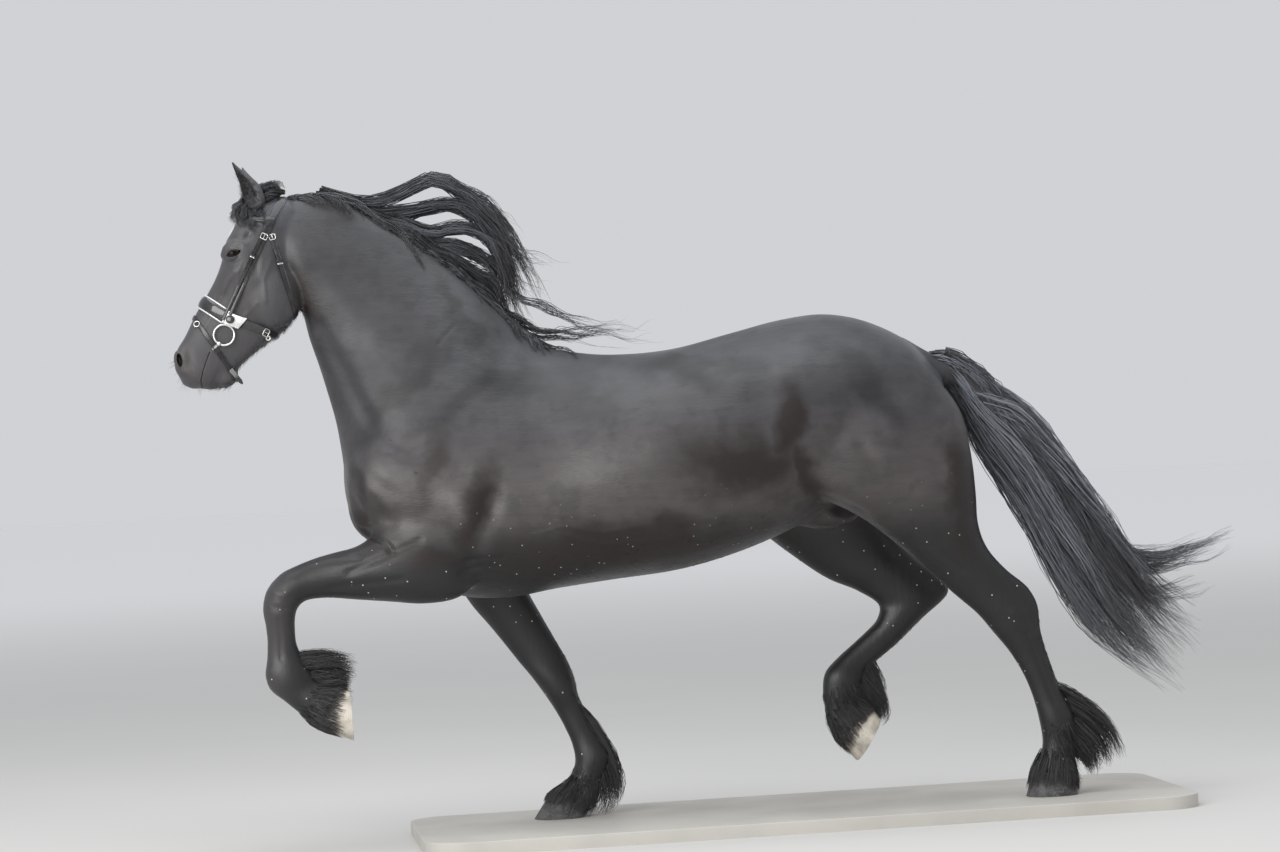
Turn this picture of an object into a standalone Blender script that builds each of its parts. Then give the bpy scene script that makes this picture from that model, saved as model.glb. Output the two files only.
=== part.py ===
"""A Friesian mare at the trot, life size, in a bridle, as a still museum model on a flat base.

Metres, +Z up. The mare faces -X, her near (left) side is -Y, and the origin is the middle of the base's
underside. Heights in the tables are above the ground she trots on, the top of the base.
"""

import math
import random
from typing import NamedTuple

import bmesh
import bpy
import numpy as np
from mathutils import Vector
from mathutils.bvhtree import BVHTree

GAP = 0.0003
CLEARANCE = 0.0004
HAIR_CLEARANCE = 0.0010
NEAR, FAR = -1, 1
BOTH = (NEAR, FAR)

BASE_LENGTH = 2.36
BASE_WIDTH = 0.86
BASE_THICKNESS = 0.040
BASE_CORNER = 0.12
CORNER_STEPS = 6
GROUND = BASE_THICKNESS + GAP

BODY_VOXEL = 0.0075
HEAD_FACES = 1250
SHANK_FACES = 1000
TRUNK_FACES = 2400
HALF_ROOM = 0.6

COAT = ((0.012, 0.012, 0.014), 0.42, 0.0)
LONG_HAIR = ((0.014, 0.014, 0.017), 0.50, 0.0)
PALE_HORN = ((0.42, 0.36, 0.27), 0.55, 0.0)
DARK_HORN = ((0.16, 0.15, 0.14), 0.60, 0.0)
EYEBALL = ((0.012, 0.008, 0.006), 0.06, 0.0)
LEATHER = ((0.010, 0.010, 0.011), 0.25, 0.0)
SILVER = ((0.75, 0.75, 0.74), 0.22, 1.0)
PLINTH = ((0.30, 0.30, 0.29), 0.65, 0.0)


class Section(NamedTuple):
    """One closed section of a limb, from its fore point to its hind point as seen from the side."""

    fore: tuple
    hind: tuple
    half: float
    y: float = 0.0
    widest: float = 0.5
    round_fore: float = 2.0
    round_hind: float = 2.0


def upright(x, top, bottom, half, widest=0.5, round_top=2.0, round_bottom=2.0):
    """A section that stands straight across the trunk, from its top line to its under line."""
    return Section((x, top), (x, bottom), half, 0.0, widest, round_top, round_bottom)


TRUNK = (
    upright(-1.328, 1.17, 0.98, 0.150, 0.45),
    upright(-1.285, 1.25, 0.89, 0.208, 0.50),
    upright(-1.180, 1.33, 0.80, 0.240, 0.55, 1.9, 2.2),
    upright(-1.030, 1.41, 0.715, 0.262, 0.58, 1.8, 2.2),
    upright(-0.870, 1.462, 0.695, 0.272, 0.60, 1.6, 2.2),
    upright(-0.710, 1.455, 0.715, 0.288, 0.60, 1.5, 2.2),
    upright(-0.540, 1.428, 0.732, 0.318, 0.56, 1.8, 2.2),
    upright(-0.330, 1.432, 0.752, 0.338, 0.54, 2.1, 2.2),
    upright(-0.130, 1.474, 0.800, 0.332, 0.50, 2.1, 2.2),
    upright(0.030, 1.508, 0.860, 0.312, 0.46, 2.0, 2.1),
    upright(0.170, 1.517, 0.930, 0.292, 0.44, 2.0, 2.0),
    upright(0.310, 1.480, 1.000, 0.262, 0.42, 2.0, 2.0),
    upright(0.420, 1.415, 1.060, 0.210, 0.42, 2.0, 2.0),
    upright(0.500, 1.330, 1.120, 0.140),
)
NECK = (
    Section((-1.545, 1.935), (-1.500, 1.740), 0.058, 0, 0.55, 2.0, 2.2),
    Section((-1.465, 1.945), (-1.450, 1.610), 0.078, 0, 0.55, 1.8, 2.2),
    Section((-1.345, 1.955), (-1.432, 1.525), 0.086, 0, 0.58, 1.6, 2.1),
    Section((-1.225, 1.885), (-1.408, 1.440), 0.098, 0, 0.60, 1.5, 2.1),
    Section((-1.090, 1.795), (-1.385, 1.350), 0.114, 0, 0.60, 1.5, 2.1),
    Section((-0.970, 1.700), (-1.362, 1.250), 0.139, 0, 0.60, 1.5, 2.1),
    Section((-0.870, 1.598), (-1.348, 1.140), 0.178, 0, 0.60, 1.6, 2.1),
    Section((-0.790, 1.515), (-1.335, 1.050), 0.210, 0, 0.60, 1.6, 2.1),
    Section((-0.700, 1.440), (-1.270, 0.960), 0.205, 0, 0.55, 1.8, 2.1),
)
HEAD = (
    Section((-1.480, 1.950), (-1.430, 1.860), 0.046),
    Section((-1.530, 1.948), (-1.432, 1.800), 0.060),
    Section((-1.590, 1.912), (-1.438, 1.735), 0.076, 0, 0.38, 2.4, 2.0),
    Section((-1.645, 1.868), (-1.448, 1.660), 0.090, 0, 0.29, 2.7, 2.0),
    Section((-1.672, 1.810), (-1.458, 1.606), 0.096, 0, 0.26, 2.8, 2.0),
    Section((-1.686, 1.758), (-1.490, 1.556), 0.087, 0, 0.34, 2.5, 2.0),
    Section((-1.706, 1.712), (-1.536, 1.522), 0.070, 0, 0.43, 2.3, 2.2),
    Section((-1.736, 1.662), (-1.580, 1.492), 0.058, 0, 0.45, 2.2, 2.3),
    Section((-1.770, 1.610), (-1.622, 1.460), 0.051, 0, 0.45, 2.3, 2.3),
    Section((-1.804, 1.546), (-1.658, 1.428), 0.053, 0, 0.42, 2.6, 2.3),
    Section((-1.836, 1.492), (-1.694, 1.394), 0.058, 0, 0.40, 2.9, 2.3),
    Section((-1.841, 1.445), (-1.732, 1.376), 0.053, 0, 0.40, 2.6, 2.2),
    Section((-1.824, 1.410), (-1.770, 1.383), 0.036, 0, 0.45, 2.0, 2.0),
)
NEAR_FORE = (
    Section((-1.190, 1.030), (-0.940, 0.800), 0.085, -0.160),
    Section((-1.255, 0.940), (-1.020, 0.712), 0.088, -0.168),
    Section((-1.320, 0.890), (-1.125, 0.697), 0.080, -0.172),
    Section((-1.390, 0.873), (-1.245, 0.710), 0.067, -0.172),
    Section((-1.450, 0.857), (-1.350, 0.722), 0.056, -0.170),
    Section((-1.512, 0.836), (-1.432, 0.732), 0.050, -0.168),
    Section((-1.562, 0.812), (-1.487, 0.727), 0.053, -0.166),
    Section((-1.604, 0.766), (-1.512, 0.706), 0.055, -0.165),
    Section((-1.618, 0.712), (-1.520, 0.680), 0.052, -0.164),
    Section((-1.612, 0.658), (-1.522, 0.644), 0.041, -0.163),
    Section((-1.610, 0.608), (-1.520, 0.604), 0.034, -0.162),
    Section((-1.614, 0.558), (-1.510, 0.574), 0.035, -0.161),
    Section((-1.621, 0.508), (-1.498, 0.545), 0.043, -0.160),
    Section((-1.608, 0.466), (-1.482, 0.520), 0.044, -0.160),
    Section((-1.570, 0.432), (-1.468, 0.492), 0.038, -0.160),
    Section((-1.528, 0.394), (-1.440, 0.474), 0.042, -0.160),
    Section((-1.484, 0.352), (-1.408, 0.462), 0.056, -0.160),
)
FAR_FORE = (
    Section((-1.120, 0.960), (-0.830, 0.880), 0.088, 0.160),
    Section((-1.040, 0.800), (-0.812, 0.780), 0.084, 0.164),
    Section((-0.968, 0.674), (-0.780, 0.695), 0.071, 0.166),
    Section((-0.918, 0.610), (-0.746, 0.625), 0.060, 0.164),
    Section((-0.870, 0.545), (-0.707, 0.548), 0.052, 0.160),
    Section((-0.828, 0.486), (-0.674, 0.482), 0.050, 0.157),
    Section((-0.793, 0.440), (-0.655, 0.426), 0.055, 0.154),
    Section((-0.757, 0.386), (-0.650, 0.386), 0.050, 0.151),
    Section((-0.724, 0.330), (-0.636, 0.346), 0.036, 0.148),
    Section((-0.697, 0.274), (-0.612, 0.292), 0.032, 0.145),
    Section((-0.677, 0.218), (-0.582, 0.240), 0.034, 0.142),
    Section((-0.672, 0.168), (-0.558, 0.188), 0.044, 0.140),
    Section((-0.690, 0.128), (-0.572, 0.134), 0.042, 0.140),
    Section((-0.722, 0.098), (-0.598, 0.090), 0.046, 0.140),
    Section((-0.748, 0.080), (-0.612, 0.056), 0.057, 0.140),
)
NEAR_HIND = (
    Section((-0.020, 1.360), (0.440, 1.340), 0.095, -0.150),
    Section((-0.040, 1.180), (0.540, 1.205), 0.130, -0.158),
    Section((-0.010, 1.050), (0.568, 1.060), 0.138, -0.166),
    Section((0.070, 0.965), (0.575, 0.935), 0.128, -0.172),
    Section((0.205, 0.888), (0.576, 0.850), 0.103, -0.174),
    Section((0.327, 0.788), (0.602, 0.770), 0.080, -0.172),
    Section((0.422, 0.700), (0.658, 0.702), 0.061, -0.168),
    Section((0.500, 0.625), (0.726, 0.640), 0.050, -0.164),
    Section((0.560, 0.570), (0.752, 0.585), 0.050, -0.160),
    Section((0.606, 0.512), (0.757, 0.515), 0.044, -0.156),
    Section((0.655, 0.448), (0.772, 0.450), 0.036, -0.152),
    Section((0.696, 0.376), (0.792, 0.384), 0.034, -0.149),
    Section((0.724, 0.300), (0.818, 0.310), 0.036, -0.146),
    Section((0.740, 0.228), (0.850, 0.240), 0.045, -0.144),
    Section((0.747, 0.168), (0.846, 0.178), 0.041, -0.142),
    Section((0.738, 0.122), (0.840, 0.116), 0.046, -0.142),
    Section((0.722, 0.090), (0.846, 0.066), 0.057, -0.142),
)
FAR_HIND = (
    Section((-0.060, 1.300), (0.380, 1.320), 0.095, 0.150),
    Section((-0.120, 1.080), (0.420, 1.150), 0.130, 0.158),
    Section((-0.115, 0.930), (0.405, 1.000), 0.130, 0.166),
    Section((-0.040, 0.842), (0.375, 0.895), 0.112, 0.172),
    Section((0.060, 0.758), (0.388, 0.822), 0.088, 0.174),
    Section((0.158, 0.688), (0.440, 0.750), 0.067, 0.172),
    Section((0.250, 0.645), (0.505, 0.690), 0.053, 0.168),
    Section((0.312, 0.602), (0.542, 0.628), 0.050, 0.166),
    Section((0.308, 0.560), (0.452, 0.548), 0.046, 0.164),
    Section((0.272, 0.522), (0.352, 0.462), 0.037, 0.162),
    Section((0.220, 0.480), (0.292, 0.418), 0.034, 0.160),
    Section((0.170, 0.440), (0.262, 0.392), 0.037, 0.158),
    Section((0.132, 0.400), (0.250, 0.360), 0.045, 0.156),
    Section((0.120, 0.345), (0.236, 0.325), 0.041, 0.154),
    Section((0.124, 0.285), (0.240, 0.305), 0.040, 0.152),
    Section((0.134, 0.232), (0.252, 0.292), 0.047, 0.152),
    Section((0.152, 0.192), (0.262, 0.284), 0.056, 0.152),
)
DOCK = (
    Section((0.400, 1.440), (0.400, 1.300), 0.060),
    Section((0.470, 1.395), (0.425, 1.330), 0.046),
    Section((0.560, 1.345), (0.510, 1.285), 0.040),
    Section((0.660, 1.262), (0.612, 1.215), 0.034),
    Section((0.745, 1.165), (0.700, 1.130), 0.027),
    Section((0.800, 1.075), (0.770, 1.055), 0.016),
)


class Muscle(NamedTuple):
    """An egg-shaped mass: its middle, its half sizes, and how far it is turned in the side view."""

    middle: tuple
    half: tuple
    turn: float


PAIRED_MUSCLES = (
    Muscle((-1.040, 0.140, 1.160), (0.230, 0.078, 0.120), 48),
    Muscle((-0.985, 0.198, 0.960), (0.175, 0.082, 0.115), 118),
    Muscle((-1.225, 0.150, 1.060), (0.100, 0.078, 0.110), 0),
    Muscle((-1.262, 0.078, 0.985), (0.075, 0.072, 0.100), 10),
    Muscle((-0.020, 0.215, 1.310), (0.085, 0.080, 0.070), 0),
    Muscle((-1.545, 0.046, 1.660), (0.098, 0.046, 0.112), 25),
    Muscle((-1.640, 0.062, 1.793), (0.047, 0.033, 0.037), 20),
    Muscle((-1.812, 0.024, 1.474), (0.030, 0.034, 0.046), -10),
)
MUSCLES = (
    Muscle((0.135, 0.000, 0.895), (0.110, 0.062, 0.048), 0),
    Muscle((-1.690, 0.000, 1.412), (0.044, 0.040, 0.032), 20),
)


class Fold(NamedTuple):
    """A groove or, where its depth is above zero, a ridge along a line seen from the side."""

    sides: tuple
    line: tuple
    depth: float
    width: float


FOLDS = (
    Fold((NEAR,), ((-0.893, 1.060), (-0.940, 0.930), (-0.997, 0.796), (-1.040, 0.730)), -0.013, 0.030),
    Fold((FAR,), ((-0.830, 1.060), (-0.830, 0.920), (-0.800, 0.790), (-0.770, 0.720)), -0.012, 0.026),
    Fold(BOTH, ((-0.830, 1.400), (-0.980, 1.290), (-1.140, 1.180), (-1.250, 1.130)), -0.005, 0.034),
    Fold(BOTH, ((-1.320, 1.050), (-1.270, 0.985), (-1.190, 0.930)), -0.008, 0.022),
    Fold(BOTH, ((-1.350, 1.400), (-1.300, 1.300), (-1.240, 1.190)), -0.004, 0.026),
    Fold((NEAR,), ((0.030, 0.985), (0.140, 0.930), (0.245, 0.867)), -0.012, 0.022),
    Fold(BOTH, ((-0.160, 1.340), (-0.110, 1.240), (-0.070, 1.120)), -0.010, 0.075),
    Fold(BOTH, ((0.420, 1.290), (0.455, 1.120), (0.470, 0.960)), -0.006, 0.036),
    Fold(BOTH, ((-1.630, 1.745), (-1.668, 1.700), (-1.690, 1.655)), 0.006, 0.010),
    Fold(BOTH, ((-1.600, 1.800), (-1.580, 1.760), (-1.590, 1.700)), -0.006, 0.014),
    Fold(BOTH, ((-1.612, 1.842), (-1.590, 1.828)), -0.009, 0.014),
)


class Region(NamedTuple):
    """A convex outline in the side view that parts a piece from the body.

    The piece is what lies on its side of the plane y = side * (inner + slope * x). With side 0 it reaches
    inner to either side of the mare's middle.
    """

    name: str
    outline: tuple
    side: int = 0
    inner: float = 0.6
    slope: float = 0.0


REGIONS = (
    Region(
        "foreleg_near_lower",
        ((-1.503, 0.249), (-1.351, 0.551), (-1.40, 0.66), (-1.70, 0.66), (-1.70, 0.249)),
        NEAR,
        0.05,
    ),
    Region(
        "foreleg_near_upper",
        ((-1.72, 0.66), (-1.00, 0.66), (-0.98, 0.69), (-1.33, 0.945), (-1.72, 0.945)),
        NEAR,
        0.055,
    ),
    Region(
        "foreleg_far_lower", ((-0.90, 0.104), (-0.45, 0.005), (-0.45, 0.400), (-0.90, 0.324)), FAR, 0.04
    ),
    Region(
        "foreleg_far_upper", ((-1.25, 0.2655), (-0.45, 0.400), (-0.765, 0.745), (-1.08, 0.745)), FAR, 0.055
    ),
    Region(
        "hindleg_near_lower", ((0.50, 0.1068), (1.00, 0.0247), (1.00, 0.5216), (0.50, 0.4866)), NEAR, 0.04
    ),
    Region(
        "hindleg_near_upper",
        ((0.085, 0.4576), (1.00, 0.5216), (0.75, 1.1644), (0.085, 0.9566)),
        NEAR,
        0.086,
        -0.10,
    ),
    Region("hindleg_far_lower", ((-0.05, 0.002), (0.4786, 0.4576), (-0.05, 0.7092)), FAR, 0.04),
    Region(
        "hindleg_far_upper",
        ((-0.085, 0.7259), (0.60, 0.400), (0.75, 1.052), (-0.085, 0.8634)),
        FAR,
        0.075,
        -0.10,
    ),
    Region("dock", ((0.47, 1.20), (0.86, 0.98), (0.90, 1.30), (0.50, 1.48)), 0, 0.060),
    Region("head", ((-2.10, 1.25), (-1.445, 1.25), (-1.445, 2.20), (-2.10, 2.20))),
    Region("neck", ((-1.445, 1.10), (-0.60, 1.6547), (-0.60, 2.20), (-1.445, 2.20))),
)


class Hoof(NamedTuple):
    """A hoof below a lower leg: its sole, and where the leg's cut line meets its fore and hind edge."""

    name: str
    leg: str
    sole: Section
    top_fore: float
    top_hind: float
    top_half: float
    finish: tuple


HOOVES = (
    Hoof(
        "hoof_fore_near",
        "foreleg_near_lower",
        Section((-1.366, 0.300), (-1.372, 0.452), 0.072, -0.160, 0.45, 2.2, 3.0),
        -1.457,
        -1.397,
        0.059,
        PALE_HORN,
    ),
    Hoof(
        "hoof_fore_far",
        "foreleg_far_lower",
        Section((-0.806, 0.000), (-0.652, 0.000), 0.072, 0.140, 0.45, 2.2, 3.0),
        -0.756,
        -0.632,
        0.059,
        DARK_HORN,
    ),
    Hoof(
        "hoof_hind_near",
        "hindleg_near_lower",
        Section((0.690, 0.000), (0.846, 0.000), 0.069, -0.142, 0.45, 2.2, 3.0),
        0.711,
        0.846,
        0.058,
        DARK_HORN,
    ),
    Hoof(
        "hoof_hind_far",
        "hindleg_far_lower",
        Section((0.216, 0.118), (0.296, 0.244), 0.069, 0.152, 0.45, 2.2, 3.0),
        0.160,
        0.276,
        0.057,
        PALE_HORN,
    ),
)

EYE_MIDDLE = (-1.647, 0.0715, 1.784)
EYE_RADIUS = 0.0245
EYE_SLIT = (0.0225, 0.0115)
EYE_TURN = 17
LID_THICKNESS = 0.0032
NOSTRIL_MIDDLE = (-1.825, 0.038, 1.471)
NOSTRIL_HALF = (0.0115, 0.019, 0.025)
NOSTRIL_TURN = 8
NOSTRIL_RIM = 0.0055
MOUTH = (
    (-1.733, 1.491),
    (-1.745, 1.464),
    (-1.757, 1.432),
    (-1.764, 1.404),
    (-1.760, 1.380),
    (-1.756, 1.340),
)
MOUTH_SLIT = 0.0022

EAR_BASE = (-1.572, 0.050, 1.922)
EAR_TIP = (-1.634, 0.062, 2.064)
EAR_FACING = 36
EAR_WIDTHS = ((0.0, 0.022), (0.18, 0.029), (0.40, 0.033), (0.62, 0.029), (0.80, 0.020), (0.95, 0.008))
EAR_WALL = 0.20
EAR_BEND = 0.006
EAR_SIDES = 9


class Strap(NamedTuple):
    """A strap round the head in a plane across the side view, from one point of it to the other.

    It covers the angles up to reach either side of its fore point, or all of them.
    """

    name: str
    fore: tuple
    hind: tuple
    width: float
    thick: float
    reach: float = 180.0
    lift: float = 0.0034
    droop: float = 0.0


STRAPS = (
    Strap("noseband", (-1.757, 1.652), (-1.590, 1.535), 0.042, 0.009, droop=0.022),
    Strap("headstall", (-1.478, 1.972), (-1.668, 1.610), 0.020, 0.005, 162.0),
    Strap("flash_strap", (-1.772, 1.592), (-1.672, 1.434), 0.014, 0.004),
    Strap("throatlatch", (-1.460, 1.560), (-1.536, 1.860), 0.014, 0.004, 150.0),
    Strap("browband", (-1.640, 1.900), (-1.414, 1.862), 0.020, 0.006, 92.0),
)
STRAP_STEPS = 26
STRAP_FAR = 0.40
STRAP_TENSION = 40

BIT_MIDDLE = (-1.688, 0.066, 1.540)
BIT_RADIUS = 0.0310
BIT_WIRE = 0.0036
BIT_LIFT = 0.010
MOUTHPIECE = (-1.703, 1.524)


class Lie(NamedTuple):
    """How a bunch of locks lies in a mass of hair.

    The locks root over a stretch of the mass's length, at the share rise between its fore edge (0) and its
    hind edge (1), and go over to the share lie within settle. Across the mass they spread from near (-1) to
    far (1). They end over the stretch ends.
    """

    count: int
    roots: tuple
    rise: float
    lie: float
    settle: float
    across: tuple
    ends: tuple
    width: float
    thick: float
    wave: float = 0.008


class Hair(NamedTuple):
    """A mass of hair between two edges, how many of its sections its core fills, and its locks."""

    sections: tuple
    core: int
    core_size: float
    lies: tuple
    steps: int = 8


MANE = Hair(
    (
        Section((-1.452, 1.975), (-1.452, 1.930), 0.020, 0.000),
        Section((-1.363, 1.990), (-1.350, 1.920), 0.030, 0.004),
        Section((-1.255, 1.955), (-1.235, 1.860), 0.032, 0.008),
        Section((-1.155, 1.945), (-1.130, 1.795), 0.034, 0.016),
        Section((-1.040, 1.985), (-1.030, 1.715), 0.036, 0.026),
        Section((-0.940, 1.960), (-0.930, 1.630), 0.040, 0.036),
        Section((-0.860, 1.890), (-0.850, 1.550), 0.044, 0.050),
        Section((-0.800, 1.785), (-0.795, 1.500), 0.046, 0.062),
        Section((-0.752, 1.650), (-0.745, 1.480), 0.042, 0.068),
        Section((-0.715, 1.560), (-0.708, 1.478), 0.026, 0.070),
    ),
    5,
    0.0,
    (
        Lie(2, (0.00, 0.10), 0.60, 0.50, 0.20, (-1.1, -0.5), (0.36, 0.44), 0.052, 0.018, 0.006),
        Lie(3, (0.00, 0.16), 0.90, 0.07, 0.20, (-0.7, 0.7), (0.88, 1.00), 0.048, 0.020, 0.012),
        Lie(4, (0.04, 0.26), 1.00, 0.30, 0.26, (-0.8, 0.8), (0.88, 1.00), 0.046, 0.020, 0.012),
        Lie(3, (0.14, 0.40), 1.00, 0.55, 0.22, (-0.7, 0.7), (0.86, 1.00), 0.044, 0.020, 0.010),
        Lie(3, (0.28, 0.54), 1.00, 0.78, 0.20, (-0.7, 0.7), (0.86, 1.00), 0.044, 0.018, 0.008),
        Lie(2, (0.42, 0.66), 1.00, 0.94, 0.16, (-0.4, 0.4), (0.88, 1.00), 0.044, 0.018, 0.006),
    ),
)
MANE_CREST = (
    Section((-1.452, 1.972), (-1.452, 1.930), 0.018),
    Section((-1.345, 1.982), (-1.335, 1.930), 0.027),
    Section((-1.225, 1.935), (-1.205, 1.862), 0.028, 0.002),
    Section((-1.090, 1.850), (-1.065, 1.765), 0.027, 0.006),
    Section((-0.970, 1.760), (-0.940, 1.665), 0.025, 0.010),
    Section((-0.870, 1.655), (-0.845, 1.565), 0.023, 0.012),
    Section((-0.775, 1.548), (-0.765, 1.490), 0.015, 0.012),
)
MANE_WISPS = (
    (
        (-0.850, 0.042, 1.690),
        (-0.838, 0.042, 1.620),
        (-0.815, 0.036, 1.550),
    ),
    (
        (-0.865, 0.042, 1.640),
        (-0.698, 0.050, 1.585),
        (-0.583, 0.040, 1.526),
        (-0.472, 0.030, 1.508),
        (-0.359, 0.020, 1.538),
    ),
    (
        (-0.855, 0.036, 1.590),
        (-0.655, 0.040, 1.500),
        (-0.536, 0.030, 1.506),
        (-0.418, 0.010, 1.484),
        (-0.291, 0.000, 1.472),
    ),
    (
        (-0.850, 0.042, 1.680),
        (-0.770, 0.050, 1.715),
        (-0.690, 0.056, 1.700),
        (-0.614, 0.060, 1.685),
    ),
)
TAIL = Hair(
    (
        Section((0.500, 1.388), (0.475, 1.345), 0.020),
        Section((0.560, 1.362), (0.520, 1.292), 0.036),
        Section((0.686, 1.265), (0.603, 1.122), 0.056),
        Section((0.828, 1.110), (0.741, 0.901), 0.075),
        Section((0.960, 0.912), (0.836, 0.705), 0.085),
        Section((1.064, 0.736), (0.939, 0.515), 0.096),
        Section((1.176, 0.568), (1.030, 0.410), 0.104),
        Section((1.289, 0.421), (1.162, 0.317), 0.104),
    ),
    4,
    0.80,
    (
        Lie(4, (0.00, 0.12), 0.20, 0.08, 0.25, (-0.7, 0.7), (0.92, 1.02), 0.066, 0.026, 0.010),
        Lie(5, (0.00, 0.16), 0.40, 0.34, 0.25, (-1.0, 1.0), (0.92, 1.02), 0.066, 0.026, 0.010),
        Lie(5, (0.00, 0.16), 0.60, 0.64, 0.25, (-1.0, 1.0), (0.92, 1.02), 0.066, 0.026, 0.010),
        Lie(4, (0.00, 0.12), 0.80, 0.92, 0.25, (-0.7, 0.7), (0.88, 1.00), 0.066, 0.026, 0.010),
    ),
    7,
)
TAIL_WISPS = (
    (
        (0.790, 0.010, 1.080),
        (0.900, 0.010, 0.880),
        (1.000, 0.010, 0.700),
        (1.060, 0.010, 0.610),
    ),
    (
        (0.860, 0.012, 0.940),
        (0.960, 0.016, 0.795),
        (1.070, 0.020, 0.722),
        (1.184, 0.020, 0.722),
        (1.453, 0.010, 0.792),
    ),
    (
        (0.895, 0.010, 0.875),
        (1.010, 0.006, 0.712),
        (1.105, 0.000, 0.664),
        (1.204, -0.010, 0.669),
        (1.471, -0.010, 0.692),
    ),
    (
        (0.950, 0.012, 0.775),
        (1.075, 0.008, 0.630),
        (1.192, 0.010, 0.588),
        (1.291, 0.010, 0.602),
        (1.391, 0.010, 0.626),
    ),
)
FORELOCK = Hair(
    (
        Section((-1.478, 1.990), (-1.478, 1.958), 0.020),
        Section((-1.530, 1.996), (-1.525, 1.940), 0.026),
        Section((-1.580, 1.972), (-1.565, 1.920), 0.028),
        Section((-1.622, 1.932), (-1.595, 1.890), 0.030),
        Section((-1.655, 1.885), (-1.630, 1.862), 0.028),
        Section((-1.672, 1.838), (-1.652, 1.826), 0.020),
    ),
    3,
    0.8,
    (
        Lie(3, (0.00, 0.15), 0.70, 0.20, 0.3, (-0.9, 0.9), (0.90, 1.00), 0.032, 0.015, 0.005),
        Lie(2, (0.05, 0.25), 0.80, 0.60, 0.3, (-1.3, 1.3), (0.86, 1.00), 0.030, 0.014, 0.005),
    ),
    5,
)
FEATHERS = {
    "foreleg_near_lower": Hair(
        (
            Section((-1.530, 0.545), (-1.505, 0.480), 0.030, -0.160),
            Section((-1.452, 0.560), (-1.437, 0.478), 0.036, -0.160),
            Section((-1.385, 0.555), (-1.385, 0.482), 0.032, -0.160),
            Section((-1.354, 0.544), (-1.360, 0.496), 0.022, -0.160),
        ),
        2,
        0.8,
        (
            Lie(3, (0.0, 0.3), 0.3, 0.15, 0.4, (-0.9, 0.9), (0.9, 1.0), 0.036, 0.016, 0.003),
            Lie(3, (0.0, 0.3), 0.7, 0.85, 0.4, (-0.9, 0.9), (0.9, 1.0), 0.036, 0.016, 0.003),
        ),
        4,
    ),
    "foreleg_far_lower": Hair(
        (
            Section((-0.665, 0.325), (-0.632, 0.310), 0.022, 0.146),
            Section((-0.650, 0.240), (-0.580, 0.245), 0.036, 0.144),
            Section((-0.635, 0.180), (-0.540, 0.180), 0.044, 0.142),
            Section((-0.628, 0.120), (-0.520, 0.120), 0.050, 0.140),
            Section((-0.618, 0.060), (-0.524, 0.065), 0.052, 0.140),
            Section((-0.604, 0.006), (-0.545, 0.004), 0.040, 0.140),
        ),
        3,
        0.8,
        (
            Lie(4, (0.0, 0.4), 0.6, 0.40, 0.4, (-1.0, 1.0), (0.9, 1.0), 0.040, 0.016, 0.003),
            Lie(4, (0.0, 0.3), 0.7, 0.92, 0.4, (-0.8, 0.8), (0.9, 1.0), 0.040, 0.016, 0.003),
        ),
        5,
    ),
    "hindleg_near_lower": Hair(
        (
            Section((0.785, 0.335), (0.818, 0.325), 0.024, -0.146),
            Section((0.810, 0.265), (0.883, 0.280), 0.034, -0.145),
            Section((0.840, 0.210), (0.945, 0.225), 0.038, -0.144),
            Section((0.880, 0.150), (0.978, 0.165), 0.038, -0.144),
            Section((0.925, 0.100), (0.998, 0.115), 0.028, -0.144),
        ),
        2,
        0.8,
        (
            Lie(3, (0.0, 0.4), 0.6, 0.20, 0.4, (-0.9, 0.9), (0.9, 1.0), 0.040, 0.016, 0.003),
            Lie(3, (0.0, 0.4), 0.8, 0.82, 0.4, (-0.9, 0.9), (0.9, 1.0), 0.040, 0.016, 0.003),
        ),
        4,
    ),
    "hindleg_far_lower": Hair(
        (
            Section((0.245, 0.430), (0.284, 0.420), 0.024, 0.157),
            Section((0.225, 0.360), (0.310, 0.368), 0.034, 0.156),
            Section((0.228, 0.310), (0.325, 0.305), 0.036, 0.154),
            Section((0.255, 0.255), (0.318, 0.255), 0.030, 0.153),
            Section((0.278, 0.228), (0.298, 0.218), 0.020, 0.153),
        ),
        2,
        0.8,
        (
            Lie(3, (0.0, 0.4), 0.6, 0.35, 0.4, (-0.9, 0.9), (0.9, 1.0), 0.036, 0.016, 0.003),
            Lie(3, (0.0, 0.4), 0.8, 0.88, 0.4, (-0.9, 0.9), (0.9, 1.0), 0.036, 0.016, 0.003),
        ),
        4,
    ),
}
MANE_FACES = 1500
TAIL_FACES = 1150
FORELOCK_FACES = 340
TAIL_WISP_FACES = 200
FEATHER_FACES = {
    "foreleg_near_lower": 260,
    "foreleg_far_lower": 380,
    "hindleg_near_lower": 290,
    "hindleg_far_lower": 260,
}
LOCK_ROOT = 0.6
LOCK_SWELL = 0.16
LOCK_TIP = 0.10
LOCK_TAPER = 2.6
LOCK_WAVES = 3.0
LOCK_SCATTER = 0.08
LOCK_STRAY = 0.9
LOCK_LEAN = 45
ROOT_SPREAD = 0.35
HAIR_ROWS = 61
WISP_WIDTH = 0.018
WISP_THICK = 0.008


def clear_scene():
    for old in list(bpy.data.objects):
        bpy.data.objects.remove(old, do_unlink=True)


def new_object(name, mesh):
    made = bpy.data.objects.new(name, mesh)
    bpy.context.scene.collection.objects.link(made)
    return made


def discard(made):
    mesh = made.data
    bpy.data.objects.remove(made, do_unlink=True)
    bpy.data.meshes.remove(mesh)


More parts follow.
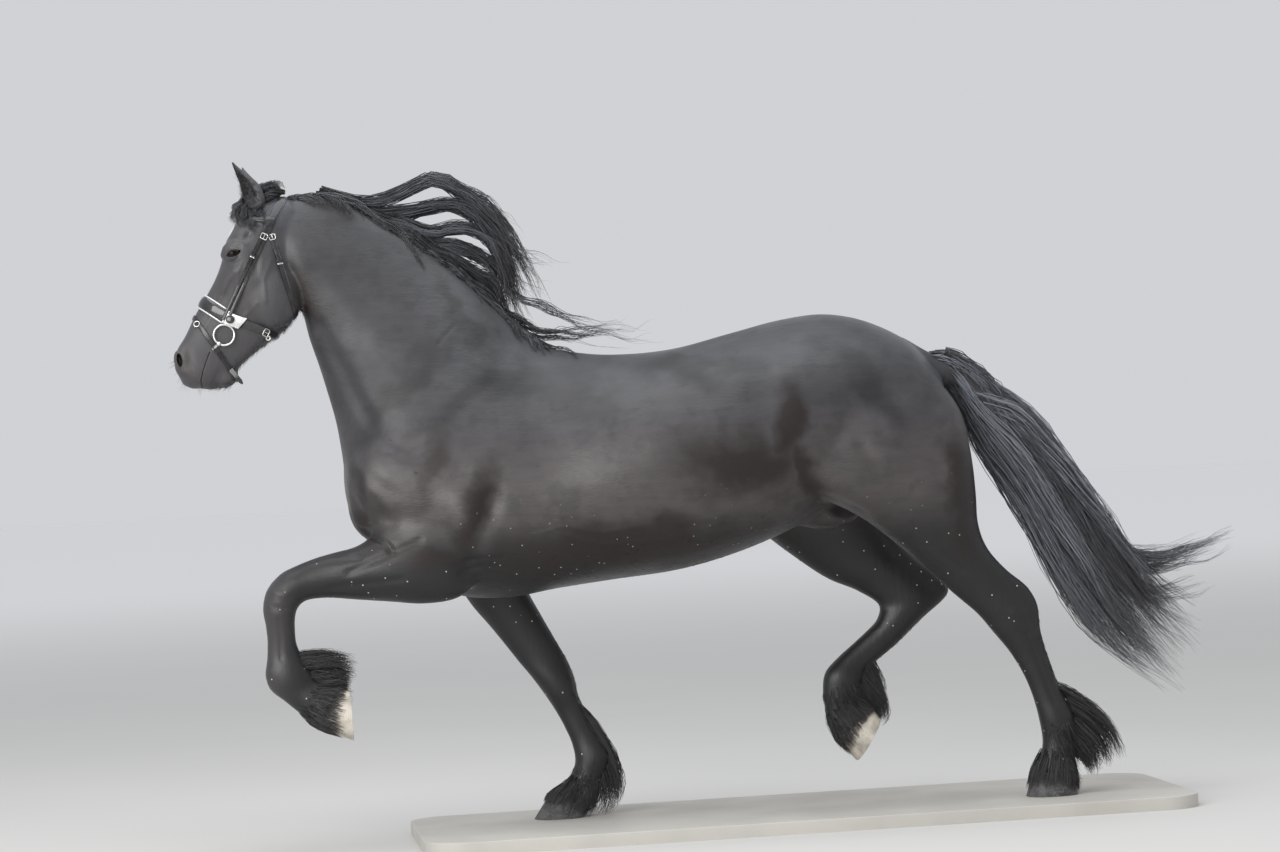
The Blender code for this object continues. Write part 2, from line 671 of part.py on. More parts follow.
def mesh_from(name, points, faces):
    """A mesh of triangles with its doubles merged and its faces pointing out."""
    mesh = bpy.data.meshes.new(name)
    mesh.from_pydata([tuple(p) for p in points], [], [tuple(f) for f in faces])
    work = bmesh.new()
    work.from_mesh(mesh)
    bmesh.ops.remove_doubles(work, verts=work.verts, dist=1e-6)
    bmesh.ops.recalc_face_normals(work, faces=work.faces)
    bmesh.ops.triangulate(work, faces=work.faces)
    work.to_mesh(mesh)
    work.free()
    return mesh


def apply_modifiers(made):
    graph = bpy.context.evaluated_depsgraph_get()
    mesh = bpy.data.meshes.new_from_object(made.evaluated_get(graph))
    old = made.data
    made.modifiers.clear()
    made.data = mesh
    bpy.data.meshes.remove(old)


def coordinates(mesh):
    flat = np.empty(len(mesh.vertices) * 3)
    mesh.vertices.foreach_get("co", flat)
    return flat.reshape(-1, 3)


def normals(mesh):
    flat = np.empty(len(mesh.vertices) * 3)
    mesh.vertices.foreach_get("normal", flat)
    return flat.reshape(-1, 3)


def smooth_rows(rows, count):
    """The rows of a table, joined by a smooth curve and read at count even steps along it."""
    rows = np.asarray(rows, float)
    middles = (rows[:, 0:2] + rows[:, 2:4]) / 2
    steps = np.linalg.norm(np.diff(middles, axis=0), axis=1)
    spread = np.linalg.norm(np.diff(rows[:, 0:4], axis=0), axis=1) / 2
    at = np.concatenate([[0], np.cumsum(np.maximum(steps, spread))])
    return read_curve(rows, at, np.linspace(0, at[-1], count))


def read_curve(rows, at, where):
    """The smooth curve through the rows, which stand at the distances at, read at the distances where."""
    slopes = np.gradient(rows, at, axis=0)
    index = np.clip(np.searchsorted(at, where, side="right") - 1, 0, len(at) - 2)
    width = (at[index + 1] - at[index])[:, None]
    t = (where - at[index])[:, None] / width
    return (
        (2 * t**3 - 3 * t**2 + 1) * rows[index]
        + (t**3 - 2 * t**2 + t) * width * slopes[index]
        + (3 * t**2 - 2 * t**3) * rows[index + 1]
        + (t**3 - t**2) * width * slopes[index + 1]
    )


def section_ring(row, sides, shrink=1.0, shift=(0.0, 0.0)):
    fore_x, fore_z, hind_x, hind_z, half, y, widest, round_fore, round_hind = row
    fore = np.array([fore_x, fore_z])
    hind = np.array([hind_x, hind_z])
    middle = fore + (hind - fore) * widest
    ring = []
    for k in range(sides):
        angle = 2 * math.pi * k / sides
        c, s = math.cos(angle), math.sin(angle)
        power = 2 / (round_fore if c >= 0 else round_hind)
        along = abs(c) ** power * ((fore if c >= 0 else hind) - middle)
        across = math.copysign(abs(s) ** power, s) * half
        x, z = middle + along * shrink + np.array(shift)
        ring.append((x, y + across * shrink, z + GROUND))
    return ring


def loft(sections, rings, sides, bulge=0.02):
    """A closed limb through its sections, with a low dome at each end: its points and its faces."""
    table = [[*s.fore, *s.hind, *s[2:]] for s in sections]
    rows = smooth_rows(table, rings)
    middles = (rows[:, 0:2] + rows[:, 2:4]) / 2
    domes = [(math.cos(a), math.sin(a)) for a in (math.radians(35), math.radians(65))]

    def dome(row, away):
        away = away / np.linalg.norm(away) * bulge
        return [section_ring(row, sides, size, away * out) for size, out in domes]

    loops = [section_ring(row, sides) for row in rows]
    if bulge:
        start = dome(rows[0], middles[0] - middles[1])
        loops = start[::-1] + loops + dome(rows[-1], middles[-1] - middles[-2])
    return skinned(loops)


def skinned(loops):
    """Loops of as many points each, joined in turn and closed by a fan of triangles at both ends."""
    sides = len(loops[0])
    points = [p for ring in loops for p in ring]
    faces = []
    for i in range(len(loops) - 1):
        for k in range(sides):
            a, b = i * sides + k, i * sides + (k + 1) % sides
            faces.append((a, b, b + sides, a + sides))
    for first in (0, (len(loops) - 1) * sides):
        points.append(tuple(np.mean(points[first : first + sides], axis=0)))
        for k in range(sides):
            faces.append((first + k, first + (k + 1) % sides, len(points) - 1))
    return points, faces


def egg(muscle, side, rings=12, sides=20):
    """A muscle's points and faces on one side of the mare, or on her middle line where side is 0."""
    turn = math.radians(muscle.turn)
    x0, y0, z0 = muscle.middle
    loops = []
    for i in range(rings + 1):
        up = math.pi * i / rings
        loop = []
        for k in range(sides):
            around = 2 * math.pi * k / sides
            x = muscle.half[0] * math.cos(up)
            y = muscle.half[1] * math.sin(up) * math.cos(around)
            z = muscle.half[2] * math.sin(up) * math.sin(around)
            turned_x = x * math.cos(turn) - z * math.sin(turn)
            turned_z = x * math.sin(turn) + z * math.cos(turn)
            loop.append((x0 + turned_x, side * y0 + y, z0 + turned_z + GROUND))
        loops.append(loop)
    return skinned(loops)


def body_forms():
    forms = [
        loft(TRUNK, 60, 40),
        loft(NECK, 36, 36),
        loft(HEAD, 44, 36, bulge=0.012),
        loft(DOCK, 20, 16, bulge=0.012),
    ]
    forms += [loft(leg, 64, 28, bulge=0.030) for leg in (NEAR_FORE, FAR_FORE, NEAR_HIND, FAR_HIND)]
    forms += [egg(m, side) for m in PAIRED_MUSCLES for side in BOTH]
    forms += [egg(m, 0) for m in MUSCLES]
    return forms


def fused(name, forms, voxel):
    """The forms as one closed skin."""
    shells = bmesh.new()
    for points, faces in forms:
        part = mesh_from("form", points, faces)
        shells.from_mesh(part)
        bpy.data.meshes.remove(part)
    mesh = bpy.data.meshes.new(name)
    shells.to_mesh(mesh)
    shells.free()
    made = new_object(name, mesh)
    remesh = made.modifiers.new("fuse", "REMESH")
    remesh.mode = "VOXEL"
    remesh.voxel_size = voxel
    apply_modifiers(made)
    return made


def weight_group(made, name, weights):
    group = made.vertex_groups.new(name=name)
    levels = np.round(weights, 1)
    for level in np.unique(levels[levels > 0]):
        group.add(np.flatnonzero(levels == level).tolist(), float(level), "REPLACE")
    return group


def blend(value, low, high):
    """0 below low, 1 above high, and a smooth rise between them."""
    t = np.clip((value - low) / (high - low), 0, 1)
    return t * t * (3 - 2 * t)


def breadth(points):
    """1 on the trunk, neck and thighs, 0 on the head and on the legs below the knee and hock."""
    height = points[:, 2] - GROUND
    return blend(height, 0.62, 0.80) * blend(points[:, 0], -1.46, -1.36) * blend(-points[:, 0], -0.60, -0.52)


def soften(made, iterations, weights=None):
    smooth = made.modifiers.new("soften", "SMOOTH")
    smooth.iterations = iterations
    smooth.factor = 0.5
    if weights is not None:
        smooth.vertex_group = weight_group(made, "soften", weights).name
    apply_modifiers(made)
    made.vertex_groups.clear()


def distance_to_line(points, line):
    """How far each point of the side view is from a line of straight runs."""
    best = np.full(len(points), np.inf)
    for start, end in zip(line, line[1:]):
        start, end = np.array(start), np.array(end)
        run = end - start
        t = np.clip((points - start) @ run / (run @ run), 0, 1)
        best = np.minimum(best, np.linalg.norm(points - start - t[:, None] * run, axis=1))
    return best


def fold(made):
    """Presses the grooves into the skin and raises the ridges."""
    points, out = coordinates(made.data), normals(made.data)
    seen = points[:, [0, 2]] - np.array([0, GROUND])
    push = np.zeros(len(points))
    for groove in FOLDS:
        away = distance_to_line(seen, groove.line)
        depth = groove.depth * np.exp(-((away / groove.width) ** 2))
        for side in groove.sides:
            faces_it = blend(points[:, 1] * side, 0.02, 0.06) * blend(out[:, 1] * side, 0.1, 0.5)
            push += depth * faces_it
    points += out * push[:, None]
    made.data.vertices.foreach_set("co", points.ravel())
    made.data.update()


def thin_out(made, here, faces):
    """Fewer faces in the stretch where here is true, down to this many."""
    inside = np.zeros(len(made.data.polygons), bool)
    for face in made.data.polygons:
        inside[face.index] = all(here[v] for v in face.vertices)
    thin = made.modifiers.new("thin", "DECIMATE")
    thin.ratio = (faces + np.count_nonzero(~inside)) / len(inside)
    thin.vertex_group = weight_group(made, "thin", here.astype(float)).name
    thin.use_collapse_triangulate = True
    apply_modifiers(made)
    made.vertex_groups.clear()


def thin_hair(made, skin, faces):
    """Fewer faces in the hair, down to this many; the bare skin that it grows on keeps its own."""
    made.modifiers.new("triangles", "TRIANGULATE")
    apply_modifiers(made)
    bare = {tuple(point) for point in np.round(skin, 5).tolist()}
    here = [tuple(point) not in bare for point in np.round(coordinates(made.data), 5).tolist()]
    thin_out(made, np.array(here), faces)


def on_head(points):
    return (points[:, 0] < -1.440) & (points[:, 2] > 1.35 + GROUND)


def on_shanks(points):
    return points[:, 2] < 0.655 + GROUND


def make_body():
    body = fused("body", body_forms(), BODY_VOXEL)
    soften(body, 6)
    soften(body, 30, breadth(coordinates(body.data)))
    fold(body)
    soften(body, 2)
    body.modifiers.new("triangles", "TRIANGULATE")
    apply_modifiers(body)
    for stretch, faces in ((on_head, HEAD_FACES), (on_shanks, SHANK_FACES)):
        thin_out(body, stretch(coordinates(body.data)), faces)
    points = coordinates(body.data)
    thin_out(body, ~on_head(points) & ~on_shanks(points), TRUNK_FACES)
    return body


def boolean(made, other, operation, solver="EXACT"):
    cut = made.modifiers.new("cut", "BOOLEAN")
    cut.operation = operation
    cut.solver = solver
    cut.object = other
    apply_modifiers(made)


def copy_of(made, name):
    return new_object(name, made.data.copy())


def keep_largest(made):
    """Only the closed surface that holds the most space stays."""
    work = bmesh.new()
    work.from_mesh(made.data)
    seen, shells = set(), []
    for start in work.faces:
        if start in seen:
            continue
        seen.add(start)
        shell = [start]
        for face in shell:
            for edge in face.edges:
                fresh = [other for other in edge.link_faces if other not in seen]
                seen.update(fresh)
                shell += fresh
        shells.append(shell)
    shells.sort(key=lambda shell: sum(space_under(face) for face in shell))
    spare = [face for shell in shells[:-1] for face in shell]
    bmesh.ops.delete(work, geom=spare, context="FACES")
    work.to_mesh(made.data)
    work.free()


def space_under(face):
    """The signed space between the origin and a face, six times over."""
    first, *others = [vert.co for vert in face.verts]
    return sum(first.dot(a.cross(b)) for a, b in zip(others, others[1:]))


def prism(name, outline, low, high):
    """A block whose side view is the outline; low and high give its two flanks' y from x."""
    near = [(x, low(x), z + GROUND) for x, z in outline]
    far = [(x, high(x), z + GROUND) for x, z in outline]
    count = len(outline)
    faces = [tuple(range(count)), tuple(range(count, 2 * count))]
    faces += [(k, (k + 1) % count, count + (k + 1) % count, count + k) for k in range(count)]
    return new_object(name, mesh_from(name, near + far, faces))


def widened(outline, gap):
    """A convex outline, given in turn, with each of its sides moved outwards by the gap."""
    corners = [Vector((x, 0, z)) for x, z in outline]
    middle = sum(corners, Vector()) / len(corners)
    wide = []
    for before, at, after in zip(corners[-1:] + corners[:-1], corners, corners[1:] + corners[:1]):
        outs = []
        for start, end in ((before, at), (at, after)):
            out = (end - start).cross(Vector((0, 1, 0))).normalized()
            outs.append(out if out.dot(start - middle) > 0 else -out)
        moved = at + (outs[0] + outs[1]) * gap / (1 + outs[0].dot(outs[1]))
        wide.append((moved.x, moved.z))
    return wide


def part_off(body, region):
    """Cuts the region's piece from the body and leaves a gap at the cut."""
    piece = copy_of(body, region.name)
    for target, operation, gap in ((piece, "INTERSECT", 0.0), (body, "DIFFERENCE", GAP)):
        if region.side:
            flanks = (
                lambda x, gap=gap: region.side * (region.inner + region.slope * x - gap),
                lambda x: region.side * HALF_ROOM,
            )
        else:
            flanks = (lambda x, gap=gap: -region.inner - gap, lambda x, gap=gap: region.inner + gap)
        knife = prism("knife", widened(region.outline, gap), *flanks)
        boolean(target, knife, operation, "MANIFOLD")
        discard(knife)
    keep_largest(piece)
    return piece


def grown(made, room):
    """A copy of a piece, larger all round by this room, for cutting its neighbours clear of it."""
    wide = copy_of(made, "clearance")
    work = bmesh.new()
    work.from_mesh(wide.data)
    work.normal_update()
    moves = [vert.normal * room * min(vert.calc_shell_factor(), 3.0) for vert in work.verts]
    for vert, move in zip(work.verts, moves):
        vert.co += move
    work.to_mesh(wide.data)
    work.free()
    return wide


def clear_of(made, others, room=CLEARANCE):
    for other in others:
        wide = grown(other, room)
        boolean(made, wide, "DIFFERENCE", "MANIFOLD")
        discard(wide)
    keep_largest(made)


def merged(made, others, solver="MANIFOLD"):
    """One union of a piece and of closed pieces, which are then removed."""
    group = bpy.data.collections.new("pieces")
    for other in others:
        group.objects.link(other)
    union = made.modifiers.new("join", "BOOLEAN")
    union.operation = "UNION"
    union.solver = solver
    union.operand_type = "COLLECTION"
    union.collection = group
    apply_modifiers(made)
    for other in others:
        discard(other)
    bpy.data.collections.remove(group)
    keep_largest(made)


def ball(name, middle, radius, rings=6, sides=12):
    sphere = Muscle(middle, (radius, radius, radius), 0)
    return new_object(name, mesh_from(name, *egg(sphere, 1, rings, sides)))


def almond(middle, side, depth, count=14):
    """A block across the side view in the shape of the opening between the lids."""
    width, height = EYE_SLIT
    turn = math.radians(EYE_TURN)
    outline = []
    for k in range(count):
        angle = 2 * math.pi * k / count
        x = width * math.cos(angle)
        z = height * math.sin(angle) * (1 - 0.35 * math.cos(angle) ** 2)
        turned_x = x * math.cos(turn) - z * math.sin(turn)
        turned_z = x * math.sin(turn) + z * math.cos(turn)
        outline.append((middle[0] + turned_x, middle[2] + turned_z))
    return prism("opening", outline, lambda x: middle[1], lambda x: middle[1] + side * depth)


def add_eyes(head):
    """Raises the lids, cuts the openings and the sockets, and gives back the two eyes."""
    eyes = []
    for side, name in ((NEAR, "eye_near"), (FAR, "eye_far")):
        middle = (EYE_MIDDLE[0], side * EYE_MIDDLE[1], EYE_MIDDLE[2])
        merged(head, [ball("lids", middle, EYE_RADIUS + LID_THICKNESS)])
        for knife in (almond(middle, side, 0.05), ball("socket", middle, EYE_RADIUS + GAP)):
            boolean(head, knife, "DIFFERENCE", "MANIFOLD")
            discard(knife)
        eyes.append(ball(name, middle, EYE_RADIUS))
    return eyes


def add_muzzle(head):
    """Raises the nostrils' rims and cuts the nostrils and the line of the mouth."""
    width, depth, height = NOSTRIL_HALF
    for side in BOTH:
        rim = Muscle(NOSTRIL_MIDDLE, (width + NOSTRIL_RIM, depth, height + NOSTRIL_RIM), NOSTRIL_TURN)
        merged(head, [new_object("rim", mesh_from("rim", *egg(rim, side, 7, 10)))])
        hole = Muscle(NOSTRIL_MIDDLE, (width, depth + NOSTRIL_RIM, height), NOSTRIL_TURN)
        knife = new_object("hole", mesh_from("hole", *egg(hole, side, 7, 10)))
        boolean(head, knife, "DIFFERENCE", "MANIFOLD")
        discard(knife)
    line = [Vector((x, 0, z)) for x, z in MOUTH]
    left, right = [], []
    for before, at, after in zip(line[:1] + line, line, line[1:] + line[-1:]):
        across = (after - before).normalized().cross(Vector((0, 1, 0))) * MOUTH_SLIT / 2
        left.append(((at - across).x, (at - across).z))
        right.append(((at + across).x, (at + across).z))
    knife = prism("mouth", left + right[::-1], lambda x: -HALF_ROOM, lambda x: HALF_ROOM)
    boolean(head, knife, "DIFFERENCE", "MANIFOLD")
    discard(knife)
    keep_largest(head)


def make_ear(name, side):
    """A cup that stands on the head and opens forwards and outwards."""
    base = Vector((EAR_BASE[0], side * EAR_BASE[1], EAR_BASE[2] + GROUND))
    tip = Vector((EAR_TIP[0], side * EAR_TIP[1], EAR_TIP[2] + GROUND))
    up = (tip - base).normalized()
    facing = math.radians(EAR_FACING)
    front = Vector((-math.cos(facing), side * math.sin(facing), 0))
    front = (front - front.dot(up) * up).normalized()
    across = up.cross(front)

    def cup(size, fore, hind, start, end):
        loops = []
        for share, width in EAR_WIDTHS:
            at = base + (tip - base) * (start + share * (end - start))
            at -= front * EAR_BEND * math.sin(math.pi * share)
            loop = []
            for k in range(EAR_SIDES):
                c = math.cos(2 * math.pi * k / EAR_SIDES)
                s = math.sin(2 * math.pi * k / EAR_SIDES)
                loop.append(tuple(at + (across * c * size + front * s * (fore if s > 0 else hind)) * width))
            loops.append(loop)
        return skinned(loops)

    ear = new_object(name, mesh_from(name, *cup(1.0, 0.35, 0.95, 0.0, 1.0)))
    inside = 1 - EAR_WALL
    hollow = new_object("hollow", mesh_from("hollow", *cup(inside, 1.0, 0.95 - EAR_WALL, 0.20, 0.985)))
    boolean(ear, hollow, "DIFFERENCE", "MANIFOLD")
    discard(hollow)
    keep_largest(ear)
    return ear


def make_hoof(hoof):
    """The horn from the sole up to the cut line of its leg, which it leaves a gap to."""
    start, end = next(region.outline[:2] for region in REGIONS if region.name == hoof.leg)
    run = (Vector((end[0], 0, end[1])) - Vector((start[0], 0, start[1]))).normalized()
    down = run.cross(Vector((0, 1, 0)))
    sole = Vector((hoof.sole.fore[0], 0, hoof.sole.fore[1])) - Vector((start[0], 0, start[1]))
    down *= math.copysign(GAP, down.dot(sole))
    ends = []
    for x in (hoof.top_fore, hoof.top_hind):
        at = Vector((start[0], 0, start[1])) + run * ((x - start[0]) / run.x) + down
        ends.append((at.x, at.z))
    top = hoof.sole._replace(fore=ends[0], hind=ends[1], half=hoof.top_half, round_hind=2.4)
    return new_object(hoof.name, mesh_from(hoof.name, *loft((hoof.sole, top), 3, 14, bulge=0)))


def strap_radii(surface, middle, out_axis, shift, angles):
    """How far the head reaches from the strap's middle at each angle, with hollows bridged."""
    radii = []
    for angle in angles:
        ray = (out_axis * math.cos(angle) + Vector((0, 1, 0)) * math.sin(angle)).normalized()
        start = middle + shift(math.cos(angle)) + ray * STRAP_FAR
        hit = surface.ray_cast(start, -ray, STRAP_FAR)
        radii.append(STRAP_FAR - hit[3] if hit[0] else 0.02)
    count = len(radii)
    step = angles[1] - angles[0]
    for _ in range(STRAP_TENSION):
        for k in range(count):
            before, after = radii[k - 1], radii[(k + 1) % count]
            radii[k] = max(radii[k], 2 * before * after * math.cos(step) / (before + after))
    return radii


def make_strap(strap, surface):
    """A flat strap pulled tight round the head."""
    fore = Vector((strap.fore[0], 0, strap.fore[1] + GROUND))
    hind = Vector((strap.hind[0], 0, strap.hind[1] + GROUND))
    middle = (fore + hind) / 2
    out_axis = (fore - hind).normalized()
    along = out_axis.cross(Vector((0, 1, 0)))
    angles = [2 * math.pi * k / STRAP_STEPS for k in range(STRAP_STEPS)]

    def moved(edge):
        return lambda c: along * (strap.width * edge - strap.droop * max(0.0, -c) ** 2)

    rims = []
    for edge in (-0.5, 0.5):
        rims.append((moved(edge), strap_radii(surface, middle, out_axis, moved(edge), angles)))
    loops = []
    for k in range(-STRAP_STEPS // 2 + 1, STRAP_STEPS // 2 + 1):
        if abs(360 * k / STRAP_STEPS) > strap.reach:
            continue
        angle = angles[k % STRAP_STEPS]
        ray = out_axis * math.cos(angle) + Vector((0, 1, 0)) * math.sin(angle)
        corners = []
        for (shift, radii), lifts in zip(rims, ((0, 1), (1, 0))):
            for lift in lifts:
                out = radii[k % STRAP_STEPS] + strap.lift + lift * strap.thick
                corners.append(tuple(middle + shift(math.cos(angle)) + ray * out))
        loops.append(corners)
    skin = hooped(loops) if strap.reach >= 180 else skinned(loops)
    return new_object(strap.name, mesh_from(strap.name, *skin))


def hooped(loops):
    """Loops of as many points each, joined in turn and the last one to the first."""
    sides = len(loops[0])
    points = [p for loop in loops for p in loop]
    faces = []
    for i in range(len(loops)):
        j = (i + 1) % len(loops)
        for a in range(sides):
            b = (a + 1) % sides
            faces.append((sides * i + a, sides * i + b, sides * j + b, sides * j + a))
    return points, faces


def make_bit(name, side, surface):
    """One loose ring of the bit, with the end of the mouthpiece that it runs through."""
    x, y, z = BIT_MIDDLE
    reach = {}
    for px, pz in ((x, z), MOUTHPIECE):
        start = Vector((px, side * STRAP_FAR, pz + GROUND))
        reach[px] = STRAP_FAR - surface.ray_cast(start, Vector((0, -side, 0)))[3]
    away = reach[x] + BIT_WIRE + BIT_LIFT
    loops = []
    for k in range(18):
        around = 2 * math.pi * k / 18
        loop = []
        for m in range(4):
            turn = 2 * math.pi * m / 4
            r = BIT_RADIUS + BIT_WIRE * math.cos(turn)
            out = away + BIT_WIRE * math.sin(turn)
            loop.append((x + r * math.cos(around), side * out, z + GROUND + r * math.sin(around)))
        loops.append(loop)
    ring = new_object(name, mesh_from(name, *hooped(loops)))
    inner = Vector((MOUTHPIECE[0], side * (reach[MOUTHPIECE[0]] + 0.002), MOUTHPIECE[1] + GROUND))
    outward = Vector((inner.x - x, 0, inner.z - z - GROUND)).normalized()
    outer = Vector((x, side * away, z + GROUND)) + outward * (BIT_RADIUS - BIT_WIRE)
    bar = []
    for at, radius in ((inner, 0.006), (outer, 0.007), (outer - outward * 0.008, 0.004)):
        run = (inner - outer).normalized()
        one = run.cross(Vector((0, 1, 0))).normalized()
        two = run.cross(one)
        bar.append([
            tuple(at + (one * math.cos(a) + two * math.sin(a)) * radius)
            for a in (math.pi * k / 3 for k in range(6))
        ])
    merged(ring, [new_object("bar", mesh_from("bar", *skinned(bar)))])
    return ring


def make_base():
    """The flat base with its rounded corners."""
    loop = []
    for k in range(4 * CORNER_STEPS):
        corner = k // CORNER_STEPS
        angle = math.radians(90 * (corner + (k % CORNER_STEPS) / (CORNER_STEPS - 1)))
        middle_x = (BASE_LENGTH / 2 - BASE_CORNER) * (1 if corner in (0, 3) else -1)
        middle_y = (BASE_WIDTH / 2 - BASE_CORNER) * (1 if corner in (0, 1) else -1)
        loop.append((middle_x + BASE_CORNER * math.cos(angle), middle_y + BASE_CORNER * math.sin(angle)))
    low = [(x, y, 0.0) for x, y in loop]
    high = [(x, y, BASE_THICKNESS) for x, y in loop]
    count = len(loop)
    faces = [tuple(range(count)), tuple(range(count, 2 * count))]
    faces += [(k, (k + 1) % count, count + (k + 1) % count, count + k) for k in range(count)]
    return new_object("stand_base", mesh_from("stand_base", low + high, faces))


def lock(path, width, thick, lean):
    """A lock along a path, flat below, ridged above and pointed: its points and its faces."""
    path = [Vector(p) for p in path]
    lean = math.radians(lean)
    loops = []
    for k, at in enumerate(path):
        share = k / (len(path) - 1)
        run = (path[min(k + 1, len(path) - 1)] - path[max(k - 1, 0)]).normalized()
        flat = run.cross(Vector((0, 1, 0))).normalized()
        out = run.cross(flat)
        wide = flat * math.cos(lean) + out * math.sin(lean)
        high = out * math.cos(lean) - flat * math.sin(lean)
        rooted = LOCK_ROOT + (1 - LOCK_ROOT) * min(1.0, share / LOCK_SWELL)
        size = rooted * (LOCK_TIP + (1 - LOCK_TIP) * (1 - share**LOCK_TAPER))
        corners = (wide * width / 2, high * thick, -wide * width / 2)
        loops.append([tuple(at + corner * size) for corner in corners])
    return skinned(loops)


def row_at(rows, t):
    """The row at the share t of a table whose rows stand at even steps, and beyond its end in line."""
    place = t * (len(rows) - 1)
    before = min(int(place), len(rows) - 2)
    return rows[before] + (rows[before + 1] - rows[before]) * (place - before)


def locks_of(hair, rng):
    """The locks of a mass of hair, each along its lie, seeded and so the same in each run."""
    rows = smooth_rows([[*s.fore, *s.hind, *s[2:]] for s in hair.sections], HAIR_ROWS)
    forms = []
    for lie in hair.lies:
        together = rng.uniform(0, 2 * math.pi)
        for k in range(lie.count):
            start = lie.roots[0] + (lie.roots[1] - lie.roots[0]) * rng.uniform(0, 1)
            end = rng.uniform(*lie.ends)
            place = lie.lie + rng.uniform(-LOCK_SCATTER, LOCK_SCATTER)
            across = lie.across[0] + (lie.across[1] - lie.across[0]) * (k + 0.5) / lie.count
            phase = together + rng.uniform(-LOCK_STRAY, LOCK_STRAY)
            path = []
            for step in range(hair.steps):
                along = step / (hair.steps - 1)
                t = start + (end - start) * along
                fore_x, fore_z, hind_x, hind_z, half, middle_y = row_at(rows, t)[:6]
                settled = place + (lie.rise - place) * math.exp(-3 * ((t - start) / lie.settle) ** 2)
                swing = lie.wave * math.sin(LOCK_WAVES * 2 * math.pi * t + phase) * min(1.0, along * 4)
                x = fore_x + (hind_x - fore_x) * settled
                z = fore_z + (hind_z - fore_z) * settled + swing
                y = middle_y + half * across * min(1.0, ROOT_SPREAD + 2 * along) + swing * math.cos(phase)
                path.append((x, y, z + GROUND))
            forms.append(lock(path, lie.width, lie.thick, rng.uniform(-LOCK_LEAN, LOCK_LEAN)))
    return forms


def wisps_of(paths):
    """The wisps that blow clear of a mass of hair, and the lock that they root in."""
    forms = []
    for path in paths:
        points = np.array(path)
        at = np.concatenate([[0], np.cumsum(np.linalg.norm(np.diff(points, axis=0), axis=1))])
        smooth = read_curve(points, at, np.linspace(0, at[-1], 8)) + np.array([0, 0, GROUND])
        forms.append(lock(smooth, WISP_WIDTH, WISP_THICK, 0))
    return forms


def core_of(hair):
    """The first sections of a mass of hair, drawn in, as the body that its locks root in."""
    drawn = []
    for section in hair.sections[: hair.core]:
        fore, hind = Vector(section.fore), Vector(section.hind)
        middle = (fore + hind) / 2
        fore = middle + (fore - middle) * hair.core_size
        hind = middle + (hind - middle) * hair.core_size
        half = section.half * hair.core_size
        drawn.append(section._replace(fore=tuple(fore), hind=tuple(hind), half=half))
    return loft(drawn, 5, 8, bulge=0.004)


def joined(name, forms):
    """The forms, each a closed surface, as one node."""
    first, *others = [new_object(name, mesh_from(name, *form)) for form in forms]
    merged(first, others)
    first.name = name
    return first


def surface_of(made):
    return BVHTree.FromPolygons(
        [v.co.copy() for v in made.data.vertices], [list(p.vertices) for p in made.data.polygons]
    )


def finish(made, look):
    colour, roughness, metallic = look
    key = "coat" if look == COAT else made.name
    material = bpy.data.materials.get(key) or bpy.data.materials.new(key)
    material.use_nodes = True
    shader = material.node_tree.nodes["Principled BSDF"]
    shader.inputs["Base Color"].default_value = (*colour, 1.0)
    shader.inputs["Roughness"].default_value = roughness
    shader.inputs["Metallic"].default_value = metallic
    material.diffuse_color = (*colour, 1.0)
    made.data.materials.clear()
    made.data.materials.append(material)
    made.data.shade_smooth()
    made.data.set_sharp_from_angle(angle=math.radians(40))


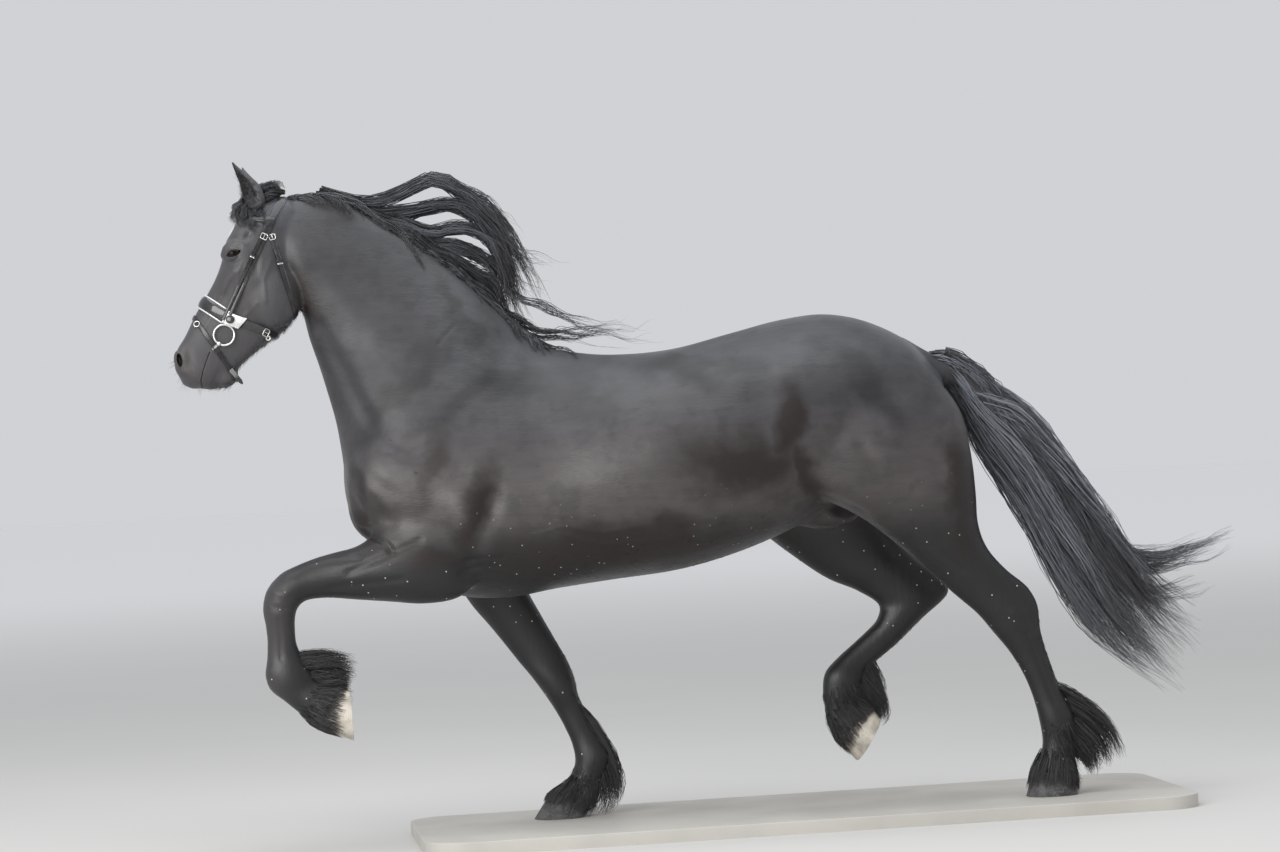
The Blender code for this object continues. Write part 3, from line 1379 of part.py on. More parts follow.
def main():
    clear_scene()
    body = make_body()
    pieces = {region.name: part_off(body, region) for region in REGIONS}
    keep_largest(body)
    body.name = "torso"
    head, neck = pieces["head"], pieces["neck"]
    bare = surface_of(head)
    add_muzzle(head)
    eyes = add_eyes(head)
    for name in ("ear_near", "ear_far"):
        pieces[name] = make_ear(name, NEAR if name == "ear_near" else FAR)
        clear_of(pieces[name], [head])

    straps = {strap.name: make_strap(strap, bare) for strap in STRAPS}
    for strap in straps.values():
        clear_of(strap, [head, neck])
    clear_of(straps["browband"], [straps["headstall"]])
    clear_of(straps["throatlatch"], [straps["headstall"]])
    bits = [make_bit(name, side, bare) for name, side in (("bit_near", NEAR), ("bit_far", FAR))]
    for bit in bits:
        clear_of(bit, [head, straps["flash_strap"], straps["noseband"]])

    hooves = {hoof.name: make_hoof(hoof) for hoof in HOOVES}
    for hoof in HOOVES:
        leg = pieces[hoof.leg]
        feather = FEATHERS[hoof.leg]
        forms = [core_of(feather)] + locks_of(feather, random.Random(hoof.name))
        skin = coordinates(leg.data)
        merged(leg, [new_object("lock", mesh_from("lock", *form)) for form in forms])
        thin_hair(leg, skin, FEATHER_FACES[hoof.leg])
        clear_of(leg, [hooves[hoof.name]])

    rng = random.Random("mane")
    mane = joined("mane", [loft(MANE_CREST, 9, 8, bulge=0.006)] + locks_of(MANE, rng) + wisps_of(MANE_WISPS))
    thin_hair(mane, [], MANE_FACES)
    clear_of(mane, [neck, body, head])
    tail = pieces.pop("dock")
    tail.name = "tail"
    forms = [core_of(TAIL)] + locks_of(TAIL, random.Random("tail"))
    skin = coordinates(tail.data)
    merged(tail, [new_object("lock", mesh_from("lock", *form)) for form in forms])
    thin_hair(tail, skin, TAIL_FACES)
    tail_wisps = joined("tail_wisps", wisps_of(TAIL_WISPS))
    thin_hair(tail_wisps, [], TAIL_WISP_FACES)
    clear_of(tail, [body])
    clear_of(tail, [tail_wisps], HAIR_CLEARANCE)
    forelock = joined("forelock", [core_of(FORELOCK)] + locks_of(FORELOCK, random.Random("forelock")))
    thin_hair(forelock, [], FORELOCK_FACES)
    ears = [pieces["ear_near"], pieces["ear_far"]]
    clear_of(forelock, [head, neck, straps["headstall"], straps["browband"], *ears])
    clear_of(mane, [forelock, straps["headstall"]])

    for piece in [body, *pieces.values()]:
        finish(piece, COAT)
    for piece in (mane, tail, tail_wisps, forelock):
        finish(piece, LONG_HAIR)
    for piece in eyes:
        finish(piece, EYEBALL)
    for piece in straps.values():
        finish(piece, LEATHER)
    for piece in bits:
        finish(piece, SILVER)
    for hoof in HOOVES:
        finish(hooves[hoof.name], hoof.finish)
    finish(make_base(), PLINTH)


main()
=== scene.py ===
# %% [markdown]
# # A Friesian mare at the trot, life size
#
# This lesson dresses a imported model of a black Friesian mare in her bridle. The solids give her true
# outline. Here they get a seamless skin, hair in many fine locks, eyes, horn and leather.
# The mare faces -X and her near (left) side is -Y. Sizes are in metres, but the long
# tables of places are in millimetres, which keeps them short.

# %% Load the frame
import math
import random
from typing import NamedTuple

import bmesh
import bpy
import numpy as np
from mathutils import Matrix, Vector
from mathutils.bvhtree import BVHTree
from mathutils.kdtree import KDTree


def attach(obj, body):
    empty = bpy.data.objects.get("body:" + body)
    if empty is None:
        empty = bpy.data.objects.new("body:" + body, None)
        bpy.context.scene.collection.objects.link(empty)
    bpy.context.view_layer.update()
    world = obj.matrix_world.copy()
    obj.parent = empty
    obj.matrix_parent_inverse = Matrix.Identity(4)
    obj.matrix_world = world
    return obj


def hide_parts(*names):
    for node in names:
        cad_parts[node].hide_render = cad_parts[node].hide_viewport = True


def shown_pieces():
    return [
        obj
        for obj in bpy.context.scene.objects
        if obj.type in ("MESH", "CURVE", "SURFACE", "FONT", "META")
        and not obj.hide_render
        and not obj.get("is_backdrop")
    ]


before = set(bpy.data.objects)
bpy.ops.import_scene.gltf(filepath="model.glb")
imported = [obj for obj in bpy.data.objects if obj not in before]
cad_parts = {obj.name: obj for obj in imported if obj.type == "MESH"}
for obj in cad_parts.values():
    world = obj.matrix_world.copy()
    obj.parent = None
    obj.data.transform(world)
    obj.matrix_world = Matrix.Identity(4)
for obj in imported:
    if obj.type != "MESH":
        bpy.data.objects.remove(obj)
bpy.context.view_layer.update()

# %% [markdown]
# ## The camera
#
# The photographer stood level with the mare's elbow, a little to the front of her and some twelve metres
# away, and held a long lens slightly turned. A camera built from its own three axes takes that turn
# without any constraint, so the view stays the same when the scene is rebuilt.

# %% Camera
FLOOR_TOP = 0.04
CAMERA_AIM = Vector((-0.43, 0.0, 1.2 + FLOOR_TOP))
CAMERA_FAR = 12.0
CAMERA_YAW = math.radians(7.0)
CAMERA_ROLL = math.radians(3.0)
PHOTO_WIDTH, FOCAL_PIXELS = 1280, 3900
SENSOR_WIDTH = 36

ahead = Vector((math.sin(CAMERA_YAW), math.cos(CAMERA_YAW), 0))
right = Vector((math.cos(CAMERA_YAW), -math.sin(CAMERA_YAW), 0))
above = Vector((0, 0, 1))
camera_right = right * math.cos(CAMERA_ROLL) - above * math.sin(CAMERA_ROLL)
camera_up = above * math.cos(CAMERA_ROLL) + right * math.sin(CAMERA_ROLL)

camera_data = bpy.data.cameras.new("camera")
camera_data.lens = FOCAL_PIXELS / PHOTO_WIDTH * SENSOR_WIDTH
camera_data.sensor_width = SENSOR_WIDTH
camera_data.clip_end = 100
camera = bpy.data.objects.new("camera", camera_data)
bpy.context.scene.collection.objects.link(camera)
turn = camera.matrix_world.to_3x3()
turn.col[0], turn.col[1], turn.col[2] = camera_right, camera_up, -ahead
camera.matrix_world = turn.to_4x4()
camera.location = CAMERA_AIM - ahead * CAMERA_FAR
bpy.context.scene.camera = camera
print("camera at", [round(v, 3) for v in camera.location])

# %% [markdown]
# ## Small helpers for operators
#
# An operator acts on whatever is selected. The frame arrives selected, so each step first lets go of
# everything and then takes hold of the one piece that it works on.

# %% Selecting, applying and finishing a piece
def take(piece):
    for other in bpy.context.selected_objects:
        other.select_set(False)
    piece.select_set(True)
    bpy.context.view_layer.objects.active = piece
    return piece


def apply_modifiers(piece):
    take(piece)
    for modifier in list(piece.modifiers):
        bpy.ops.object.modifier_apply(modifier=modifier.name)


def settle(piece):
    """The piece's place goes into its mesh, so that its object stands at the origin."""
    take(piece)
    bpy.ops.object.transform_apply(location=True, rotation=True, scale=True)
    return piece


def linked(name, data):
    """A new object with this data, put into the scene."""
    thing = bpy.data.objects.new(name, data)
    bpy.context.scene.collection.objects.link(thing)
    return thing


def faces_of(piece):
    """How many triangles the piece has."""
    return sum(len(face.vertices) - 2 for face in piece.data.polygons)


def wear(piece, material):
    piece.data.materials.clear()
    piece.data.materials.append(material)


def place(piece, slot, *nodes):
    """The piece rides on the mare and stands for these solids, which are hidden. Its slot is not used."""
    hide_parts(*nodes)
    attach(piece, "root")
    print(piece.name, faces_of(piece), "triangles")


for chosen in list(bpy.context.selected_objects):
    chosen.select_set(False)

# %% [markdown]
# ## The body's own shape
#
# A horse's body is a row of sections: each leg, the neck, the head and the trunk are lofted through the
# sections of these tables. Egg-shaped muscles go on top, and one skin is drawn over all. The solids come
# from the same tables, so the skin lies just inside them. Heights are above the top of the base.

# %% Sections of the limbs
GROUND = FLOOR_TOP + 0.0003
MILLIMETRES = 1000
NEAR, FAR = -1, 1
NEAR_ONLY, FAR_ONLY, BOTH = (NEAR,), (FAR,), (NEAR, FAR)
PLAIN_SECTION = (0, 0, 0, 0, 0, 0, 0.5, 2.0, 2.0)


def sections(*rows):
    """Closed sections of a limb, as an array with a row for each.

    A row has the x and height of the section's fore point and of its hind point in the side view, half its
    thickness and its y, in millimetres. Then it has the share from fore to hind at which it is widest, and
    how square its fore and its hind part are. What it leaves out is as in PLAIN_SECTION.
    """
    whole = np.array([[*row, *PLAIN_SECTION[len(row) :]] for row in rows])
    return whole / ([MILLIMETRES] * 6 + [1] * 3)


TRUNK = sections(
    (-1328, 1170, -1328, 980, 150, 0, 0.45),
    (-1285, 1250, -1285, 890, 208, 0, 0.5),
    (-1180, 1330, -1180, 800, 240, 0, 0.55, 1.9, 2.2),
    (-1030, 1410, -1030, 715, 262, 0, 0.58, 1.8, 2.2),
    (-870, 1462, -870, 695, 272, 0, 0.6, 1.6, 2.2),
    (-710, 1455, -710, 715, 288, 0, 0.6, 1.5, 2.2),
    (-540, 1428, -540, 732, 318, 0, 0.56, 1.8, 2.2),
    (-330, 1432, -330, 752, 338, 0, 0.54, 2.1, 2.2),
    (-130, 1474, -130, 800, 332, 0, 0.5, 2.1, 2.2),
    (30, 1508, 30, 860, 312, 0, 0.46, 2.0, 2.1),
    (170, 1517, 170, 930, 292, 0, 0.44, 2.0, 2.0),
    (310, 1480, 310, 1000, 262, 0, 0.42, 2.0, 2.0),
    (420, 1415, 420, 1060, 210, 0, 0.42, 2.0, 2.0),
    (500, 1330, 500, 1120, 140),
)
NECK = sections(
    (-1545, 1935, -1500, 1740, 58, 0, 0.55, 2.0, 2.2),
    (-1465, 1945, -1450, 1610, 78, 0, 0.55, 1.8, 2.2),
    (-1345, 1955, -1432, 1525, 86, 0, 0.58, 1.6, 2.1),
    (-1225, 1885, -1408, 1440, 98, 0, 0.6, 1.5, 2.1),
    (-1090, 1795, -1385, 1350, 114, 0, 0.6, 1.5, 2.1),
    (-970, 1700, -1362, 1250, 139, 0, 0.6, 1.5, 2.1),
    (-870, 1598, -1348, 1140, 178, 0, 0.6, 1.6, 2.1),
    (-790, 1515, -1335, 1050, 210, 0, 0.6, 1.6, 2.1),
    (-700, 1440, -1270, 960, 205, 0, 0.55, 1.8, 2.1),
)
HEAD = sections(
    (-1480, 1950, -1430, 1860, 46),
    (-1530, 1948, -1432, 1800, 60),
    (-1590, 1912, -1438, 1735, 76, 0, 0.38, 2.4, 2.0),
    (-1645, 1868, -1448, 1660, 90, 0, 0.29, 2.7, 2.0),
    (-1672, 1810, -1458, 1606, 96, 0, 0.26, 2.8, 2.0),
    (-1686, 1758, -1490, 1556, 87, 0, 0.34, 2.5, 2.0),
    (-1706, 1712, -1536, 1522, 70, 0, 0.43, 2.3, 2.2),
    (-1736, 1662, -1580, 1492, 58, 0, 0.45, 2.2, 2.3),
    (-1770, 1610, -1622, 1460, 51, 0, 0.45, 2.3, 2.3),
    (-1804, 1546, -1658, 1428, 53, 0, 0.42, 2.6, 2.3),
    (-1836, 1492, -1694, 1394, 58, 0, 0.4, 2.9, 2.3),
    (-1841, 1445, -1732, 1376, 53, 0, 0.4, 2.6, 2.2),
    (-1824, 1410, -1770, 1383, 36, 0, 0.45, 2.0, 2.0),
)
NEAR_FORE = sections(
    (-1190, 1030, -940, 800, 85, -160),
    (-1255, 940, -1020, 712, 88, -168),
    (-1320, 890, -1125, 697, 80, -172),
    (-1390, 873, -1245, 710, 67, -172),
    (-1450, 857, -1350, 722, 56, -170),
    (-1512, 836, -1432, 732, 50, -168),
    (-1562, 812, -1487, 727, 53, -166),
    (-1604, 766, -1512, 706, 55, -165),
    (-1618, 712, -1520, 680, 52, -164),
    (-1612, 658, -1522, 644, 41, -163),
    (-1610, 608, -1520, 604, 34, -162),
    (-1614, 558, -1510, 574, 35, -161),
    (-1621, 508, -1498, 545, 43, -160),
    (-1608, 466, -1482, 520, 44, -160),
    (-1570, 432, -1468, 492, 38, -160),
    (-1528, 394, -1440, 474, 42, -160),
    (-1484, 352, -1408, 462, 56, -160),
)
FAR_FORE = sections(
    (-1120, 960, -830, 880, 88, 160),
    (-1040, 800, -812, 780, 84, 164),
    (-968, 674, -780, 695, 71, 166),
    (-918, 610, -746, 625, 60, 164),
    (-870, 545, -707, 548, 52, 160),
    (-828, 486, -674, 482, 50, 157),
    (-793, 440, -655, 426, 55, 154),
    (-757, 386, -650, 386, 50, 151),
    (-724, 330, -636, 346, 36, 148),
    (-697, 274, -612, 292, 32, 145),
    (-677, 218, -582, 240, 34, 142),
    (-672, 168, -558, 188, 44, 140),
    (-690, 128, -572, 134, 42, 140),
    (-722, 98, -598, 90, 46, 140),
    (-748, 80, -612, 56, 57, 140),
)
NEAR_HIND = sections(
    (-20, 1360, 440, 1340, 95, -150),
    (-40, 1180, 540, 1205, 130, -158),
    (-10, 1050, 568, 1060, 138, -166),
    (70, 965, 575, 935, 128, -172),
    (205, 888, 576, 850, 103, -174),
    (327, 788, 602, 770, 80, -172),
    (422, 700, 658, 702, 61, -168),
    (500, 625, 726, 640, 50, -164),
    (560, 570, 752, 585, 50, -160),
    (606, 512, 757, 515, 44, -156),
    (655, 448, 772, 450, 36, -152),
    (696, 376, 792, 384, 34, -149),
    (724, 300, 818, 310, 36, -146),
    (740, 228, 850, 240, 45, -144),
    (747, 168, 846, 178, 41, -142),
    (738, 122, 840, 116, 46, -142),
    (722, 90, 846, 66, 57, -142),
)
FAR_HIND = sections(
    (-60, 1300, 380, 1320, 95, 150),
    (-120, 1080, 420, 1150, 130, 158),
    (-115, 930, 405, 1000, 130, 166),
    (-40, 842, 375, 895, 112, 172),
    (60, 758, 388, 822, 88, 174),
    (158, 688, 440, 750, 67, 172),
    (250, 645, 505, 690, 53, 168),
    (312, 602, 542, 628, 50, 166),
    (308, 560, 452, 548, 46, 164),
    (272, 522, 352, 462, 37, 162),
    (220, 480, 292, 418, 34, 160),
    (170, 440, 262, 392, 37, 158),
    (132, 400, 250, 360, 45, 156),
    (120, 345, 236, 325, 41, 154),
    (124, 285, 240, 305, 40, 152),
    (134, 232, 252, 292, 47, 152),
    (152, 192, 262, 284, 56, 152),
)
DOCK = sections(
    (400, 1440, 400, 1300, 60),
    (470, 1395, 425, 1330, 46),
    (560, 1345, 510, 1285, 40),
    (660, 1262, 612, 1215, 34),
    (745, 1165, 700, 1130, 27),
    (800, 1075, 770, 1055, 16),
)


class Muscle(NamedTuple):
    """An egg-shaped mass: its middle, its half sizes, and how far it is turned in the side view."""

    middle: tuple
    half: tuple
    turn: float


PAIRED_MUSCLES = (
    Muscle((-1.04, 0.14, 1.16), (0.23, 0.078, 0.12), 48),
    Muscle((-0.985, 0.198, 0.96), (0.175, 0.082, 0.115), 118),
    Muscle((-1.225, 0.15, 1.06), (0.1, 0.078, 0.11), 0),
    Muscle((-1.262, 0.078, 0.985), (0.075, 0.072, 0.1), 10),
    Muscle((-0.02, 0.215, 1.31), (0.085, 0.08, 0.07), 0),
    Muscle((-1.545, 0.046, 1.66), (0.098, 0.046, 0.112), 25),
    Muscle((-1.64, 0.062, 1.793), (0.047, 0.033, 0.037), 20),
    Muscle((-1.812, 0.024, 1.474), (0.03, 0.034, 0.046), -10),
)
MUSCLES = (
    Muscle((0.135, 0.0, 0.895), (0.11, 0.062, 0.048), 0),
    Muscle((-1.69, 0.0, 1.412), (0.044, 0.04, 0.032), 20),
)


class Fold(NamedTuple):
    """A groove or, where its depth is above zero, a ridge along a line seen from the side."""

    sides: tuple
    line: list
    depth: float
    width: float


def line_of(*numbers):
    """A line of (x, height) in the side view, from its numbers in millimetres."""
    return [(x / MILLIMETRES, z / MILLIMETRES) for x, z in zip(numbers[::2], numbers[1::2])]


def lines_of(*rows):
    """Several such lines, a row each."""
    return [line_of(*row) for row in rows]


def folds(*rows):
    """A row has the fold's sides, depth in tenths of a millimetre, width and line in millimetres."""
    return [
        Fold(sides, line_of(*line), depth / (10 * MILLIMETRES), width / MILLIMETRES)
        for sides, depth, width, *line in rows
    ]


FOLDS = folds(
    (NEAR_ONLY, -130, 30, -893, 1060, -940, 930, -997, 796, -1040, 730),
    (FAR_ONLY, -120, 26, -830, 1060, -830, 920, -800, 790, -770, 720),
    (BOTH, -50, 34, -830, 1400, -980, 1290, -1140, 1180, -1250, 1130),
    (BOTH, -80, 22, -1320, 1050, -1270, 985, -1190, 930),
    (BOTH, -40, 26, -1350, 1400, -1300, 1300, -1240, 1190),
    (NEAR_ONLY, -70, 22, 30, 985, 140, 930, 245, 867),
    (BOTH, -100, 75, -160, 1340, -110, 1240, -70, 1120),
    (BOTH, -60, 36, 420, 1290, 455, 1120, 470, 960),
    (BOTH, 60, 10, -1630, 1745, -1668, 1700, -1690, 1655),
    (BOTH, -60, 14, -1600, 1800, -1580, 1760, -1590, 1700),
    (BOTH, -90, 14, -1612, 1842, -1590, 1828),
)

# %% [markdown]
# ## From sections to a limb
#
# Each row of a table is one cross-section: its fore and hind end in the side view, half its thickness, and
# how round it is on either side. A smooth curve through the rows, with a ring of points at every step,
# gives a closed limb, as a sculptor would build clay on a wire.

# %% Lofts
def smooth_rows(rows, count):
    """The rows of a table, joined by a smooth curve and read at count even steps along it."""
    middles = (rows[:, 0:2] + rows[:, 2:4]) / 2
    steps = np.linalg.norm(np.diff(middles, axis=0), axis=1)
    spread = np.linalg.norm(np.diff(rows[:, 0:4], axis=0), axis=1) / 2
    at = np.concatenate([[0], np.cumsum(np.maximum(steps, spread))])
    return read_curve(rows, at, np.linspace(0, at[-1], count))


def read_curve(rows, at, where):
    """The smooth curve through the rows, which stand at the distances at, read at the distances where."""
    slopes = np.gradient(rows, at, axis=0)
    index = np.clip(np.searchsorted(at, where, side="right") - 1, 0, len(at) - 2)
    width = (at[index + 1] - at[index])[:, None]
    t = (where - at[index])[:, None] / width
    return (
        (2 * t**3 - 3 * t**2 + 1) * rows[index]
        + (t**3 - 2 * t**2 + t) * width * slopes[index]
        + (3 * t**2 - 2 * t**3) * rows[index + 1]
        + (t**3 - t**2) * width * slopes[index + 1]
    )


def unit(vectors):
    """The rows of an array, each brought to a length of 1."""
    return vectors / np.maximum(np.linalg.norm(vectors, axis=1), 1e-9)[:, None]


def lengths_along(points):
    """How far along its path each point is."""
    return np.concatenate([[0], np.cumsum(np.linalg.norm(np.diff(points, axis=0), axis=1))])


def section_ring(row, sides, shrink=1.0, shift=(0.0, 0.0)):
    fore_x, fore_z, hind_x, hind_z, half, y, widest, round_fore, round_hind = row
    fore = np.array([fore_x, fore_z])
    hind = np.array([hind_x, hind_z])
    middle = fore + (hind - fore) * widest
    ring = []
    for k in range(sides):
        angle = 2 * math.pi * k / sides
        c, s = math.cos(angle), math.sin(angle)
        power = 2 / (round_fore if c >= 0 else round_hind)
        along = abs(c) ** power * ((fore if c >= 0 else hind) - middle)
        across = math.copysign(abs(s) ** power, s) * half
        x, z = middle + along * shrink + np.array(shift)
        ring.append((x, y + across * shrink, z + GROUND))
    return ring


def loft(table, rings, sides, bulge=0.02):
    """A closed limb through its sections, with a low dome at each end: its points and its faces."""
    rows = smooth_rows(table, rings)
    middles = (rows[:, 0:2] + rows[:, 2:4]) / 2
    domes = [(math.cos(a), math.sin(a)) for a in (math.radians(35), math.radians(65))]

    def dome(row, away):
        away = away / np.linalg.norm(away) * bulge
        return [section_ring(row, sides, size, away * out) for size, out in domes]

    loops = [section_ring(row, sides) for row in rows]
    if bulge:
        start = dome(rows[0], middles[0] - middles[1])
        loops = start[::-1] + loops + dome(rows[-1], middles[-1] - middles[-2])
    return skinned(loops)


def skinned(loops):
    """Loops of as many points each, joined in turn and closed by a fan of triangles at both ends."""
    sides = len(loops[0])
    points = [p for ring in loops for p in ring]
    faces = []
    for i in range(len(loops) - 1):
        for k in range(sides):
            a, b = i * sides + k, i * sides + (k + 1) % sides
            faces.append((a, b, b + sides, a + sides))
    for first in (0, (len(loops) - 1) * sides):
        points.append(tuple(np.mean(points[first : first + sides], axis=0)))
        for k in range(sides):
            faces.append((first + k, first + (k + 1) % sides, len(points) - 1))
    return points, faces


def turned(x, z, turn):
    """A point of the side view after a turn about the middle."""
    return x * math.cos(turn) - z * math.sin(turn), x * math.sin(turn) + z * math.cos(turn)


def sided(point, side):
    """A place (x, y, height) on this side of the mare, as (x, y, z)."""
    return (point[0], side * point[1], point[2] + GROUND)


def egg(muscle, side, rings=20, sides=32):
    """A muscle's points and faces on one side of the mare, or on her middle line where side is 0."""
    turn = math.radians(muscle.turn)
    x0, y0, z0 = muscle.middle
    loops = []
    for i in range(rings + 1):
        up = math.pi * i / rings
        loop = []
        for k in range(sides):
            around = 2 * math.pi * k / sides
            x = muscle.half[0] * math.cos(up)
            y = muscle.half[1] * math.sin(up) * math.cos(around)
            z = muscle.half[2] * math.sin(up) * math.sin(around)
            x, z = turned(x, z, turn)
            loop.append((x0 + x, side * y0 + y, z0 + z + GROUND))
        loops.append(loop)
    return skinned(loops)

# %% [markdown]
# ## How the hair lies
#
# Tail and forelock are each described by a fore and a hind edge, as seen from the side, and by how the
# bunches of locks run between them. Tables keep this apart from the code that fills it with strands.

# %% Tail and forelock tables
class Lie(NamedTuple):
    """How a bunch of locks lies in a mass of hair.

    The locks root over a stretch of the mass's length, at the share rise between its fore edge (0) and its
    hind edge (1), and go over to the share lie within settle. Across the mass they spread from near (-1) to
    far (1). They end over the stretch ends.
    """

    count: int
    roots: tuple
    rise: float
    lie: float
    settle: float
    across: tuple
    ends: tuple
    width: float
    thick: float
    wave: float = 0.008


class Hair(NamedTuple):
    """A mass of hair between the edges of its sections, and its locks."""

    sections: np.ndarray
    lies: tuple


TAIL = Hair(
    sections(
        (500, 1388, 475, 1345, 20),
        (560, 1362, 520, 1292, 36),
        (686, 1265, 603, 1122, 56),
        (828, 1110, 741, 901, 75),
        (960, 912, 836, 705, 85),
        (1064, 736, 939, 515, 96),
        (1176, 568, 1030, 410, 104),
        (1289, 421, 1162, 317, 104),
    ),
    (
        Lie(4, (0.0, 0.12), 0.2, 0.08, 0.25, (-0.7, 0.7), (0.92, 1.02), 0.066, 0.026, 0.01),
        Lie(5, (0.0, 0.16), 0.4, 0.34, 0.25, (-1.0, 1.0), (0.92, 1.02), 0.066, 0.026, 0.01),
        Lie(5, (0.0, 0.16), 0.6, 0.64, 0.25, (-1.0, 1.0), (0.92, 1.02), 0.066, 0.026, 0.01),
        Lie(4, (0.0, 0.12), 0.8, 0.92, 0.25, (-0.7, 0.7), (0.88, 1.0), 0.066, 0.026, 0.01),
    ),
)
FORELOCK = Hair(
    sections(
        (-1478, 1990, -1478, 1958, 20),
        (-1530, 1996, -1525, 1940, 26),
        (-1583, 1970, -1565, 1915, 30),
        (-1620, 1936, -1592, 1888, 34),
        (-1636, 1904, -1604, 1866, 34),
        (-1643, 1876, -1612, 1850, 28),
    ),
    (
        Lie(3, (0.0, 0.15), 0.7, 0.2, 0.3, (-0.9, 0.9), (0.9, 1.0), 0.032, 0.015, 0.005),
        Lie(2, (0.05, 0.25), 0.8, 0.6, 0.3, (-1.3, 1.3), (0.86, 1.0), 0.03, 0.014, 0.005),
    ),
)

# %% [markdown]
# ## One skin
#
# The forms are only rough lofts and eggs, so they are fused by a voxel remesh and smoothed more on the
# broad trunk than on the head and legs. Then grooves and ridges are pressed in along lines seen from the
# side: the fold behind the elbow, the flank, the ribs, the veins of the face and the tendons of the legs.

# %% Grooves and ridges finer than the solids have
FINE_FOLDS = folds(
    (BOTH, 22, 6, -1690, 1665, -1722, 1600, -1752, 1552),
    (BOTH, 18, 6, -1705, 1690, -1735, 1640, -1770, 1590),
    (BOTH, 20, 6, -1575, 1640, -1625, 1590, -1668, 1545),
    (BOTH, 22, 7, -1530, 1770, -1560, 1700, -1560, 1620),
    (BOTH, -35, 10, -1690, 1452, -1712, 1418, -1728, 1392),
    (BOTH, -30, 12, -1800, 1520, -1790, 1470, -1797, 1430),
    (BOTH, 26, 7, -1655, 1822, -1620, 1815, -1600, 1800),
    (BOTH, -26, 7, -1668, 1762, -1645, 1752, -1620, 1762),
    (BOTH, -60, 22, -1425, 1590, -1330, 1400, -1255, 1235),
    (BOTH, -40, 40, -1410, 1820, -1250, 1640, -1090, 1450, -960, 1330),
    (NEAR_ONLY, -8, 14, -955, 1600, -1010, 1555, -1085, 1510),
    (NEAR_ONLY, -22, 7, -985, 1540, -1025, 1505, -1055, 1470),
    (NEAR_ONLY, -14, 20, -865, 1522, -930, 1455, -1020, 1405),
    (BOTH, 40, 36, -960, 1390, -1060, 1240, -1120, 1120),
    (BOTH, -40, 32, -1005, 1180, -1010, 1080, -1060, 990),
    (NEAR_ONLY, -40, 12, -1120, 900, -1250, 850, -1380, 800),
    (NEAR_ONLY, -30, 10, -1180, 780, -1320, 770, -1440, 762),
    (BOTH, 9, 24, -560, 1250, -540, 1080, -480, 900),
    (BOTH, 10, 24, -460, 1260, -435, 1090, -380, 920),
    (BOTH, 9, 24, -360, 1270, -330, 1110, -280, 960),
    (BOTH, 8, 24, -260, 1280, -225, 1140, -180, 1020),
    (BOTH, 16, 7, -760, 900, -600, 850, -400, 855, -220, 900),
    (BOTH, 50, 34, -80, 1345, 0, 1300, 90, 1255),
    (NEAR_ONLY, -50, 22, 180, 1150, 250, 1030, 380, 900, 480, 790),
    (NEAR_ONLY, -35, 12, 340, 880, 430, 780, 530, 690),
    (NEAR_ONLY, -45, 12, 640, 690, 700, 600, 740, 500),
    (FAR_ONLY, -40, 14, 180, 830, 280, 740, 400, 690),
    (NEAR_ONLY, -30, 7, -1575, 690, -1570, 620, -1572, 545),
    (FAR_ONLY, -30, 7, -690, 360, -660, 290, -625, 215),
    (NEAR_ONLY, -32, 8, 700, 520, 745, 400, 790, 270),
    (FAR_ONLY, -32, 8, 300, 520, 240, 440, 205, 390),
    (NEAR_ONLY, -30, 7, -1050, 812, -960, 828, -880, 824),
    (NEAR_ONLY, -30, 6, -1040, 786, -965, 802, -900, 798),
    (NEAR_ONLY, -26, 6, -1020, 760, -960, 774, -912, 770),
    (NEAR_ONLY, -70, 10, -1352, 936, -1300, 926, -1240, 888, -1215, 850),
    (NEAR_ONLY, 20, 6, -819, 885, -707, 912, -596, 885, -446, 905),
    (NEAR_ONLY, 15, 5, -760, 1010, -690, 960, -640, 900),
    (NEAR_ONLY, 30, 10, -1612, 775, -1560, 752, -1520, 758),
    (NEAR_ONLY, -30, 9, -1600, 722, -1560, 708, -1530, 712),
    (NEAR_ONLY, -30, 12, -1500, 862, -1400, 872, -1300, 850),
    (NEAR_ONLY, 25, 10, -1480, 905, -1380, 915, -1300, 905),
    (FAR_ONLY, -40, 10, -800, 720, -745, 600, -700, 510),
    (FAR_ONLY, 40, 12, -730, 500, -695, 470, -665, 478),
    (FAR_ONLY, -30, 9, -715, 438, -690, 420, -662, 424),
    (NEAR_ONLY, 35, 12, 640, 580, 690, 560, 735, 575),
    (NEAR_ONLY, -30, 10, 660, 520, 700, 505, 745, 515),
    (BOTH, -50, 22, -1300, 1120, -1250, 1060, -1180, 1020),
    (BOTH, 30, 18, -1250, 1180, -1190, 1130, -1120, 1100),
    (BOTH, 30, 5, -1695, 1640, -1672, 1700, -1648, 1745),
    (BOTH, 18, 4, -1645, 1660, -1640, 1710, -1625, 1760),
    (BOTH, -24, 5, -1672, 1796, -1650, 1808, -1620, 1800),
    (BOTH, -20, 5, -1668, 1822, -1645, 1834, -1615, 1822),
)


# %% The forms and the skin drawn over them
SKIN_VOXEL = 0.005
COAT_DEPTH = 0.0014
HEAD_FACES = 62000
SHANK_FACES = 46000
TRUNK_FACES = 66000

EAR_BASE = (-1.569, 0.05, 1.915)
EAR_TIPS = {NEAR: (-1.636, 0.062, 2.06), FAR: (-1.604, 0.07, 2.052)}
EAR_FACING = 38
EAR_SHARES = (0.0, 0.16, 0.3, 0.44, 0.58, 0.72, 0.86, 1.0)
EAR_WIDTHS = (0.03, 0.038, 0.038, 0.032, 0.0235, 0.0155, 0.009, 0.0025)
EAR_BEND = 0.01


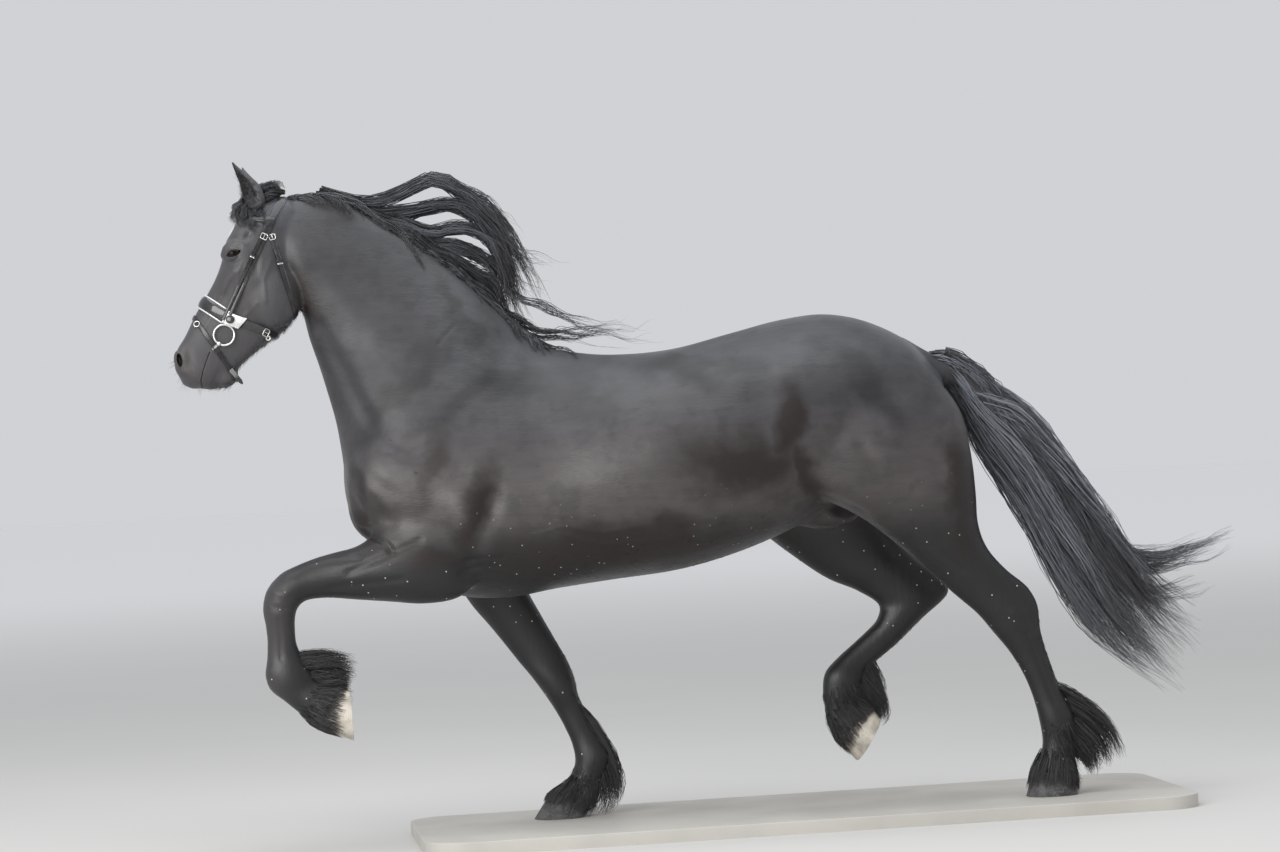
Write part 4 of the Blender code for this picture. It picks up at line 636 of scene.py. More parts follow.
def ear_cup(side, size, fore, hind, start, end, sides=24):
    """The loops of an ear's outside, or of its hollow, from its base to its tip."""
    base, tip = Vector(sided(EAR_BASE, side)), Vector(sided(EAR_TIPS[side], side))
    up = (tip - base).normalized()
    facing = math.radians(EAR_FACING)
    front = Vector((-math.cos(facing), side * math.sin(facing), 0))
    front = (front - front.dot(up) * up).normalized()
    across = up.cross(front)
    shares = np.linspace(start, end, 26)
    widths = np.interp(shares, EAR_SHARES, EAR_WIDTHS)
    loops = []
    for share, width in zip(shares, widths):
        at = base + (tip - base) * float(share)
        at -= front * EAR_BEND * math.sin(math.pi * share) ** 2
        loop = []
        for k in range(sides):
            c = math.cos(2 * math.pi * k / sides)
            s = math.sin(2 * math.pi * k / sides)
            deep = fore if s > 0 else hind
            loop.append(tuple(at + (across * c * size + front * s * deep) * float(width)))
        loops.append(loop)
    return skinned(loops)


def piece_of(name, points, faces):
    """A new piece from points and faces, its doubles merged and its faces turned out."""
    mesh = bpy.data.meshes.new(name)
    mesh.from_pydata([tuple(p) for p in points], [], [tuple(f) for f in faces])
    work = bmesh.new()
    work.from_mesh(mesh)
    bmesh.ops.remove_doubles(work, verts=work.verts, dist=1e-6)
    bmesh.ops.recalc_face_normals(work, faces=work.faces)
    work.to_mesh(mesh)
    work.free()
    return linked(name, mesh)


def joined(name, pieces):
    take(pieces[0])
    for other in pieces[1:]:
        other.select_set(True)
    bpy.ops.object.join()
    pieces[0].name = name
    return pieces[0]


def points_of(piece, what="co"):
    """The place of each of the piece's points, or its normal."""
    flat = np.empty(len(piece.data.vertices) * 3)
    piece.data.vertices.foreach_get(what, flat)
    return flat.reshape(-1, 3)


def normals_of(piece):
    return points_of(piece, "normal")


def surface_of(piece):
    """A piece at the origin as a surface that rays can hit."""
    faces = [list(face.vertices) for face in piece.data.polygons]
    return BVHTree.FromPolygons(points_of(piece).tolist(), faces)


def move_points(piece, points):
    piece.data.vertices.foreach_set("co", points.ravel())
    piece.data.update()


forms = [loft(TRUNK, 90, 64), loft(NECK, 60, 56)]
forms += [loft(HEAD, 80, 56, bulge=0.012), loft(DOCK, 24, 20, bulge=0.012)]
forms += [loft(leg, 110, 44, bulge=0.03) for leg in (NEAR_FORE, FAR_FORE, NEAR_HIND, FAR_HIND)]
forms += [egg(m, side) for m in PAIRED_MUSCLES for side in BOTH]
forms += [egg(m, 0) for m in MUSCLES]
forms += [ear_cup(side, 0.96, 0.35, 0.95, 0.0, 0.6) for side in BOTH]
skin = joined("skin", [piece_of("form", *form) for form in forms])
take(skin)
fuse = skin.modifiers.new("fuse", "REMESH")
fuse.mode = "VOXEL"
fuse.voxel_size = SKIN_VOXEL
apply_modifiers(skin)
print("fused skin:", faces_of(skin), "triangles")


# %% Soften, fold and thin out the skin
def blend(value, low, high):
    """0 below low, 1 above high, and a smooth rise between them."""
    t = np.clip((value - low) / (high - low), 0, 1)
    return t * t * (3 - 2 * t)


def weigh(piece, name, weights):
    group = piece.vertex_groups.new(name=name)
    levels = np.round(weights, 1)
    for level in np.unique(levels[levels > 0]):
        group.add(np.flatnonzero(levels == level).tolist(), float(level), "REPLACE")
    return group.name


def soften(piece, iterations, weights=None):
    smooth = piece.modifiers.new("soften", "SMOOTH")
    smooth.iterations = iterations
    smooth.factor = 0.5
    if weights is not None:
        smooth.vertex_group = weigh(piece, "soften", weights)
    apply_modifiers(piece)
    piece.vertex_groups.clear()


def distance_to_line(points, line):
    """How far each point of the side view is from a line of straight runs, and from the line's nearer end."""
    best, along, done = np.full(len(points), np.inf), np.zeros(len(points)), 0.0
    for start, end in zip(line, line[1:]):
        start, end = np.array(start), np.array(end)
        run = end - start
        length = np.linalg.norm(run)
        t = np.clip((points - start) @ run / length**2, 0, 1)
        away = np.linalg.norm(points - start - t[:, None] * run, axis=1)
        along = np.where(away < best, done + t * length, along)
        best = np.minimum(best, away)
        done += length
    return best, np.minimum(along, done - along), done


def breadth(points):
    """1 on the trunk, neck and thighs, 0 on the head and on the legs below the knee and hock."""
    height = points[:, 2] - GROUND
    return blend(height, 0.62, 0.8) * blend(points[:, 0], -1.46, -1.36) * blend(-points[:, 0], -0.6, -0.52)


def press(piece, folds):
    points, out = points_of(piece), normals_of(piece)
    seen = points[:, [0, 2]] - np.array([0, GROUND])
    push = np.zeros(len(points))
    for groove in folds:
        away, from_end, length = distance_to_line(seen, groove.line)
        depth = groove.depth * np.exp(-((away / groove.width) ** 2))
        depth *= blend(from_end, 0, min(0.45 * length, 2.5 * groove.width))
        for side in groove.sides:
            push += depth * blend(points[:, 1] * side, 0.02, 0.06) * blend(out[:, 1] * side, 0.1, 0.5)
    move_points(piece, points + out * push[:, None])


def on_head(points):
    return (points[:, 0] < -1.44) & (points[:, 2] > 1.35 + GROUND)


def on_shanks(points):
    return points[:, 2] < 0.655 + GROUND


def thin_out(piece, here, faces):
    """Fewer faces in the stretch where here is true, down to this many."""
    corners = np.empty(len(piece.data.polygons) * 3, np.int64)
    piece.data.polygons.foreach_get("vertices", corners)
    inside = here[corners.reshape(-1, 3)].all(axis=1)
    if np.count_nonzero(inside) <= faces:
        return
    thin = piece.modifiers.new("thin", "DECIMATE")
    thin.ratio = (faces + np.count_nonzero(~inside)) / len(inside)
    thin.vertex_group = weigh(piece, "thin", here.astype(float))
    apply_modifiers(piece)
    piece.vertex_groups.clear()


soften(skin, 10)
soften(skin, 110, breadth(points_of(skin)))
press(skin, FOLDS)
soften(skin, 3)
press(skin, FINE_FOLDS)
soften(skin, 1)
move_points(skin, points_of(skin) - normals_of(skin) * COAT_DEPTH)
skin.modifiers.new("triangles", "TRIANGULATE")
apply_modifiers(skin)
for stretch, faces in ((on_head, HEAD_FACES), (on_shanks, SHANK_FACES)):
    thin_out(skin, stretch(points_of(skin)), faces)
points = points_of(skin)
thin_out(skin, ~on_head(points) & ~on_shanks(points), TRUNK_FACES)
print("thinned skin:", faces_of(skin), "triangles")


# %% [markdown]
# ## Eyes, nostrils, mouth and ear hollows
#
# These are holes and slits with crisp edges, which a remesh would blur. So they are cut after it, by
# Booleans, with balls for the eye sockets, eggs for the nostrils and a thin block for the mouth.

# %% Cut the face's openings
EYE_MIDDLE = (-1.647, 0.0715, 1.784)
EYE_RADIUS = 0.024
EYE_SLIT = (0.0225, 0.0102)
EYE_TURN = 17
LID_THICKNESS = 0.003
NOSTRIL_MIDDLE = (-1.825, 0.038, 1.471)
NOSTRIL_HALF = (0.0115, 0.019, 0.025)
NOSTRIL_TURN = 8
NOSTRIL_RIM = 0.005
MOUTH = line_of(-1733, 1491, -1745, 1464, -1757, 1432, -1764, 1404, -1760, 1380, -1756, 1340)
MOUTH_SLIT = 0.0022
MOUTH_DEPTH = 0.005


def cut(piece, other, operation="DIFFERENCE"):
    """A Boolean with another closed piece, which is then removed."""
    tool = piece.modifiers.new("cut", "BOOLEAN")
    tool.operation = operation
    tool.solver = "MANIFOLD"
    tool.object = other
    apply_modifiers(piece)
    bpy.data.objects.remove(other, do_unlink=True)


def block(outline, low, high):
    """A block whose side view is the outline, from y = low to y = high."""
    count = len(outline)
    points = [(x, y, z + GROUND) for y in (low, high) for x, z in outline]
    faces = [tuple(range(count)), tuple(range(count, 2 * count))]
    faces += [(k, (k + 1) % count, count + (k + 1) % count, count + k) for k in range(count)]
    return piece_of("block", points, faces)


def almond(side, count=36):
    """A block in the shape of the opening between the lids."""
    outline = []
    for k in range(count):
        angle = 2 * math.pi * k / count
        x = EYE_SLIT[0] * math.cos(angle)
        z = EYE_SLIT[1] * math.sin(angle) * (1 - 0.35 * math.cos(angle) ** 2)
        x, z = turned(x, z, math.radians(EYE_TURN))
        outline.append((EYE_MIDDLE[0] + x, EYE_MIDDLE[2] + z))
    ends = sorted((side * EYE_MIDDLE[1], side * (EYE_MIDDLE[1] + 0.05)))
    return block(outline, *ends)


for side in BOTH:
    socket = Muscle(EYE_MIDDLE, (EYE_RADIUS + LID_THICKNESS,) * 3, 0)
    cut(skin, piece_of("lids", *egg(socket, side, 24, 36)), "UNION")
    cut(skin, almond(side))
    cut(skin, piece_of("socket", *egg(Muscle(EYE_MIDDLE, (EYE_RADIUS + 0.0004,) * 3, 0), side, 24, 36)))
    width, depth, height = NOSTRIL_HALF
    rim = Muscle(NOSTRIL_MIDDLE, (width + NOSTRIL_RIM, depth, height + NOSTRIL_RIM), NOSTRIL_TURN)
    cut(skin, piece_of("rim", *egg(rim, side, 20, 28)), "UNION")
    hole = Muscle(NOSTRIL_MIDDLE, (width, depth + NOSTRIL_RIM, height), NOSTRIL_TURN)
    cut(skin, piece_of("hole", *egg(hole, side, 20, 28)))
    cut(skin, piece_of("ear", *ear_cup(side, 1.0, 0.38, 0.98, 0.05, 1.0, 40)), "UNION")
    cut(skin, piece_of("hollow", *ear_cup(side, 0.86, 1.3, 0.84, 0.24, 0.99, 40)))


def ribbon(line, width):
    """The outline of a band of this width along a line of the side view."""
    rims = ([], [])
    for before, at, after in zip(line[:1] + line, line, line[1:] + line[-1:]):
        run = np.subtract(after, before)
        across = np.array([-run[1], run[0]]) / np.linalg.norm(run) * width / 2
        rims[0].append(tuple(at + across))
        rims[1].append(tuple(at - across))
    return rims[0] + rims[1][::-1]


lips = surface_of(skin)
slit = []
for x, z in MOUTH:
    hit = lips.ray_cast(Vector((x, -0.3, z + GROUND)), Vector((0, 1, 0)))
    slit.append(-hit[0].y if hit[0] else 0.0)
for side in BOTH:
    tool = block(ribbon(MOUTH, MOUTH_SLIT), -0.5, 0.5)
    half = len(tool.data.vertices) // 2
    for index, vertex in enumerate(tool.data.vertices):
        along = index % half
        deep = slit[min(along, half - 1 - along)] - MOUTH_DEPTH
        vertex.co.y = side * (max(deep, 0.0) if index < half else 0.3)
    work = bmesh.new()
    work.from_mesh(tool.data)
    bmesh.ops.triangulate(work, faces=work.faces)
    bmesh.ops.recalc_face_normals(work, faces=work.faces)
    work.to_mesh(tool.data)
    work.free()
    cut(skin, tool)
print("skin with its openings:", faces_of(skin), "triangles")

# %% Unwrap the skin, so that the coat's pieces can share its map
UNWRAP_ANGLE = math.radians(66)
UNWRAP_MARGIN = 0.001

skin.data.uv_layers.new(name="OFBake")
take(skin)
bpy.ops.object.mode_set(mode="EDIT")
bpy.ops.mesh.select_all(action="SELECT")
bpy.ops.uv.smart_project(angle_limit=UNWRAP_ANGLE, island_margin=UNWRAP_MARGIN)
bpy.ops.object.mode_set(mode="OBJECT")
skin.data.shade_smooth()
loop_uvs = np.empty(len(skin.data.loops) * 2)
skin.data.uv_layers["OFBake"].data.foreach_get("uv", loop_uvs)
loop_verts = np.empty(len(skin.data.loops), np.int64)
skin.data.loops.foreach_get("vertex_index", loop_verts)
skin_uv = np.zeros((len(skin.data.vertices), 2))
skin_uv[loop_verts] = loop_uvs.reshape(-1, 2)
skin_points, skin_normals = points_of(skin), normals_of(skin)
skin_tree = KDTree(len(skin_points))
for index, point in enumerate(skin_points):
    skin_tree.insert(point, index)
skin_tree.balance()
skin_surface = surface_of(skin)
print("unwrapped skin:", len(skin_points), "points")

# %% [markdown]
# ## Finishes
#
# Black hair is never one colour, and here its colour also carries painted light. The coat is painted
# lighter where it is lit, with a painted blue-grey sheen where it lies flat to the sky, and it has dark
# patches of painted shade, some of them reddish brown like the coat's own hair in the flank and girth.
# Shared effects are node groups that put out only masks and heights. The shaders themselves stay in
# each material.

# %% Building blocks for node groups
def group_of(name, inputs, outputs):
    """A node group with named inputs and outputs; each is (name, socket type, default)."""
    group = bpy.data.node_groups.new(name, "ShaderNodeTree")
    for label, kind, default in inputs:
        socket = group.interface.new_socket(label, in_out="INPUT", socket_type=kind)
        if default is not None:
            socket.default_value = default
    for label, kind in outputs:
        group.interface.new_socket(label, in_out="OUTPUT", socket_type=kind)
    group.nodes.new("NodeGroupInput").name = "in"
    group.nodes.new("NodeGroupOutput").name = "out"
    return group


def feed(tree, socket, value):
    """Links a socket to another node's, or sets its value."""
    if isinstance(value, bpy.types.NodeSocket):
        tree.links.new(value, socket)
    else:
        socket.default_value = value


def add(tree, kind, values=None, **settings):
    """A node with its settings and with values for its sockets; a value may be another node's socket."""
    node = tree.nodes.new(kind)
    for key, value in settings.items():
        setattr(node, key, value)
    for key, value in (values or {}).items():
        feed(tree, node.inputs[key], value)
    return node


def maths(tree, operation, first, second=0.0, clamp=False):
    return add(tree, "ShaderNodeMath", {0: first, 1: second}, operation=operation, use_clamp=clamp).outputs[0]


def times(tree, first, second):
    return maths(tree, "MULTIPLY", first, second)


def vector_maths(tree, operation, values):
    node = add(tree, "ShaderNodeVectorMath", values, operation=operation)
    return node.outputs["Value" if operation in ("LENGTH", "DISTANCE") else "Vector"]


def mixed(tree, share, first, second):
    """The first colour, which goes over to the second as the share rises from 0 to 1."""
    node = add(tree, "ShaderNodeMix", {0: share}, data_type="RGBA")
    for key, value in ((6, first), (7, second)):
        feed(tree, node.inputs[key], value if isinstance(value, bpy.types.NodeSocket) else (*value, 1.0))
    return node.outputs[2]


def ranged(tree, value, low, high, out_low=0.0, out_high=1.0):
    values = {0: value, 1: low, 2: high, 3: out_low, 4: out_high}
    return add(tree, "ShaderNodeMapRange", values, interpolation_type="SMOOTHSTEP").outputs[0]


def object_coords(tree):
    return tree.nodes.new("ShaderNodeTexCoord").outputs["Object"]


def axis_of(tree, coords, axis):
    return add(tree, "ShaderNodeSeparateXYZ", {0: coords}).outputs[axis]


def attribute(tree, name):
    return add(tree, "ShaderNodeAttribute", attribute_name=name).outputs["Fac"]


def noise(tree, coords, scale, detail, output="Fac"):
    values = {"Vector": coords, "Scale": scale, "Detail": detail}
    return add(tree, "ShaderNodeTexNoise", values).outputs[output]


def streaks(tree, coords, scale, stretch):
    """Noise drawn out along the axes of the stretch, for hair that lies one way."""
    mapped = add(tree, "ShaderNodeMapping", {"Vector": coords, "Scale": stretch}).outputs[0]
    return noise(tree, mapped, scale, 3.0)


def egg_distance(tree, coords, middle, half, turn):
    """How far out a place is in an egg turned in the side view: 0 in its middle and 1 on its edge."""
    values = {"Vector": coords, "Location": middle, "Rotation": (0, -turn, 0), "Scale": half}
    mapped = add(tree, "ShaderNodeMapping", values, vector_type="TEXTURE").outputs[0]
    return vector_maths(tree, "LENGTH", {0: mapped})


def material_of(name):
    material = bpy.data.materials.new(name)
    material.use_nodes = True
    tree = material.node_tree
    return material, tree, tree.nodes["Principled BSDF"]


def plug(tree, node, **sockets):
    """Sets or links the node's sockets; an underscore in a key stands for a space."""
    for key, value in sockets.items():
        feed(tree, node.inputs[key.replace("_", " ")], value)


def use(tree, group, **sockets):
    node = add(tree, "ShaderNodeGroup", node_tree=group)
    plug(tree, node, **sockets)
    return node


def bump(tree, height, strength, distance, under=None):
    values = {"Height": height, "Strength": strength, "Distance": distance}
    if under is not None:
        values["Normal"] = under
    return add(tree, "ShaderNodeBump", values).outputs[0]


# %% Node group: patches of the coat
# A row is a long patch on both sides, in millimetres: its two ends as x and height, and its half width.
# Reddish dark patches, partly the coat's own brown hair and partly painted shade: on the arm and chest, the
# flank, hip and buttock, along the lower barrel and behind the jaw.
REDDISH_SHADE_PATCHES = (
    (-912, 1137, -1031, 862, 52),
    (-1069, 1194, -1135, 1069, 48),
    (-1238, 891, -1055, 833, 45),
    (-1328, 1014, -1290, 930, 36),
    (-10, 1330, -17, 1150, 58),
    (-276, 1122, -37, 1085, 104),
    (10, 1142, 90, 1017, 48),
    (511, 1132, 517, 841, 60),
    (-860, 870, -168, 885, 90),
    (-1455, 1735, -1420, 1610, 36),
)
# Painted shade in dark patches: the chest's edge, behind the elbow, the groove in front of the shoulder, the
# withers, back and croup, behind the cheek, under the mane, the gaskin and the belly.
PAINTED_SHADE_PATCHES = (
    (-1325, 1183, -1318, 1077, 34),
    (-1046, 838, -887, 826, 36),
    (-1015, 1546, -1296, 1239, 46),
    (-931, 1419, -764, 1385, 70),
    (-415, 1402, -140, 1400, 45),
    (228, 1369, 299, 1237, 65),
    (-1480, 1770, -1405, 1590, 58),
    (-1050, 1700, -850, 1490, 30),
    (330, 760, 500, 620, 60),
    (-150, 860, 200, 800, 60),
)


def patch_group(name, patches):
    """A mask with soft, broken edges: 1 in the middle of a patch and 0 outside all of them."""
    group = group_of(name, [("Coordinates", "NodeSocketVector", None)], [("Mask", "NodeSocketFloat")])
    coords = group.nodes["in"].outputs[0]
    uneven = times(group, maths(group, "SUBTRACT", noise(group, coords, 9.0, 5.0), 0.5), 0.9)
    bend = vector_maths(group, "SUBTRACT", {0: noise(group, coords, 6.5, 3.0, "Color"), 1: (0.5, 0.5, 0.5)})
    bend = vector_maths(group, "SCALE", {0: bend, "Scale": 0.2})
    coords = vector_maths(group, "ADD", {0: coords, 1: bend})
    total = None
    for row in patches:
        x0, z0, x1, z1, half = (value / MILLIMETRES for value in row)
        middle, turn = ((x0 + x1) / 2, 0, (z0 + z1) / 2), math.atan2(z1 - z0, x1 - x0)
        size = (math.hypot(x1 - x0, z1 - z0) / 2 + half, 100.0, half)
        away = egg_distance(group, coords, middle, size, turn)
        spot = ranged(group, maths(group, "ADD", away, uneven), 1.35, 0.3)
        total = spot if total is None else maths(group, "MAXIMUM", total, spot)
    group.links.new(total, group.nodes["out"].inputs[0])
    return group


def short_hair_group():
    """Height of short hair: it lies backwards on the trunk and neck, and down on the legs."""
    outputs = [("Height", "NodeSocketFloat"), ("Clumps", "NodeSocketFloat")]
    group = group_of("short hair", [("Coordinates", "NodeSocketVector", None)], outputs)
    coords = group.nodes["in"].outputs[0]
    low = ranged(group, axis_of(group, coords, "Z"), 0.95, 0.7)
    front = ranged(group, axis_of(group, coords, "X"), -1.42, -1.52)
    down = maths(group, "MAXIMUM", low, front, clamp=True)
    for scale, socket in zip((260.0, 55.0), group.nodes["out"].inputs[:2]):
        back = streaks(group, coords, scale, (0.16, 1.0, 0.85))
        upright = streaks(group, coords, scale, (1.0, 1.0, 0.16))
        both = add(group, "ShaderNodeMix", {0: down, 2: back, 3: upright}, data_type="FLOAT")
        group.links.new(both.outputs[0], socket)
    return group


def sand_group():
    """A mask of single grains of sand, only where the arena throws them up."""
    inputs = [("Coordinates", "NodeSocketVector", None), ("Amount", "NodeSocketFloat", 1.0)]
    group = group_of("sand grains", inputs, [("Mask", "NodeSocketFloat")])
    coords, amount = group.nodes["in"].outputs[:2]
    cells = add(group, "ShaderNodeTexVoronoi", {"Vector": coords, "Scale": 60.0})
    grain = ranged(group, cells.outputs["Distance"], 0.17, 0.1)
    pick = add(group, "ShaderNodeSeparateColor", {0: cells.outputs["Color"]}).outputs[0]
    chosen = maths(group, "GREATER_THAN", pick, 0.86)
    low = ranged(group, axis_of(group, coords, "Z"), 1.12, 0.72)
    mask = times(group, times(group, grain, chosen), times(group, low, amount))
    group.links.new(mask, group.nodes["out"].inputs[0])
    return group


reddish_shade_places = patch_group("reddish shade places", REDDISH_SHADE_PATCHES)
painted_shade_places = patch_group("painted shade places", PAINTED_SHADE_PATCHES)
short_hair = short_hair_group()
sand_grains = sand_group()


# %% The coat
# The first two colours are the coat where light falls on it: a painted sheen, far paler than black hair. The
# next is the deepest black, used both for the coat's own dark mottling and as painted shade, and the one
# after it is the reddish brown of patches that are partly painted shade.
LIT_LOW, LIT_HIGH = (0.06, 0.0505, 0.051), (0.041, 0.0406, 0.0455)
SHADED = (0.0058, 0.0054, 0.0062)
RUSTY_SHADE = (0.008, 0.0026, 0.002)
PINKISH = (0.085, 0.066, 0.06)
WHITE_HAIR = (0.62, 0.6, 0.56)
BLEACHED = (0.046, 0.036, 0.031)
BROWNISH = (0.078, 0.072, 0.074)
PASTERNS = ((-1.455, -0.16, 0.545), (-0.64, 0.14, 0.19), (0.865, -0.144, 0.19), (0.245, 0.153, 0.355))
LIFTED_ARM = ((-1.42, -0.16, 0.88), (0.3, 0.2, 0.13), 0)
CALLUS = (0.4, 0.37, 0.33)
SAND = (0.55, 0.49, 0.4)
STAR = ((-1.656, -0.012, 1.896), (0.03, 0.042, 0.022), 56)
CALLUSES = (((-0.738, 0.075, 0.588), 62), ((-1.38, -0.075, 0.8), 0), ((0.56, -0.06, 0.64), 40))
CALLUS_SIZE = (0.026, 0.03, 0.0135)


def mask_near(tree, coords, middle, radius, soft=0.35):
    away = vector_maths(tree, "DISTANCE", {0: coords, 1: middle})
    return ranged(tree, away, radius, radius * (1 - soft))


def egg_mask(tree, coords, middle, half, turn, edge=0.8):
    """1 inside an egg-shaped space with these half sizes, turned in the side view."""
    return ranged(tree, egg_distance(tree, coords, middle, half, math.radians(turn)), 1.0, edge)


def coat_material():
    """The coat as layers of colour, each laid over the ones before it by its own mask."""
    material, tree, shader = material_of("black coat")
    coords = object_coords(tree)
    high = axis_of(tree, coords, "Z")
    height, clumps = use(tree, short_hair, Coordinates=coords).outputs[:2]
    red, dark = (use(tree, group, Coordinates=coords).outputs[0] for group in (reddish_shade_places, painted_shade_places))
    grains = use(tree, sand_grains, Coordinates=coords, Amount=0.9).outputs[0]
    cloud, mottle = noise(tree, coords, 5.0, 5.0), noise(tree, coords, 16.0, 5.0)
    # The legs below the barrel and the raised forearm are darkened: painted shade.
    low = maths(tree, "MAXIMUM", ranged(tree, high, 1.0, 0.85), egg_mask(tree, coords, *LIFTED_ARM, 0.7))
    head = ranged(tree, axis_of(tree, coords, "X"), -1.5, -1.6)
    # Round each pastern the coat is darkened as painted shade.
    pasterns = [mask_near(tree, coords, middle, 0.17, 0.6) for middle in PASTERNS]
    noses = [(NOSTRIL_MIDDLE[0] + 0.004, side * 0.05, NOSTRIL_MIDDLE[2] + GROUND) for side in BOTH]
    # The cloud, mottle and clumps layers are the coat's own uneven black. The dark patches are painted shade,
    # and the reddish ones are painted shade tinted like the coat's own brown.
    layers = (
        (ranged(tree, cloud, 0.42, 0.7, 0.0, 0.36), SHADED),
        (ranged(tree, mottle, 0.48, 0.68, 0.0, 0.3), SHADED),
        (ranged(tree, clumps, 0.4, 0.7, 0.0, 0.15), SHADED),
        (times(tree, low, 0.94), SHADED),
        (times(tree, head, 0.45), BROWNISH),
        (times(tree, dark, 0.7), SHADED),
        (times(tree, red, 0.97), RUSTY_SHADE),
        *((times(tree, mask, 0.75), SHADED) for mask in pasterns),
        *((times(tree, mask_near(tree, coords, middle, 0.045), 0.3), PINKISH) for middle in noses),
        (egg_mask(tree, coords, *STAR), WHITE_HAIR),
        *((egg_mask(tree, coords, middle, CALLUS_SIZE, turn), CALLUS) for middle, turn in CALLUSES),
        (grains, SAND),
    )
    # The lit base colour is a painted sheen: lighter and warmer low down, and bluer on the top line as a
    # painted reflection of the sky.
    base = mixed(tree, ranged(tree, high, 1.05, 1.4), LIT_LOW, LIT_HIGH)
    for share, colour in layers:
        base = mixed(tree, share, base, colour)
    rough = ranged(tree, cloud, 0.35, 0.65, 0.4, 0.54)
    rough = maths(tree, "ADD", rough, times(tree, grains, 0.4), clamp=True)
    fine = bump(tree, height, 0.35, 0.0015, bump(tree, clumps, 0.25, 0.004))
    plug(tree, shader, Base_Color=base, Roughness=rough, Normal=fine)
    plug(tree, shader, Sheen_Weight=0.04, Sheen_Roughness=0.5, Sheen_Tint=(0.88, 0.92, 1.0, 1.0))
    plug(tree, shader, Specular_IOR_Level=0.5)
    return material


def long_hair_material(name, dark, light, roughness):
    """Long hair reads its own attributes: tone differs from strand to strand, along runs root to tip."""
    material, tree, shader = material_of(name)
    tone, along = attribute(tree, "tone"), attribute(tree, "along")
    # The light tone stands partly for the hair's own lighter strands and partly for painted sheen.
    base = mixed(tree, ranged(tree, tone, 0.1, 0.95), dark, light)
    base = mixed(tree, times(tree, ranged(tree, along, 0.55, 1.0), 0.35), base, BLEACHED)
    # Towards its roots the hair is darkened as painted shade.
    base = mixed(tree, times(tree, ranged(tree, along, 0.22, 0.02), 0.8), base, SHADED)
    glint = noise(tree, object_coords(tree), 320.0, 2.0)
    rough = ranged(tree, tone, 0.0, 1.0, roughness - 0.06, roughness + 0.08)
    plug(tree, shader, Base_Color=base, Roughness=rough, Normal=bump(tree, glint, 0.25, 0.0006))
    plug(tree, shader, Specular_IOR_Level=0.6)
    return material


coat_finish = coat_material()
# The light tones of the long hair, bluish grey on mane and tail, are partly painted sheen.
mane_finish = long_hair_material("mane hair", (0.013, 0.013, 0.0155), (0.085, 0.088, 0.102), 0.42)
tail_finish = long_hair_material("tail hair", (0.048, 0.049, 0.056), (0.25, 0.262, 0.3), 0.45)
feather_finish = long_hair_material("feather hair", (0.011, 0.0105, 0.011), (0.052, 0.05, 0.05), 0.5)
wear(skin, coat_finish)
legs = [f"{leg}_{side}" for leg in ("foreleg", "hindleg") for side in ("near", "far")]
leg_nodes = [f"{leg}_{part}" for leg in legs for part in ("upper", "lower")]
place(skin, "coat", "torso", "neck", "head", "ear_near", "ear_far", *leg_nodes)

# %% [markdown]
# ## Long hair in locks
#
# A Friesian's mane, tail, forelock and feather are masses of fine hair that hang together in locks. Each
# mass is laid between a fore and a hind edge. Clumps run through it along their lie, and each clump is
# filled with thin, three-sided strands that close up towards its tip. It is all mesh, since particle
# hair would be lost when the model is saved.

# %% Clumps along their lie
HAIR_ROWS = 121
CLUMP_STEPS = 20
CLUMP_WAVES = 3.0
CLUMP_SIZE = 0.75


def row_at(rows, t):
    """The row at the share t of a table whose rows stand at even steps, and beyond its end in line."""
    place_in = t * (len(rows) - 1)
    before = np.clip(place_in.astype(int), 0, len(rows) - 2)
    return rows[before] + (rows[before + 1] - rows[before]) * (place_in - before)[:, None]


def clumps_of(hair, rng, density, fill, scatter=0.12, late=(-0.1, 0.06)):
    """Paths of clumps, with a width and a thickness each; density multiplies the counts of the lies.

    As many more clumps as fill says run anywhere between the two edges.
    """
    rows = smooth_rows(hair.sections, HAIR_ROWS)
    clumps = []
    lies = [(lie, max(1, round(lie.count * density)), False) for lie in hair.lies]
    lies += [(hair.lies[k % len(hair.lies)], 1, True) for k in range(fill)]
    for lie, count, anywhere in lies:
        together = rng.uniform(0, 2 * math.pi)
        for _ in range(count):
            start = lie.roots[0] + (lie.roots[1] - lie.roots[0]) * rng.uniform(0, 1)
            end = rng.uniform(*lie.ends) + rng.uniform(*late)
            lies_at = rng.uniform(0, 1) if anywhere else lie.lie + rng.uniform(-scatter, scatter)
            across = rng.uniform(-1, 1) if anywhere else rng.uniform(*lie.across) * 1.05
            phase = together + rng.uniform(-1.1, 1.1)
            along = np.linspace(0, 1, CLUMP_STEPS)
            t = start + (end - start) * along
            row = row_at(rows, t)
            settled = lies_at + (lie.rise - lies_at) * np.exp(-3 * ((t - start) / lie.settle) ** 2)
            swing = lie.wave * np.sin(CLUMP_WAVES * 2 * math.pi * t + phase) * np.minimum(1, along * 4)
            small = 0.35 * lie.wave * np.sin(2.3 * CLUMP_WAVES * 2 * math.pi * t + 2 * phase)
            x = row[:, 0] + (row[:, 2] - row[:, 0]) * settled
            z = row[:, 1] + (row[:, 3] - row[:, 1]) * settled + swing + small + GROUND
            y = row[:, 5] + row[:, 4] * across * np.minimum(1, 0.35 + 2 * along) + swing * math.cos(phase)
            clumps.append((np.stack([x, y, z], axis=1), lie.width * CLUMP_SIZE, lie.thick * CLUMP_SIZE * 1.3))
    return clumps


